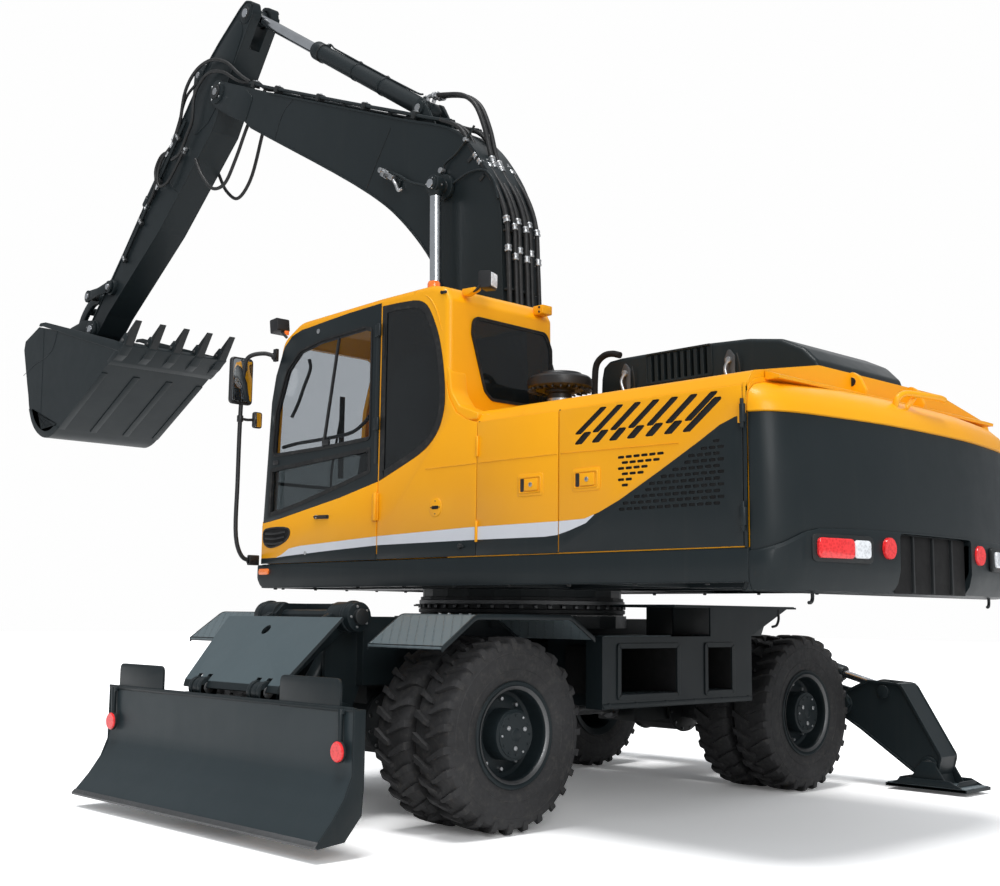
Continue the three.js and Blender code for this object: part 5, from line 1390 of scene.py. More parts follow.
def latch_plate(piece, x, z, y=1255):
    """A door's paddle latch in its frame, with its lock."""
    piece.prism(rect(x - 100, x + 100, z - 62, z + 62, 22), y - 2, y + 4, mat="yellow", bevel=2)
    ring(piece, rect(x - 84, x + 84, z - 46, z + 46, 14), 7, y + 3, y + 9, "yellow")
    piece.prism(rect(x + 46, x + 74, z - 36, z + 36, 8), y + 3, y + 5, mat="deep", bevel=1)
    piece.prism(rect(x - 64, x + 40, z - 34, z + 34, 10), y + 3, y + 11, mat="yellow", bevel=3)
    piece.rod("y", 13, (x - 12, z), y + 8, y + 15, "zinc", 20)
    piece.box(x - 14, x - 10, y + 14, y + 16, z - 8, z + 8, "deep", 0)


# the cowl over the engine bay, hollow, with its door holes
section = fillet(
    [
        (1248, 1497), (1248, 2268), (1196, 2345), (620, 2449), (-620, 2449), (-1196, 2345), (-1248, 2268),
        (-1248, 1497)
    ],
    [0, 60, 60, 40, 40, 60, 60, 0], 6
)
left_section = [p for p in section if p[0] > 352]
left_section = [(354, 2449)] + sorted(
    left_section, key=lambda p: -math.atan2(p[1] - 1497, p[0] - 354)
) + [(354, 1497)]
cowl = Piece(UPPER)
cowl.prism(section, -2764, -1241, "x", "yellow", bevel=0)
cowl_front = Piece(UPPER)
cowl_front.prism(left_section, -1243, -640, "x", "yellow", bevel=0)
room = Piece(UPPER).box(-2734, -1271, -1218, 1218, 1480, 2300, bevel=0)
doors = [Piece(UPPER).box(-2743, -1542, s * 1160, s * 1300, 1504, 2265, bevel=0) for s in (1, -1)]
hood_hole = Piece(UPPER).box(-2560, -1330, -370, 370, 2250, 2500, bevel=0)
cowl.done(
    "engine_cowl", "upper_structure", "engine_bay_frame", cut=[room, hood_hole] + doors,
    # ---------------------------------------------------------------- floor, light and view transform
    slot="yellow_paint", angle=26
)
room = Piece(UPPER).box(-1260, -670, 382, 1218, 1480, 2290, bevel=0)
door = Piece(UPPER).box(-1538, -907, 1160, 1300, 1504, 2265, bevel=0)
cowl_front.done("service_cowl", "upper_structure", cut=[room, door], slot="yellow_paint", angle=26)

frame_trim = Piece(UPPER)
frame_trim.prism(band(-1540, -1241, 1500, 1506), 1216, 1249, mat="dark", bevel=0)
for x in (-1541, -898, -2748):
    frame_trim.box(x - 4, x + 4, 1238, 1247, 1500, 2276, "seal", 0)
for s in (1, -1):
    for z in (1640, 2130):
        frame_trim.rod("z", 9, (-2754, s * 1272), z - 70, z + 70, "dark", 12)
for z in (1640, 2130):
    frame_trim.rod("z", 9, (-896, 1258), z - 60, z + 60, "yellow", 12)
frame_trim.prism(band(-2764, -2746, 1497, 2262), 1240, 1254, mat="dark", bevel=1)
frame_trim.prism(band(-2764, -2746, 2130, 2280), 1240, 1255, mat="yellow", bevel=1)
frame_trim.done("cowl_trim", "upper_structure", slot="dark_paint")

# doors
x_slots = [
    (-1652, -1896), (-1776, -2010), (-1900, -2130), (-2022, -2251), (-2145, -2370), (-2267, -2490),
    (-2388, -2612)
]
slots = Piece(UPPER)
for a, b in x_slots:
    slots.prism(fillet([(a, 2126), (a - 52, 2126), (b, 2256), (b + 52, 2256)], 9, 3), 1230, 1270, bevel=0)
for k in range(6):
    a = -1650 - 121.5 * k
    slots.prism(
        fillet([(a, 2072), (a - 60, 2072), (a - 138, 2134), (a - 78, 2134)], 9, 3), 1230, 1270, bevel=0
    )
slots.prism(
    fillet([(-2374, 2072), (-2432, 2072), (-2622, 2212), (-2622, 2226), (-2580, 2226)], 9, 3), 1230, 1270,
    bevel=0
)
holes = Piece(UPPER)
for row in range(6):
    z = 1980 - row * 29
    count = 6 - row
    for k in range(count):
        x = -1985 - k * 52 - (26 if row % 2 else 0)
        if along(YELLOW_LOW, x) + 26 < z:
            holes.prism(rect(x + 21, x - 21, z - 7, z + 7, 6.9, 3), 1230, 1270, bevel=0)
grille = Piece(UPPER)
for row in range(11):
    z = 1712 + row * 30
    for k in range(14):
        x = -1990 - k * 50 - (25 if row % 2 else 0)
        if x > -2634 and along(YELLOW_LOW, x + 24) - 24 > z:
            grille.prism(rect(x + 20, x - 20, z - 8, z + 8, 6, 2), 1230, 1270, bevel=0)
rear_door = Piece(UPPER)
side_skin(rear_door, -2742, -1545, 1502, SHOULDER - 20)
rear_door.done(
    "rear_door_skin", "left_radiator_door", cut=[slots, holes, grille], slot="yellow_paint", angle=26
)
back = Piece(UPPER)
# a near-black box behind the door's slots, holes and grille: painted shade seen through the openings
back.box(-2738, -1547, 1217, 1250, 1508, 2261, "black_and_painted_shade", 3)
latch_plate(back, -1743, 1882)
back.tube([(-1560, 1256, 2035), (-2360, 1256, 2022)], 2.4, "yellow", 6, 1)
for z in (1640, 2130):
    back.rod("z", 15, (-2754, 1268), z - 44, z + 44, "dark", 16)
    back.box(-2752, -2720, 1254, 1262, z - 44, z + 44, "dark" if z < 2000 else "yellow", 2)
back.done("rear_door_leaf", "left_radiator_door", "left_radiator_door", slot="dark_paint")

mid = Piece(UPPER)
mid.box(-1533, -912, 1217, 1250, 1508, 2261, "deep", 3)
side_skin(mid, -1537, -893, 1502, SHOULDER - 20)
latch_plate(mid, -1327, 1880)
mid.tube([(-1530, 1256, 2035), (-900, 1256, 2034)], 2.4, "yellow", 6, 1)
mid.done("service_door_leaf", "left_service_door", "left_service_door", slot="yellow_paint", angle=26)

pump = Piece(UPPER @ MIRROR)
side_skin(pump, -2742, -1545, 1502, SHOULDER - 20)
pump.box(-2738, -1547, 1217, 1250, 1508, 2261, "deep", 3)
latch_plate(pump, -1743, 1882)
for row in range(7):
    pump.prism(
        fillet([(-2000, 2130), (-2000, 2120), (-2600, 2120), (-2600, 2130)], 3), 1254, 1262, mat="yellow",
        bevel=1, local=Matrix.Translation((0, 0, -row * 26))
    )
for z in (1640, 2130):
    pump.rod("z", 15, (-2754, 1268), z - 44, z + 44, "dark", 16)
    pump.box(-2752, -2720, 1254, 1262, z - 44, z + 44, "dark", 2)
pump.done("pump_door_leaf", "right_pump_door", "right_pump_door", slot="dark_paint", angle=26)

# fixed sheets: the front bay's, under the cab, and over the door's rear edge
fixed = Piece(UPPER)
outline = [(-888, along(YELLOW_LOW, -888)), (-835, 1667), (-9, 1646), (12, 1645), (12, 1984), (3, 1987)] + [
    p for p in reversed(GLASS_LOW) if p[0] < 3
] + [(-604, 2560), (-640, 2440), (-700, 2350), (-790, 2300), (-888, 2272)]
fixed.prism(outline, 1249, 1255, mat="yellow", bevel=1.2)
fixed.prism(
    band(-888, 12, SILVER_LOW, [p for p in YELLOW_LOW if -900 < p[0] < 100]), 1249, 1254.6, mat="silver",
    bevel=0
)
fixed.prism(band(-888, 12, 1502, SILVER_LOW), 1249, 1255, mat="dark", bevel=1.2)
fixed.prism(
    fillet(
        [(-600, 2660), (-632, 2600), (-650, 2480), (-720, 2390), (-884, 2330), (-884, 2290), (-600, 2280)],
        [0, 60, 120, 60, 0, 0, 0], 6
    ),
    1110, 1246, mat="yellow", bevel=12, segments=3
)
fixed.tube([(-884, 1256, 2033), (-440, 1256, 2031)], 2.4, "yellow", 6, 1)
fixed.rod("y", 56, (-536, 1796), 1253, 1259, "yellow", 36)
fixed.prism(rect(-566, -506, 1786, 1806, 9), 1258, 1262, mat="black_and_painted_shade", bevel=1)
for dx, dz in ((0, 38), (0, -38), (38, 0), (-38, 0)):
    fixed.rod("y", 4, (-536 + dx, 1796 + dz), 1258, 1261, "deep", 10)
fixed.rod("y", 15, (-762, 1560), 1254, 1270, "deep", 20)
fixed.box(-800, -762, 1262, 1274, 1550, 1562, "deep", 4)
fixed.done("front_bay_sheet", "upper_structure", slot="yellow_paint", angle=26)

# ---------------------------------------------------------------- counterweight
def tail_ring(depth, z, half=1250, level=None):
    """The tail's outline from above, at height z or at a height that level(x, y) gives."""
    line = [
        (-2768, half), (-depth + 271, half), (-depth + 220, half - 14), (-depth + 173, half - 53),
        (-depth + 134, half - 115), (-depth + 104, half - 200)
    ]
    line += [(-depth + 52, 750), (-depth + 13, 450), (-depth, 150)]
    curve = [tuple(p) for p in smooth_line([Vector(p) for p in line], 3)]
    full = curve + [(x, -y) for x, y in reversed(curve)]
    return [(x, y, level(x, y) if level else z) for x, y in full]


LEDGE = [(0, 1602), (700, 1600), (1000, 1590), (1080, 1560), (1160, 1520), (1252, 1480)]


def ledge(y):
    """The height of the foot's upper edge at a distance y from the middle."""
    a = abs(y)
    for (a0, z0), (a1, z1) in zip(LEDGE, LEDGE[1:]):
        if a0 <= a <= a1:
            return z0 + (z1 - z0) * (a - a0) / (a1 - a0)
    return LEDGE[-1][1]


weight = Piece(UPPER)
weight_rings = [
    (2980, 1300, 1225), (3040, 1420, 1238), (3046, 1620, 1240), (3036, 1900, 1240), (3022, 2138, 1240)
]
weight.loft([tail_ring(*place) for place in weight_rings], "dark")
foot_rings = [
    tail_ring(2974, 1292, 1222), tail_ring(3010, 1300, 1240), tail_ring(3042, 1345, 1249),
    tail_ring(3058, 1410, 1252)
]
foot_rings += [
    tail_ring(3059, 0, 1252, level=lambda x, y: ledge(y) - 14),
    tail_ring(3052, 0, 1246, level=lambda x, y: ledge(y))
]
weight_foot = Piece(UPPER).loft(foot_rings, "dark")


def tail_recess():
    """A new cutter for the recess in the tail: each cut uses its own up."""
    return Piece(UPPER).prism(rect(-372, 372, 1250, 1594, 30), -3200, -3008, "x", bevel=0)


weight.done("counterweight_body", "upper_structure", "counterweight", cut=tail_recess(), angle=30)
weight_foot.done("counterweight_foot", "upper_structure", cut=tail_recess(), angle=30)
cap = Piece(UPPER)
cap_rings = [
    (3024, 2138, 1244), (3034, 2142, 1253), (3030, 2180, 1253), (3004, 2232, 1248), (2962, 2276, 1224),
    (2900, 2304, 1186), (2850, 2322, 1130)
]
cap.loft([tail_ring(*place) for place in cap_rings], "yellow")
cap.prism(
    [(-2768, 2310), (-2850, 2310), (-2852, 2326), (-2800, 2346), (-2768, 2356)], -1100, 1100, mat="yellow",
    bevel=0
)
cap.done("counterweight_cap", "upper_structure", slot="yellow_paint", angle=30)
bits = Piece(UPPER)
for s in (1, -1):
    lamp_at = turned((-2977, s * 815, 1500), s * -0.20, "Z")
    red_part, clear_part = ((-60, 180), (-176, -64)) if s > 0 else ((-180, 60), (64, 176))
    bits.prism(rect(-205, 205, -66, 66, 30), -32, -12, "x", "deep", 3, local=lamp_at)
    bits.prism(rect(*red_part, -48, 48, 26), -52, -30, "x", "red", 8, 3, local=lamp_at)
    bits.prism(rect(*clear_part, -44, 44, 22), -48, -30, "x", "clear", 8, 3, local=lamp_at)
    bits.lathe(
        [(0, -3058), (52, -3058), (54, -3052), (54, -3040), (0, -3040)], "x", (s * 470, 1515), "red", 36
    )
# a near-black sheet at the back of the tail's recess, behind its bars: painted shade
bits.box(-3012, -3006, -366, 366, 1296, 1590, "black_and_painted_shade", 2)
for y in (-200, 0, 200):
    bits.box(-3030, -3010, y - 6, y + 6, 1300, 1586, "deep", 2)
eye = [
    (-2700, 2300), (-2840, 2300), (-2850, 2350), (-2810, 2430), (-2766, 2462), (-2722, 2430), (-2690, 2350)
]
bits.prism(fillet(eye, [0, 0, 20, 40, 40, 40, 20], 5), 288, 316, mat="yellow", bevel=6)
bits.tube(
    [
        (-2766 + 40 * math.cos(t), 302, 2400 + 40 * math.sin(t))
        for t in [2 * math.pi * k / 16 for k in range(17)]
    ],
    9, "yellow", 10, 1
)
# a near-black disc inside the lifting eye's ring stands in for its hole: painted shade
bits.rod("y", 24, (-2766, 2402), 286, 318, "black_and_painted_shade", 24)
bits.prism(fillet(eye, [0, 0, 20, 40, 40, 40, 20], 5), -316, -288, mat="yellow", bevel=6)
bits.tube(
    [
        (-2960, 230, 2250), (-2975, 226, 2300), (-2985, 180, 2330), (-3008, 40, 2338), (-3020, -150, 2342),
        (-3020, -185, 2338)
    ],
    17, "yellow", 12, 5
)
bits.tube([(-2952, 120, 2250), (-2990, 60, 2336)], 14, "yellow", 10, 1)
for y in (-900, 900):
    bits.tube(
        [(-2880, y, 1310), (-2880, y, 1262), (-2886, y + 20, 1246), (-2900, y + 60, 1243)], 9, "deep", 8, 4
    )
bits.done("tail_fittings", "upper_structure", slot="yellow_paint", angle=30)

# ---------------------------------------------------------------- engine hood
hood_side = [
    (-1112, 2452), (-1118, 2600), (-1134, 2672), (-1180, 2706), (-1277, 2714), (-1900, 2714), (-2200, 2700),
    (-2420, 2667), (-2560, 2600), (-2640, 2520), (-2662, 2452)
]
hood_side = fillet(hood_side, [0, 60, 30, 40, 60, 200, 200, 120, 90, 60, 0], 4)
hood = Piece(UPPER).prism(hood_side, -428, 448, mat="dark", bevel=34, segments=4)
cuts = Piece(UPPER)
for k in range(9):
    x = -1531 - k * 48
    slat = fillet([(x + 12, 2536), (x - 14, 2536), (x - 8, 2740), (x + 18, 2740)], 4)
    cuts.prism(slat, 408, 480, bevel=0)
    cuts.prism(slat, -480, -390, bevel=0)
inside = Piece(UPPER).prism(
    [
        (-1160, 2440), (-1170, 2640), (-1300, 2682), (-1900, 2684), (-2400, 2636), (-2600, 2500),
        (-2610, 2440)
    ],
    -396, 404, bevel=0
)
hood.done("hood_shell", "engine_hood", "engine_hood", cut=[inside, cuts], angle=30)
clasps = Piece(UPPER)
# near-black sheets just inside the hood's louvre slots: painted shade seen through them
clasps.box(-1950, -1500, 395, 405, 2500, 2676, "black_and_painted_shade", 2)
clasps.box(-1950, -1500, -397, -387, 2500, 2676, "black_and_painted_shade", 2)
ring(clasps, fillet([(-1480, 2522), (-1968, 2522), (-1962, 2706), (-1474, 2706)], 20), 10, 440, 453, "dark")
for x, z in ((-1326, 2600), (-2086, 2580)):
    clasps.prism(
        fillet(
            [(x - 40, z - 90), (x + 30, z - 90), (x + 34, z + 20), (x + 4, z + 80), (x - 40, z + 30)], 16
        ),
        446, 460, mat="steel", bevel=3
    )
    clasps.rod("y", 19, (x - 4, z + 8), 458, 478, "zinc", 24, 4)
    clasps.tube([(x - 4, 470, z + 8), (x + 12, 482, z - 40), (x - 6, 474, z - 110)], 9, "zinc", 10, 4)
    clasps.tube([(x - 70, 452, z - 90), (x - 74, 466, z - 20), (x - 62, 470, z + 40)], 5, "deep", 8, 4)
clasps.done("hood_clasps", "engine_hood", slot="dark_paint")
intake = Piece(UPPER)
intake.lathe(
    [
        (0, 2440), (74, 2440), (74, 2500), (92, 2506), (92, 2520), (130, 2524), (182, 2530), (196, 2542),
        (199, 2566), (196, 2590), (180, 2606), (140, 2614), (132, 2628), (60, 2640), (0, 2641)
    ],
    "z", (-960, 640), "black", 56
)
for k in range(24):
    t = 2 * math.pi * k / 24
    intake.box(-4, 4, 150, 196, 2516, 2528, "black", 1, local=turned((-960, 640, 0), t, "Z"))
intake.lathe([(72, 2452), (79, 2452), (79, 2470), (72, 2470)], "z", (-960, 640), "zinc", 40)
intake.done("intake_cap", "upper_structure", "pre_cleaner", slot="black_plastic")
bent = Piece(UPPER)
bent.tube(
    [
        (-1075, 452, 2440), (-1076, 452, 2600), (-1092, 452, 2700), (-1150, 452, 2742), (-1215, 452, 2746),
        (-1280, 452, 2728)
    ],
    20, "black_and_painted_shade", 16, 6
)
bent.tube([(-700, 420, 2420), (-704, 418, 2600), (-690, 410, 2660)], 12, "black", 10, 4)
bent.done("vent_pipe", "upper_structure", slot="black_plastic")
engine = Piece(UPPER)
engine.box(-2380, -1660, -300, 300, 1600, 2060, "deep", 20, 3)
engine.box(-2300, -1740, -210, 210, 2040, 2180, "dark", 18, 3)
for k in range(6):
    engine.box(-2290 + k * 92, -2216 + k * 92, -150, 150, 2176, 2200, "steel", 6)
engine.rod("x", 150, (0, 1830), -2420, -2370, "steel", 40)
engine.lathe(
    [(0, -1650), (250, -1650), (255, -1640), (250, -1622), (60, -1622), (0, -1630)], "x", (0, 1900),
    "black", 36
)
engine.tube([(-1700, 260, 2100), (-1900, 330, 2150), (-2200, 330, 2120), (-2360, 240, 1980)], 42, "steel", 16)
for s in (1, -1):
    engine.box(-2400, -1640, s * 330, s * 400, 1500, 1580, "deep", 6)
    engine.box(-2200, -1800, s * 290, s * 400, 1500, 1620, "black", 10)
engine.done("engine_unit", "upper_structure", "engine_block", slot="cast_metal")

# ---------------------------------------------------------------- right body
right_side = fillet(
    [
        (-1236, 1497), (-1236, 2330), (600, 2330), (650, 2270), (665, 1960), (1000, 1940), (1010, 1700),
        (1290, 1700), (1300, 1497)
    ],
    [0, 40, 40, 40, 60, 40, 40, 20, 0], 5
)
tank = Piece(UPPER).prism(right_side, -1248, -354, mat="yellow", bevel=26, segments=4)
tank.lathe(
    [(0, 2328), (72, 2328), (72, 2350), (64, 2352), (64, 2372), (58, 2378), (0, 2379)], "z", (-200, -800),
    "black", 36
)
for x in (-320, -80):
    tank.bolt("z", (x, -800), 2330, 10, 8)
tank.prism(rect(-1150, 560, -1130, -420, 30), 2328, 2334, "z", "tread", 1)
tank.prism(rect(700, 980, -1130, -420, 20), 1938, 1946, "z", "tread", 1)
tank.prism(rect(1030, 1280, -1200, -400, 20), 1698, 1706, "z", "tread", 1)
tank.done("tank_shell", "upper_structure", "right_tank_body", slot="yellow_paint", angle=30)
right_trim = Piece(UPPER @ MIRROR)
for a, b, top in ((-1232, -640, 2262), (-630, -10, 2262), (0, 640, 2240)):
    side_skin(right_trim, a, b, 1502, top, 1247, 1252)
right_trim.prism(band(650, 1262, YELLOW_LOW, 1680), 1247, 1252, mat="yellow", bevel=1.2)
right_trim.prism(
    band(650, 1106, SILVER_LOW, [p for p in YELLOW_LOW if -9 <= p[0] <= 1110]), 1247, 1251.6, mat="silver",
    bevel=0
)
right_trim.prism(
    band(650, 1262, 1502, sorted(SILVER_LOW[-3:] + [(1330, 1536)])), 1247, 1252, mat="dark", bevel=1.2
)
latch_plate(right_trim, -740, 1882, 1252)
latch_plate(right_trim, 500, 1882, 1252)
rail = [
    (540, 1190, 2330), (545, 1190, 2440), (500, 1190, 2520), (400, 1190, 2550), (-700, 1190, 2550),
    (-800, 1190, 2520), (-840, 1190, 2440), (-842, 1190, 2330)
]
right_trim.tube(rail, 17, "dark", 12, 4)
for x in (-400, 0):
    right_trim.rod("z", 15, (x, 1190), 2330, 2550, "dark", 14)
right_trim.tube(
    [
        (1220, 1190, 1700), (1224, 1190, 1900), (1160, 1190, 2020), (1040, 1190, 2090), (760, 1190, 2200),
        (690, 1190, 2190)
    ],
    17, "dark", 12, 5
)
right_trim.done("right_sheet", "upper_structure", slot="yellow_paint", angle=28)

# ---------------------------------------------------------------- cab
cab_side = [
    (-630, 1497), (1300, 1497), (1300, 1769), (1255, 2640), (1119, 3047), (921, 3144), (46, 3165),
    (-442, 3165), (-570, 3135), (-622, 3050), (-630, 2400)
]
cab_outline = fillet(cab_side, [0, 0, 20, 260, 150, 220, 0, 150, 90, 60, 0], 6)
quarter = [
    (12, 1990), (-36, 2006), (-191, 2060), (-360, 2122), (-462, 2178), (-545, 2262), (-590, 2372),
    (-596, 2492), (-580, 2646), (-535, 2830), (-478, 2955), (-420, 3040), (-345, 3082), (-155, 3100),
    (12, 3104)
]
quarter = [(12, 1990)] + [tuple(p) for p in smooth_line(quarter[1:-1], 3)] + [(12, 3104)]
shell = Piece(UPPER).prism(cab_outline, 354, 1249, mat="yellow", bevel=42, segments=5)
inner_cab = Piece(UPPER).prism(fillet(inset(cab_side, 44), 60, 4), 398, 1206, bevel=0)
door_hole = Piece(UPPER).prism(
    fillet(
        [(26, 1532), (1248, 1532), (1248, 1778), (1206, 2622), (1086, 2994), (898, 3086), (26, 3110)],
        [0, 20, 20, 100, 60, 60, 0], 5
    ),
    1150, 1300, bevel=0
)
quarter_hole = Piece(UPPER).prism(inset(quarter, 10), 1150, 1300, bevel=0)
front_hole = Piece(UPPER).prism(rect(434, 1168, 1612, 3010, 90, 5), 1010, 1500, "x", bevel=0)
rear_outline = fillet(
    [
        (1060, 2968), (430, 2960), (380, 2860), (372, 2560), (430, 2488), (640, 2470), (900, 2470),
        (960, 2520), (1070, 2860)
    ],
    60, 5
)
rear_hole = Piece(UPPER).prism(rear_outline, -700, -560, "x", bevel=0)
right_hole = Piece(UPPER).prism(
    fillet([(-480, 2080), (1130, 2080), (1100, 2640), (1000, 2960), (880, 3040), (-420, 3040)], 80, 5), 300,
    420, bevel=0
)
shell.done(
    "cab_body", "upper_structure", "cab_shell",
    cut=[inner_cab, door_hole, quarter_hole, front_hole, rear_hole, right_hole], slot="yellow_paint",
    angle=24
)

panes = Piece(UPPER)
panes.prism(inset(quarter, 4), 1240, 1246, mat="smoke", bevel=0)
panes.prism(inset(rear_outline, -4), -628, -622, "x", "glass", 0)
panes.prism(
    fillet([(-486, 2074), (1136, 2074), (1106, 2644), (1004, 2966), (884, 3046), (-426, 3046)], 80, 5), 360,
    366, mat="pale_glass", bevel=0
)
front_pane = [(1292, 1640), (1249, 2634), (1114, 3030), (1108, 3026), (1243, 2634), (1286, 1640)]
panes.prism(front_pane, 440, 1162, mat="pale_glass", bevel=0)
panes.done("cab_panes", "upper_structure", slot="black_plastic")

cab_trim = Piece(UPPER)
ring(cab_trim, quarter, 46, 1238, 1252, "seal")
cab_trim.box(-34, 14, 1238, 1251, 2010, 3104, "dark", 2)
ring(cab_trim, rear_outline, 14, -634, -618, "seal", "x")
ring(cab_trim, inset(rear_outline, -5), 8, -638, -630, "seal", "x")
ring(
    cab_trim,
    fillet([(-480, 2080), (1130, 2080), (1100, 2640), (1000, 2960), (880, 3040), (-420, 3040)], 80, 5), 26,
    348, 362, "seal"
)
cab_trim.box(1246, 1262, 440, 1160, 2046, 2070, "black", 3)
cab_trim.box(-22, -12, 1252, 1258, 2766, 2962, "seal", 2)
cab_trim.prism(band(12, 1292, 1499, [(12, 1534), (1292, 1534)]), 1249, 1254, mat="dark", bevel=1)
cab_trim.prism(
    [(1248, 1500), (1296, 1500), (1296, 1760), (1292, 1790), (1250, 1790)], 1238, 1250, mat="yellow",
    bevel=1
)
cab_trim.tube(
    [(-560, 1246, 2860), (-500, 1250, 3010), (-420, 1246, 3096), (-300, 1240, 3126), (12, 1236, 3134)], 5,
    "yellow", 8, 5
)
# roof: gutter rail, hatch, beacon and lamps
cab_trim.prism(rect(-330, 760, 480, 1120, 80), 3163, 3172, "z", "yellow", 4)
cab_trim.prism(rect(150, 700, 560, 1040, 60), 3170, 3180, "z", "black", 4)
cab_trim.rod("y", 10, (-560, 3096), 1246, 1262, "black_and_painted_shade", 16)
cab_trim.box(-596, -548, 1244, 1256, 3086, 3104, "deep", 4)
for x, z in ((700, 3112), (-300, 3140)):
    cab_trim.rod("y", 9, (x, z), 1236, 1248, "yellow", 16)
beacon_at = (-71, 900)
cab_trim.lathe(
    [(0, 3170), (44, 3170), (44, 3190), (34, 3198), (34, 3226), (0, 3226)], "z", beacon_at, "black", 28
)
cab_trim.lathe(
    [(0, 3224), (40, 3224), (43, 3232), (42, 3300), (36, 3314), (22, 3320), (0, 3321)], "z", beacon_at,
    "orange", 32
)
# front lamp on its arm
cab_trim.tube([(1086, 1240, 3060), (1110, 1256, 3090), (1124, 1262, 3110)], 10, "black", 10)
lamp_a = turned((1146, 1262, 3146), 0.15, "Y")
cab_trim.prism(
    fillet([(-46, -44), (46, -52), (46, 50), (-46, 44)], 12), -52, 52, mat="black", bevel=7, local=lamp_a
)
cab_trim.prism(rect(-44, 44, -44, 44, 12), 44, 52, "x", "clear", 3, local=lamp_a)
cab_trim.box(1096, 1116, 1214, 1250, 3082, 3116, "orange", 6)
# rear lamp on its bracket
cab_trim.prism(
    fillet([(-600, 3090), (-640, 3086), (-720, 3110), (-716, 3126), (-600, 3132)], 8), 1080, 1130,
    mat="yellow", bevel=4
)
cab_trim.tube([(-640, 1104, 3112), (-720, 1120, 3108), (-756, 1124, 3128)], 9, "black", 10)
lamp_b = turned((-760, 1060, 3166), 0.42, "Z")
cab_trim.prism(
    fillet([(-36, -50), (44, -50), (44, 56), (-36, 50)], 12), -54, 54, mat="black", bevel=7, local=lamp_b
)
cab_trim.prism(rect(-44, 44, -40, 44, 12), -42, -34, "x", "clear", 3, local=lamp_b)
cab_trim.box(-690, -600, 430, 520, 3070, 3130, "yellow", 8)
for z in (3085, 3115):
    cab_trim.bolt("y", (-660, z), 520, 8, 6, 1, "deep")
# orange marker and the mirror's brackets
cab_trim.prism(
    fillet([(1190, 1424), (1300, 1424), (1310, 1444), (1300, 1466), (1190, 1466)], 16), 1249, 1264,
    mat="orange", bevel=5
)
cab_trim.box(1160, 1200, 1250, 1276, 2900, 2990, "black", 6)
cab_trim.box(1316, 1352, 1250, 1330, 1490, 1560, "black", 6)
cab_trim.tube([(1262, 700, 2060), (1272, 690, 2200), (1262, 640, 2520), (1252, 620, 2680)], 9, "black", 10)
cab_trim.box(1252, 1268, 600, 640, 2140, 2740, "black", 3)
cab_trim.done("cab_fittings", "upper_structure", slot="black_plastic", angle=30)

# ---------------------------------------------------------------- cab door
door_edge = [
    (26, 1536), (1286, 1536), (1284, 1790), (1250, 2291), (1228, 2620), (1186, 2800), (1096, 2990),
    (1010, 3056), (917, 3080), (688, 3098), (358, 3118), (26, 3128)
]
upper_window = fillet(
    [
        (112, 2262), (646, 2242), (1196, 2236), (1172, 2540), (1056, 2820), (905, 2938), (682, 2976),
        (190, 2996), (116, 2976)
    ],
    [40, 0, 40, 0, 120, 100, 0, 40, 30], 6
)
lower_window = fillet(
    [(104, 2208), (1212, 2150), (1222, 1826), (1084, 1842), (854, 1884), (415, 1978), (104, 2050)],
    [20, 24, 20, 60, 0, 0, 20], 5
)
outline_low = [(26, along(GLASS_LOW, 26))] + [p for p in GLASS_LOW if 26 < p[0] < 1284] + [(1284, 1777)]
leaf_top = outline_low + [(1284, 1790)] + fillet(door_edge[2:], [0, 0, 40, 60, 60, 40, 0, 0, 0, 0], 4)[1:]
leaf = Piece(UPPER).prism(leaf_top, 1214, 1252, mat="dark", bevel=3)
leaf.done(
    "door_frame", "cab_door", "cab_door",
    cut=[
        Piece(UPPER).prism(upper_window, 1190, 1290, bevel=0),
        Piece(UPPER).prism(lower_window, 1190, 1290, bevel=0)
    ],
    angle=28
)
low = Piece(UPPER)
low_skin = [
    (26, along(YELLOW_LOW, 26)), (840, 1610), (960, 1596), (1050, 1556), (1110, 1538), (1286, 1536)
] + list(reversed(outline_low))
low.prism(low_skin, 1214, 1256, mat="yellow", bevel=1.5)
low.prism(
    band(26, 1106, SILVER_LOW, [p for p in YELLOW_LOW if -9 <= p[0] <= 1110]), 1214, 1255.5, mat="silver",
    bevel=0
)
low.prism(band(26, 1286, 1500, sorted(SILVER_LOW[-4:] + [(1330, 1536)])), 1251.5, 1256, mat="dark", bevel=1.2)
low.prism(band(26, 1240, 1538, sorted(SILVER_LOW[-4:] + [(1330, 1537)])), 1214, 1251, mat="dark", bevel=0)
oval = [
    (1273, 1726), (1240, 1741), (980, 1738), (950, 1716), (955, 1680), (990, 1650), (1080, 1618),
    (1200, 1606), (1268, 1640), (1282, 1690)
]
oval = [tuple(p) for p in smooth_line([(x * 0.96 + 40, z) for x, z in oval], 4, closed=True)]
ring(low, oval, 11, 1254, 1261, "black")
# near-black fill inside the oval grille, behind its bars: painted shade
low.prism(inset(oval, 10), 1253, 1257, mat="black_and_painted_shade", bevel=1)
for k in range(3):
    low.tube(
        [(1000 + 10 * k, 1259, 1710 - 34 * k), (1120, 1262, 1700 - 34 * k), (1240, 1259, 1706 - 34 * k)], 7,
        "black", 8, 3
    )
low.prism(fillet([(520, 1776), (676, 1782), (676, 1806), (520, 1802)], 10), 1254, 1262, mat="deep", bevel=2)
low.tube([(530, 1268, 1790), (610, 1272, 1794), (668, 1266, 1794)], 7, "deep", 8)
low.rod("y", 11, (640, 1794), 1256, 1274, "zinc", 16)
low.rod("y", 13, (767, 1561), 1254, 1263, "zinc", 20)
low.prism(rect(2, 64, 1740, 1914, 10), 1256, 1264, mat="yellow", bevel=3)
low.rod("z", 13, (22, 1272), 1740, 1914, "yellow", 18)
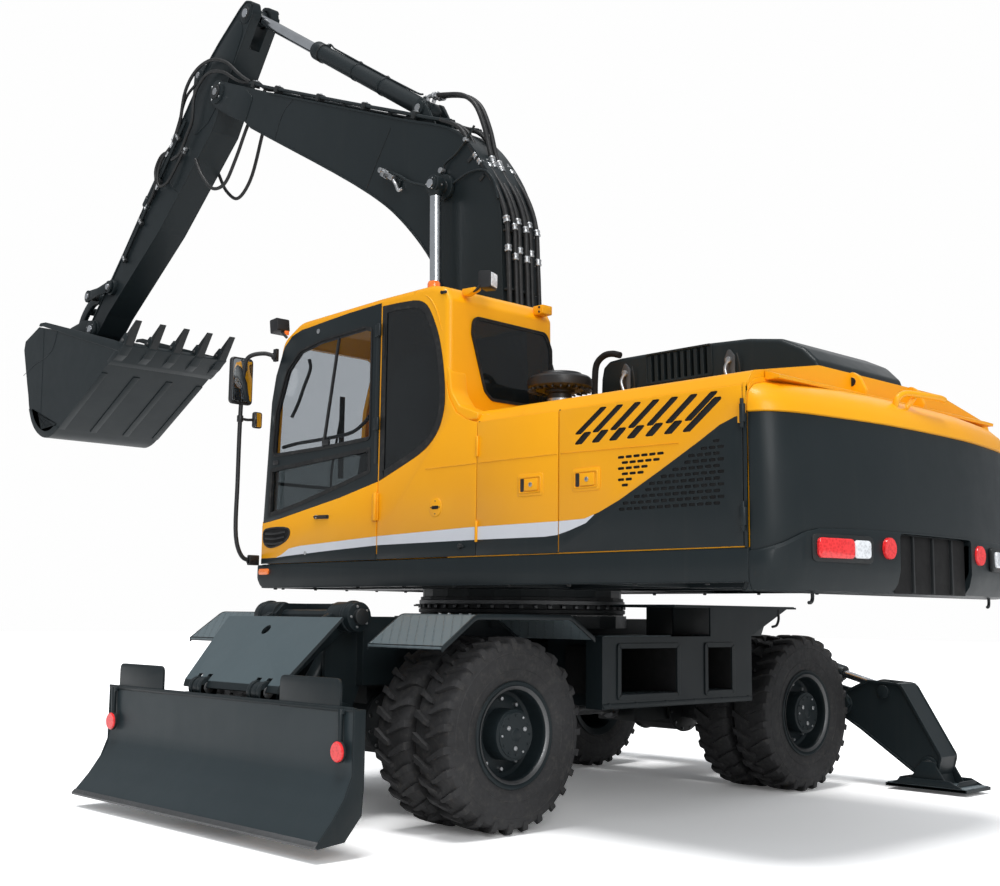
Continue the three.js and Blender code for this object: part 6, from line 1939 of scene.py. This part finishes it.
for z in (2350, 2950):
    low.rod("z", 15, (20, 1270), z - 40, z + 40, "dark", 18)
    low.box(24, 70, 1250, 1266, z - 38, z + 38, "dark", 3)
low.done("door_lower_panel", "cab_door", slot="yellow_paint", angle=28)
door_glass = Piece(UPPER)
door_glass.prism(inset(upper_window, -5), 1230, 1236, mat="pale_glass", bevel=0)
door_glass.prism(inset(lower_window, -5), 1230, 1236, mat="glass", bevel=0)
door_glass.done("door_panes", "cab_door", slot="black_plastic")
door_bits = Piece(UPPER)
ring(door_bits, inset(upper_window, -7), 14, 1240, 1257, "seal")
ring(door_bits, upper_window, 20, 1236, 1246, "black")
ring(door_bits, inset(lower_window, -4), 26, 1237, 1254, "seal")
door_bits.prism([(464, 2988), (482, 2987), (634, 2240), (614, 2240)], 1234, 1250, mat="black", bevel=2)
door_bits.tube(
    [
        (1137, 1206, 2300), (1000, 1190, 2316), (700, 1184, 2322), (378, 1186, 2340), (240, 1196, 2390),
        (180, 1206, 2420)
    ],
    12, "black", 10, 5
)
door_bits.tube(
    [(860, 1206, 2880), (880, 1180, 2830), (960, 1176, 2700), (1010, 1180, 2600), (1050, 1204, 2500)], 12,
    "black", 10, 5
)
door_bits.box(550, 620, 1238, 1258, 2262, 2300, "black", 5)
door_bits.box(1120, 1180, 1238, 1260, 2176, 2206, "black", 6)
door_bits.rod("y", 16, (700, 3045), 1250, 1257, "zinc", 20)
door_bits.box(30, 60, 1252, 1259, 2100, 2960, "dark", 2)
door_bits.box(44, 100, 1208, 1216, 2050, 2280, "trim", 6)
door_bits.done("door_fittings", "cab_door", slot="black_plastic", angle=30)

# ---------------------------------------------------------------- operator's place
seat = Piece(UPPER)
seat.box(-380, 980, 470, 1130, 1540, 1552, "black", 3)
for k in range(14):
    seat.box(-340 + k * 92, -300 + k * 92, 490, 1110, 1550, 1555, "black", 1.5)
seat.prism(
    fillet(
        [
            (-180, 1552), (250, 1552), (210, 1640), (200, 1740), (250, 1876), (-180, 1876), (-130, 1740),
            (-140, 1640)
        ],
        30
    ),
    640, 960, mat="trim", bevel=10
)
for k in range(5):
    seat.box(-150 + k * 6, 218 - k * 6, 634, 966, 1640 + k * 30, 1656 + k * 30, "black", 4)
seat.box(-236, 296, 586, 1014, 1876, 1930, "trim", 14, 3)
seat.prism(
    fillet([(-216, 1960), (-150, 1990), (-240, 2692), (-300, 2690), (-268, 1990)], 24), 600, 1000,
    mat="trim", bevel=14, segments=3
)
for y in (745, 855):
    seat.rod("z", 8, (-250, y), 2640, 2720, "zinc", 12)
for y0, y1 in ((500, 572), (1028, 1100)):
    seat.prism(
        fillet([(-200, 1975), (-150, 2110), (60, 2128), (330, 2118), (330, 2000), (240, 1962)], 30), y0, y1,
        mat="trim", bevel=10, segments=3
    )
    y = (y0 + y1) / 2
    seat.lathe(
        [(0, 2120), (30, 2120), (26, 2140), (14, 2160), (9, 2180), (0, 2190)], "z", (270, y), "black", 20
    )
    seat.tube([(270, y, 2150), (272, y, 2210), (282, y, 2260)], 8, "steel", 10)
    seat.lathe(
        [(0, 2238), (15, 2240), (22, 2262), (24, 2290), (18, 2318), (0, 2326)], "z", (284, y), "black", 20
    )
    for k in range(3):
        seat.rod("z", 7, (120 + 34 * k, y), 2124, 2134, "zinc" if k else "red", 12)
seat.prism(
    fillet([(820, 1552), (905, 1552), (850, 1760), (742, 2262), (684, 2256), (800, 1740)], 16), 760, 840,
    mat="trim", bevel=8
)
tilt = turned((690, 800, 2266), -0.32, "Y")
seat.tube(
    [(190 * math.cos(t), 190 * math.sin(t), 0) for t in [2 * math.pi * k / 32 for k in range(33)]], 15,
    "black", 12, 1, local=tilt
)
for t in (0.3, 2.4, 4.5):
    seat.tube(
        [(30 * math.cos(t), 30 * math.sin(t), -12), (182 * math.cos(t), 182 * math.sin(t), 0)], 11, "black",
        8, 2, local=tilt
    )
seat.lathe([(0, -30), (46, -26), (50, -4), (36, 8), (0, 12)], "z", mat="black", n=28, local=tilt)
seat.prism(rect(-60, 60, -40, 40, 12), 0, 30, "z", "trim", 6, local=turned((742, 690, 2290), -0.5, "Y"))
seat.prism(
    fillet([(930, 2040), (1150, 2260), (1170, 2230), (980, 1700), (930, 1700)], 20), 420, 470, mat="trim",
    bevel=8
)
for y in (720, 880):
    seat.prism(
        fillet([(880, 1560), (990, 1620), (984, 1634), (872, 1580)], 6), y - 46, y + 46, mat="black",
        bevel=3
    )
seat.box(-560, -420, 420, 1160, 1560, 1960, "trim", 14, 3)
seat.done("operator_place", "upper_structure", "operator_seat", slot="black_plastic", angle=30)


def pad(name, at, size, crown):
    """A crowned cushion: a rounded slab, fullest in its middle."""
    n = 20
    bm = bmesh.new()
    grid = {}
    for side in (1, -1):
        for i in range(n + 1):
            for j in range(n + 1):
                u, v = i / n * 2 - 1, j / n * 2 - 1
                if side < 0 and max(abs(u), abs(v)) > 0.999:
                    grid[side, i, j] = grid[1, i, j]
                    continue
                pinch = (1 - abs(u) ** 5) * (1 - abs(v) ** 5)
                edge = max(0.0, pinch) ** 0.34
                seam = 0.9 if abs(abs(u) - 0.62) < 0.06 or abs(abs(v) - 0.66) < 0.06 else 1.0
                bolster = 1 + (0.22 if abs(u) > 0.66 else 0)
                h = size[2] * (0.16 + 0.84 * edge) * seam * (1 if side < 0 else bolster) / 2
                h += crown * max(0.0, 1 - u * u) * max(0.0, 1 - v * v) * side
                round_corner = 1 - 0.045 * (abs(u) * abs(v)) ** 3
                grid[side, i, j] = bm.verts.new(
                    (
                        v * size[0] / 2 * round_corner, u * size[1] / 2 * round_corner,
                        h * side if max(abs(u), abs(v)) < 0.999 else 0
                    )
                )
    for side in (1, -1):
        for i in range(n):
            for j in range(n):
                face = [
                    grid[side, i, j], grid[side, i + 1, j], grid[side, i + 1, j + 1], grid[side, i, j + 1]
                ]
                bm.faces.new(face)
    p = Piece(UPPER, at)
    p.take(bm, "cloth")
    made = p.done(name, "upper_structure", slot="seat_cloth", angle=60)
    return made


pad("seat_cushion", Matrix.Translation((40, 800, 1962)), (540, 450, 104), 14)
pad(
    "seat_back", turned((-196, 800, 2350), -math.pi / 2 + 0.125, "Y") @ Matrix.Rotation(math.pi, 4, "Z"),
    (690, 430, 100), 12
)
pad(
    "seat_headrest", turned((-246, 800, 2770), -math.pi / 2 + 0.12, "Y") @ Matrix.Rotation(math.pi, 4, "Z"),
    (196, 236, 84), 8
)

# ---------------------------------------------------------------- mirrors
mirror = Piece(UPPER)
mirror.tube(
    [
        (1175, 1268, 2935), (1230, 1330, 2955), (1300, 1412, 2922), (1340, 1420, 2760), (1362, 1420, 2074),
        (1360, 1410, 1640), (1352, 1360, 1540), (1340, 1310, 1522)
    ],
    15, "black", 14, 7
)
mirror.prism(rect(1345, 1525, 2595, 2925, 34, 5), 1326, 1362, "x", "black", 12, 3)
mirror.prism(rect(1358, 1512, 2610, 2910, 26, 5), 1322, 1328, "x", "mirror", 1)
mirror.prism(rect(1256, 1326, 2444, 2558, 18, 4), 1332, 1360, "x", "black", 8, 3)
mirror.prism(rect(1264, 1318, 2452, 2550, 12, 4), 1328, 1334, "x", "mirror", 1)
mirror.tube([(1346, 1330, 2500), (1350, 1370, 2496), (1356, 1416, 2500)], 10, "black", 10)
mirror.rod("z", 24, (1358, 1420), 2730, 2790, "black", 20)
mirror.rod("z", 22, (1360, 1420), 2478, 2522, "black", 20)
mirror.rod("y", 26, (1180, 2936), 1262, 1286, "black", 20)
mirror.rod("y", 24, (1338, 1522), 1296, 1330, "black", 20)
mirror.done("left_mirror_set", "upper_structure", "left_mirror", slot="black_plastic", angle=30)
mirror = Piece(UPPER)
mirror.tube(
    [
        (1240, -1180, 1704), (1243, -1190, 2000), (1245, -1200, 2260), (1248, -1250, 2370),
        (1250, -1330, 2420)
    ],
    14, "black", 14, 6
)
mirror.prism(rect(-1440, -1262, 2340, 2640, 32, 5), 1228, 1264, "x", "black", 12, 3)
mirror.prism(rect(-1428, -1274, 2354, 2626, 24, 5), 1224, 1230, "x", "mirror", 1)
mirror.rod("z", 30, (1240, -1180), 1702, 1722, "black", 20)
mirror.done("right_mirror_set", "upper_structure", "right_mirror", slot="black_plastic", angle=30)

# ---------------------------------------------------------------- upper frame
slab_trim = Piece(UPPER)
for s in (1, -1):
    slab_trim.prism(
        fillet(
            [(-2764, 1492), (1330, 1492), (1336, 1480), (1336, 1398), (1290, 1340), (-2764, 1340)],
            [0, 10, 10, 50, 60, 0], 5
        ),
        s * 1240, s * 1252, mat="dark", bevel=3
    )
    for k in range(9):
        slab_trim.bolt("z", (1200 - k * 460, s * 1190), 1336, 13, 12, -1, "deep")
for y in range(-1100, 1101, 275):
    slab_trim.bolt("z", (1240, y), 1336, 11, 10, -1, "deep")
slab_trim.rod("z", 126, (-480, 0), 1486, 1600, "deep", 32)
slab_trim.rod("z", 92, (-480, 0), 1600, 1772, "steel", 32, 8)
slab_trim.box(-560, -400, -60, 60, 1640, 1740, "deep", 8)
for k in range(6):
    t = 2 * math.pi * k / 6
    slab_trim.bolt("z", (-480 + 112 * math.cos(t), 112 * math.sin(t)), 1600, 11, 12, 1, "zinc")
slab_trim.rod("y", 42, (30, 1875), -206, 206, "zinc", 28)
slab_trim.prism(rect(-80, 160, 176, 200, 4), 1850, 1900, "z", "deep", 3)
for s in (1, -1):
    slab_trim.rod("y", 88, (30, 1875), s * 178, s * 204, "dark", 36, 5)
    slab_trim.rod("y", 46, BOOM_CYLINDER_BASE, s * 312, s * 340, "zinc", 28)
    slab_trim.tube(
        [(-300, s * 60, 1560), (-240, s * 120, 1700), (-330, s * 190, 1720), (-430, s * 230, 1560)], 20,
        "hose", 12, 5
    )
for k in range(4):
    slab_trim.box(-360 + 62 * k, -312 + 62 * k, -330, -210, 1497, 1640, "deep", 6)
    slab_trim.rod("z", 14, (-336 + 62 * k, -270), 1640, 1670, "zinc", 14)
slab_trim.done("frame_fittings", "upper_structure", slot="dark_paint", angle=30)
dress("upper_frame", "dark")

# ---------------------------------------------------------------- swing ring
dress("swing_bearing", "deep")
ring_bolts = Piece(CARRIER)
for k in range(36):
    t = 2 * math.pi * k / 36
    ring_bolts.bolt("z", (655 * math.cos(t), 655 * math.sin(t)), 1284, 13, 14, 1, "steel")
ring_bolts.lathe([(691, 1180), (700, 1184), (700, 1206), (691, 1210)], "z", mat="deep", n=72)
ring_bolts.lathe([(691, 1236), (697, 1239), (697, 1262), (691, 1265)], "z", mat="steel", n=72)
for k in range(48):
    t = 2 * math.pi * k / 48
    ring_bolts.box(686, 704, -13, 13, 1212, 1234, "steel", 3, local=Matrix.Rotation(t, 4, "Z"))
ring_bolts.done("swing_ring_bolts", "chassis", slot="cast_metal")

# ---------------------------------------------------------------- axles and chassis
for name in ("front_axle", "rear_axle", "left_knuckle", "right_knuckle"):
    dress(name, "deep")
for name in ("chassis_frame", "left_step_box", "right_step_box", "blade_lower_arm"):
    dress(name, "dark")
axle = Piece(CARRIER)
for x in (1270, -1530):
    axle.lathe([(0, 527), (60, 527), (60, 540), (0, 540)], "z", (x, 0), "deep", 24)
    for s in (1, -1):
        axle.lathe(
            [
                (100, s * 172), (196, s * 172), (200, s * 180), (196, s * 196), (150, s * 206),
                (120, s * 232), (100, s * 236)
            ],
            "y", (x, 527), "deep", 40
        )
        for k in range(12):
            t = 2 * math.pi * (k + 0.5) / 12
            axle.bolt("y", (x + 178 * math.cos(t), 527 + 178 * math.sin(t)), s * 196, 11, 10, s, "steel")
        for k in (-60, 60):
            axle.bolt("z", (x + k, s * 420), 612, 12, 10, 1, "steel")
axle.rod("x", 50, (0, 527), -900, 1060, "steel", 28, 4)
for x in (-900, 1050):
    axle.rod("x", 84, (0, 527), x - 16, x + 16, "steel", 28, 5)
    for k in range(4):
        t = math.pi * (k / 2 + 0.25)
        axle.box(x - 34, x + 34, 60, 84, -16, 16, "steel", 4, local=turned((0, 0, 527), t, "X"))
for s in (1, -1):
    axle.tube(
        [(1180, s * 180, 620), (1100, s * 260, 700), (1000, s * 300, 760), (900, s * 310, 820)], 11, "hose",
        10, 5
    )
    axle.tube(
        [(-1440, s * 180, 620), (-1300, s * 240, 700), (-1180, s * 300, 760), (-1100, s * 310, 830)], 11,
        "hose", 10, 5
    )
    for k in range(7):
        axle.bolt("y", (-1000 + k * 360, 1100), s * 330, 12, 10, s, "deep")
    axle.prism(rect(-500, 700, 830, 862, 10), s * 330, s * 340, mat="dark", bevel=2)
    axle.tube(
        [(820, s * 348, 990), (400, s * 350, 1000), (0, s * 350, 990), (-900, s * 350, 1000)], 10, "dark",
        10, 4
    )
    axle.tube(
        [(820, s * 350, 940), (400, s * 352, 946), (0, s * 352, 940), (-900, s * 352, 950)], 10, "dark", 10,
        4
    )
axle.done("chassis_fittings", "chassis", slot="cast_metal", angle=30)

for s, side_name, _ in SIDES:
    basis = CARRIER if s > 0 else CARRIER @ MIRROR
    knuckle_caps = Piece(basis, Matrix.Translation((1270, 560, 527)))
    for z in (1, -1):
        knuckle_caps.rod("z", 58, (0, 0), *span(z, 188, 204), "dark", 32, 4)
        for k in range(4):
            t = math.pi * (k / 2 + 0.25)
            knuckle_caps.bolt("z", (42 * math.cos(t), 42 * math.sin(t)), z * 204, 8, 8, z, "zinc")
    knuckle_caps.done(f"{side_name}_knuckle_caps", f"{side_name}_knuckle", slot="cast_metal")

    # step box: lips round its rooms, tread on top and a step
    box = Piece(basis)
    # each room is lined with near-black sheets at its back, sides and top: painted shade
    for x0, x1 in ((-112, 426), (-672, -405)):
        ring(box, rect(x0 - 22, x1 + 22, 682, 1011, 24, 4), 30, 1246, 1258, "dark")
        box.box(x0 + 6, x1 - 6, 804, 812, 712, 982, "black_and_painted_shade", 2)
        box.box(x0 + 8, x1 - 8, 1020, 1250, 704, 712, "tread", 1)
        box.box(x0 + 2, x0 + 10, 812, 1246, 706, 986, "black_and_painted_shade", 1)
        box.box(x1 - 10, x1 - 2, 812, 1246, 706, 986, "black_and_painted_shade", 1)
        box.box(x0 + 6, x1 - 6, 812, 1246, 980, 988, "black_and_painted_shade", 1)
    box.prism(rect(-870, -560, 1010, 1244, 16), 1050, 1056, "z", "tread", 1)
    box.prism(fillet([(-70, 900), (560, 1130), (560, 1244), (-70, 1244)], 16), 1050, 1056, "z", "tread", 1)
    box.prism(rect(-1404, -96, 728, 1244, 16), 1240, 1245, "z", "tread", 1)
    for k in range(6):
        box.bolt("y", (-840 + k * 280 if k < 5 else 520, 660), 1250, 9, 7, 1, "dark")
    box.prism(
        fillet([(-880, 634), (-560, 634), (560, 634), (574, 650), (574, 664), (-884, 664)], 8), 1248, 1256,
        mat="dark", bevel=2
    )
    box.done(f"{side_name}_step_fittings", "chassis", slot="dark_paint", angle=30)

    # fender with rolled edges
    top = fillet([(1810, 1000), (1572, 1169), (840, 1169), (636, 1043)], [0, 90, 90, 0], 6)
    low_line = [(x, z - 11) for x, z in reversed(top)]
    fender = Piece(basis).prism(top + low_line, 627, 1244, mat="tread", bevel=0)
    edge = [(x, z + 4) for x, z in top] + [(x, z - 26) for x, z in reversed(top)]
    fender.prism(edge, 1240, 1251, mat="dark", bevel=2)
    fender.prism(edge, 622, 632, mat="dark", bevel=2)
    fender.box(1794, 1808, 630, 1246, 984, 1008, "dark", 3)
    fender.box(1150, 1390, 336, 665, 1084, 1158, "dark", 4)
    for x in (1190, 1350):
        for y in (700, 780):
            fender.bolt("z", (x, y), 1169, 10, 7, 1, "zinc")
    fender.done(
        f"{side_name}_fender_plate", "chassis", f"{side_name}_front_fender", slot="dark_paint", angle=30
    )
    hang = Piece(basis)
    hang.tube(
        [(-1200, 1246, 1225), (-1200, 1250, 1160), (-1180, 1246, 1120), (-1140, 1240, 1110)], 9, "deep", 8
    )
    hang.prism(
        fillet([(-1000, 1050), (-880, 1050), (-860, 1228), (-1100, 1228)], 12), 1236, 1248, mat="dark",
        bevel=2
    )
    hang.done(f"{side_name}_deck_stay", "chassis", slot="dark_paint")

# ---------------------------------------------------------------- dozer blade
face = [(2360, 703), (2360, 392), (2382, 330), (2404, 286), (2440, 236), (2474, 190), (2520, 138), (2560, 92)]
face = [tuple(p) for p in smooth_line([Vector(p) for p in face], 4)]
body_line = face + [(2572, 76), (2556, 68), (2330, 92), (2202, 330), (2202, 703)]
# the mouldboard takes the lighter slate copy as painted light
mould = Piece(CARRIER).prism(body_line, -1238, 1238, mat="face", bevel=0)
hollow = [
    (2100, 686), (2100, 60), (2490, 78), (2498, 130), (2452, 178), (2384, 278), (2340, 386), (2340, 686)
]
back_cut = [Piece(CARRIER).box(2190, 2290, *span(s, 560, 1220), 60, 690, bevel=0) for s in (1, -1)]
mould_cuts = [
    Piece(CARRIER).prism(
        [(2100, 800), (2100, 20), (2330, 20), (2420, 84), (2300, 200), (2290, 330), (2290, 800)],
        *span(s, 560, 1300), bevel=0
    )
    for s in (1, -1)
]
mould_cuts += [Piece(CARRIER).prism(hollow, -1218, 1218, bevel=0)] + [
    Piece(CARRIER).box(2190, 2335, *span(s, 268, 334), 670, 720, bevel=0) for s in (1, -1)
]
mould.done("blade_mouldboard", "blade", "dozer_blade", cut=mould_cuts + back_cut, angle=26)
blade = Piece(CARRIER)
for s in (1, -1):
    for y0, y1 in ((240, 268), (334, 362)):
        a, b = span(s, y0, y1)
        rib = [
            (2215, 690), (2215, 330), (2200, 160), (2330, 110), (2470, 112), (2444, 180), (2380, 285),
            (2340, 400), (2340, 690)
        ]
        blade.prism(fillet(rib, 20), a, b, mat="dark", bevel=3)
        blade.rod("y", 62, (2260, 190), a, b, "dark", 32, 4)
        blade.rod("y", 62, (2270, 740), a, b, "dark", 32, 4)
        blade.prism(
            fillet([(2214, 680), (2326, 680), (2322, 760), (2218, 760)], 10), a, b, mat="dark", bevel=3
        )
    for z in (190, 740):
        x = 2260 if z == 190 else 2270
        blade.rod("y", 32, (x, z), *span(s, 236, 366), "steel", 24, 3)
    blade.prism(
        rect(600, 1120, 688, 850, [0, 0, 40, 40], 5), 2345, 2361, "x", "dark", 3,
        local=MIRROR if s < 0 else None
    )
    end = [
        (2362, 704), (2362, 392), (2404, 288), (2474, 190), (2562, 92), (2574, 78), (2556, 68), (2400, 84),
        (2300, 200), (2290, 330), (2290, 704)
    ]
    blade.prism(end, s * 1228, s * 1241, mat="dark", bevel=3)
    blade.rod("z", 14, (2376, s * 1150), 500, 706, "dark", 16, 3)
    blade.box(2358, 2378, s * 1150 - 22, s * 1150 + 22, 680, 704, "dark", 3)
    # the reflector's red lens glows a little: a painted glow, since a reflector is no lamp
    blade.lathe([(0, 2399), (45, 2399), (50, 2394), (50, 2378), (0, 2378)], "x", (s * 1150, 500), "red", 36)
    blade.lathe([(0, 2388), (54, 2388), (54, 2376), (0, 2376)], "x", (s * 1150, 500), "deep", 36)
blade.box(2334, 2368, -1236, 1236, 692, 712, "dark", 6)
blade.prism(
    [(2552, 98), (2559, 103), (2580, 82), (2576, 70), (2556, 66), (2548, 84)], -1240, 1240, mat="steel",
    bevel=1.5
)
blade.tube([(2362, -1236, 712), (2362, 1236, 712)], 5, "dark", 8, 1)
blade.done("blade_fittings", "blade", slot="dark_paint", angle=30)

# guard plate with its arms
guard = Piece(CARRIER)
# the guard's sloping face takes the lighter slate copy as painted top light
guard.prism([(1944, 1148), (1934, 1136), (2268, 768), (2284, 780)], -575, 575, mat="guard_painted_light", bevel=2)
guard.prism([(2268, 768), (2284, 780), (2296, 742), (2284, 736)], -575, 575, mat="dark", bevel=2)
flanks = [
    Piece(CARRIER).prism(
        [
            (1900, s * 585), (1940, s * 571), (2290, s * 478), (2330, s * 478), (2330, s * 700),
            (1900, s * 700)
        ],
        690, 1190, "z", bevel=0
    )
    for s in (1, -1)
]
notch_sides = ((228, 272), (330, 374))
notches = [
    Piece(CARRIER).rod("y", 78, (2270, 740), *span(s, a, b), n=32, bevel=0) for a, b in notch_sides
    for s in (1, -1)
]
hole_at = turned((2010, -60, 1066), 0.824, "Y")
guard.done(
    "guard_plate", "blade_link",
    cut=notches + flanks + [Piece(CARRIER).rod("z", 34, (0, 0), -60, 60, n=32, bevel=0, local=hole_at)],
    angle=28
)
arms = Piece(CARRIER)
web = fillet([(1750, 1212), (1716, 1090), (2225, 705), (2270, 752), (1926, 1122)], [40, 40, 30, 30, 60], 4)
for s in (1, -1):
    a, b = span(s, 276, 326)
    arms.prism(web, a, b, mat="dark", bevel=4)
    arms.rod("y", 84, (1750, 1150), *span(s, 274, 472), "dark", 36, 6)
    arms.rod("y", 92, (1750, 1150), *span(s, 400, 424), "dark", 36, 4)
    arms.rod("y", 46, (1750, 1150), *span(s, 470, 500), "deep", 28, 5)
    arms.rod("y", 57, (2270, 740), a, b, "dark", 32, 4)
    for k in range(5):
        t = 2 * math.pi * k / 5
        arms.bolt("y", (1750 + 60 * math.cos(t), 1150 + 60 * math.sin(t)), s * 472, 8, 7, s, "zinc")
arms.done("guard_arms", "blade_link", "blade_upper_link", angle=30)
lower = Piece(CARRIER)
for s in (1, -1):
    for x, z in ((1740, 600), (2260, 190)):
        lower.rod("y", 66, (x, z), *span(s, 274, 330), "dark", 32, 5, hole=42)
    lower.rod("y", 30, (2120, 350), *span(s, 70, 232), "steel", 24, 3)
    lower.tube([(1800, s * 332, 560), (1900, s * 334, 480), (2100, s * 334, 320)], 8, "hose", 8, 4)
lower.rod("y", 48, (1900, 440), -276, 276, "dark", 32, 4)
lower.done("blade_arm_fittings", "blade_arm", slot="dark_paint", angle=30)

# ---------------------------------------------------------------- outriggers
for s, side_name, _ in SIDES:
    basis = CARRIER if s > 0 else CARRIER @ MIRROR
    dress(f"{side_name}_outrigger_leg", "dark")
    leg = Piece(basis)
    for x in (-2384, -2176):
        leg.rod("x", 74, (1130, 560), x - 12, x + 12, "dark", 36, 5)
    rim_line = fillet(
        [
            (1060, 570), (1110, 632), (1330, 735), (1590, 720), (1885, 240), (1850, 120), (1700, 110),
            (1620, 160), (1270, 390), (1100, 488)
        ],
        [40, 40, 60, 80, 60, 30, 30, 60, 90, 40], 5
    )
    for x in (-2386, -2174):
        ring(leg, inset(rim_line, -4), 16, x - 7, x + 7, "dark", "x")
    leg.prism(rect(1494, 2086, 24, 44, 6), -2450, -2110, "x", "dark", 3)
    leg.box(-2440, -2120, 1500, 2080, 42, 50, "tread", 2)
    for x in (-2440, -2132):
        leg.prism([(1520, 44), (2060, 44), (1960, 90), (1640, 90)], x, x + 12, "x", "dark", 2)
    leg.rod("x", 40, (1780, 110), -2400, -2160, "steel", 28, 4)
    leg.rod("x", 34, (1453, 671), -2340, -2220, "steel", 24, 3)
    for x in (-2388, -2172):
        leg.rod("x", 62, (1788, 176), x - 10, x + 10, "dark", 36, 5)
        leg.rod("x", 40, (1788, 176), x - 16, x + 16, "deep", 28, 3)
        leg.rod("x", 40, (1130, 560), x - 20, x + 20, "deep", 28, 3)
        leg.rod("x", 46, (1453, 660), x - 9, x + 9, "dark", 28, 4)
    for x in (-2404, -2160):
        leg.prism(
            [(1640, 46), (1936, 46), (1872, 150), (1836, 206), (1750, 206), (1700, 150)], x, x + 12, "x",
            "dark", 2
        )
    for y in (1560, 2000):
        leg.prism([(-2440, 46), (-2120, 46), (-2180, 86), (-2380, 86)], y, y + 12, "y", "dark", 2)
    leg.tube(
        [(-2200, 1170, 640), (-2190, 1300, 700), (-2200, 1420, 730), (-2240, 1470, 720)], 9, "hose", 10, 5
    )
    leg.done(f"{side_name}_outrigger_fittings", f"{side_name}_outrigger", slot="dark_paint", angle=30)
tail = Piece(CARRIER)
for s in (1, -1):
    tail.prism(rect(-2300, -2160, 500, 640, 12), s * 958, s * 966, mat="dark", bevel=2)
    tail.box(-2430, -2424, s * 500 - 90, s * 500 + 90, 620, 690, "deep", 3)
    tail.prism(rect(s * 420, s * 580, 630, 680, 14), -2440, -2429, "x", "red", 3)
    tail.tube(
        [(-2250, s * 300, 810), (-2280, s * 480, 900), (-2280, s * 560, 940), (-2270, s * 640, 930)], 11,
        "hose", 10, 5
    )
    tail.rod("x", 54, (s * 600, 900), -2382, -2350, "dark", 28, 4)
tail.rod("z", 30, (-2390, 0), 780, 860, "steel", 28, 6)
tail.box(-2420, -2340, -70, 70, 640, 780, "deep", 8)
tail.done("rear_beam_fittings", "chassis", slot="dark_paint", angle=30)

# ---------------------------------------------------------------- floor, light and output
WORLD_LIGHT = 0.36
FLOOR_HALF, FLOOR_DROP = 60, 0.001
FLOOR_SEEN, FLOOR_GLOW = 1.5, 0.06
# name, direction it comes from, its width in degrees, its strength
SUNS = [("key", (3, 1, 15), 24, 1.9), ("side", (8, 14, 7), 30, 1.15), ("back", (-13, -5, 9), 35, 0.15)]


def studio():
    """A white room whose floor keeps the shadow, lit by three wide suns."""
    scene = bpy.context.scene
    world = bpy.data.worlds.new("studio")
    scene.world = world
    world.use_nodes = True
    tree = world.node_tree
    tree.nodes.clear()
    out = tree.nodes.new("ShaderNodeOutputWorld")
    seen = tree.nodes.new("ShaderNodeBackground")
    seen.inputs["Color"].default_value = rgb(254, 254, 254)
    lit = tree.nodes.new("ShaderNodeBackground")
    lit.inputs["Color"].default_value = (0.93, 0.96, 1.0, 1)
    lit.inputs["Strength"].default_value = WORLD_LIGHT
    path = tree.nodes.new("ShaderNodeLightPath")
    mix = tree.nodes.new("ShaderNodeMixShader")
    tree.links.new(path.outputs["Is Camera Ray"], mix.inputs[0])
    tree.links.new(lit.outputs[0], mix.inputs[1])
    tree.links.new(seen.outputs[0], mix.inputs[2])
    tree.links.new(mix.outputs[0], out.inputs["Surface"])
    mesh = bpy.data.meshes.new("floor")
    corners = [(x * FLOOR_HALF, y * FLOOR_HALF, -FLOOR_DROP) for x, y in ((-1, -1), (1, -1), (1, 1), (-1, 1))]
    mesh.from_pydata(corners, [], [(0, 1, 2, 3)])
    floor = bpy.data.objects.new("floor", mesh)
    scene.collection.objects.link(floor)
    n = Nodes("studio_floor")
    seen = n.node("ShaderNodeLightPath").outputs["Is Camera Ray"]
    plain = n.mix(n.ramp(n.noise(0.35, 3), 0.3, 0.7), rgb(242, 242, 242), rgb(247, 247, 247))
    n.link(n.mix(seen, plain, (FLOOR_SEEN, FLOOR_SEEN, FLOOR_SEEN, 1)), "Base Color")
    n.bsdf.inputs["Roughness"].default_value = 0.9
    n.bsdf.inputs["Specular IOR Level"].default_value = 0.1
    n.bsdf.inputs["Emission Color"].default_value = (1, 1, 1, 1)
    n.link(n.maths("MULTIPLY", seen, FLOOR_GLOW), "Emission Strength")
    mesh.materials.append(n.material)
    for name, place, angle, power in SUNS:
        data = bpy.data.lights.new(name, "SUN")
        data.angle = math.radians(angle)
        data.energy = power
        light = bpy.data.objects.new(name, data)
        light.rotation_euler = Vector(place).to_track_quat("Z", "Y").to_euler()
        scene.collection.objects.link(light)
    scene.view_settings.view_transform = "Standard"


studio()
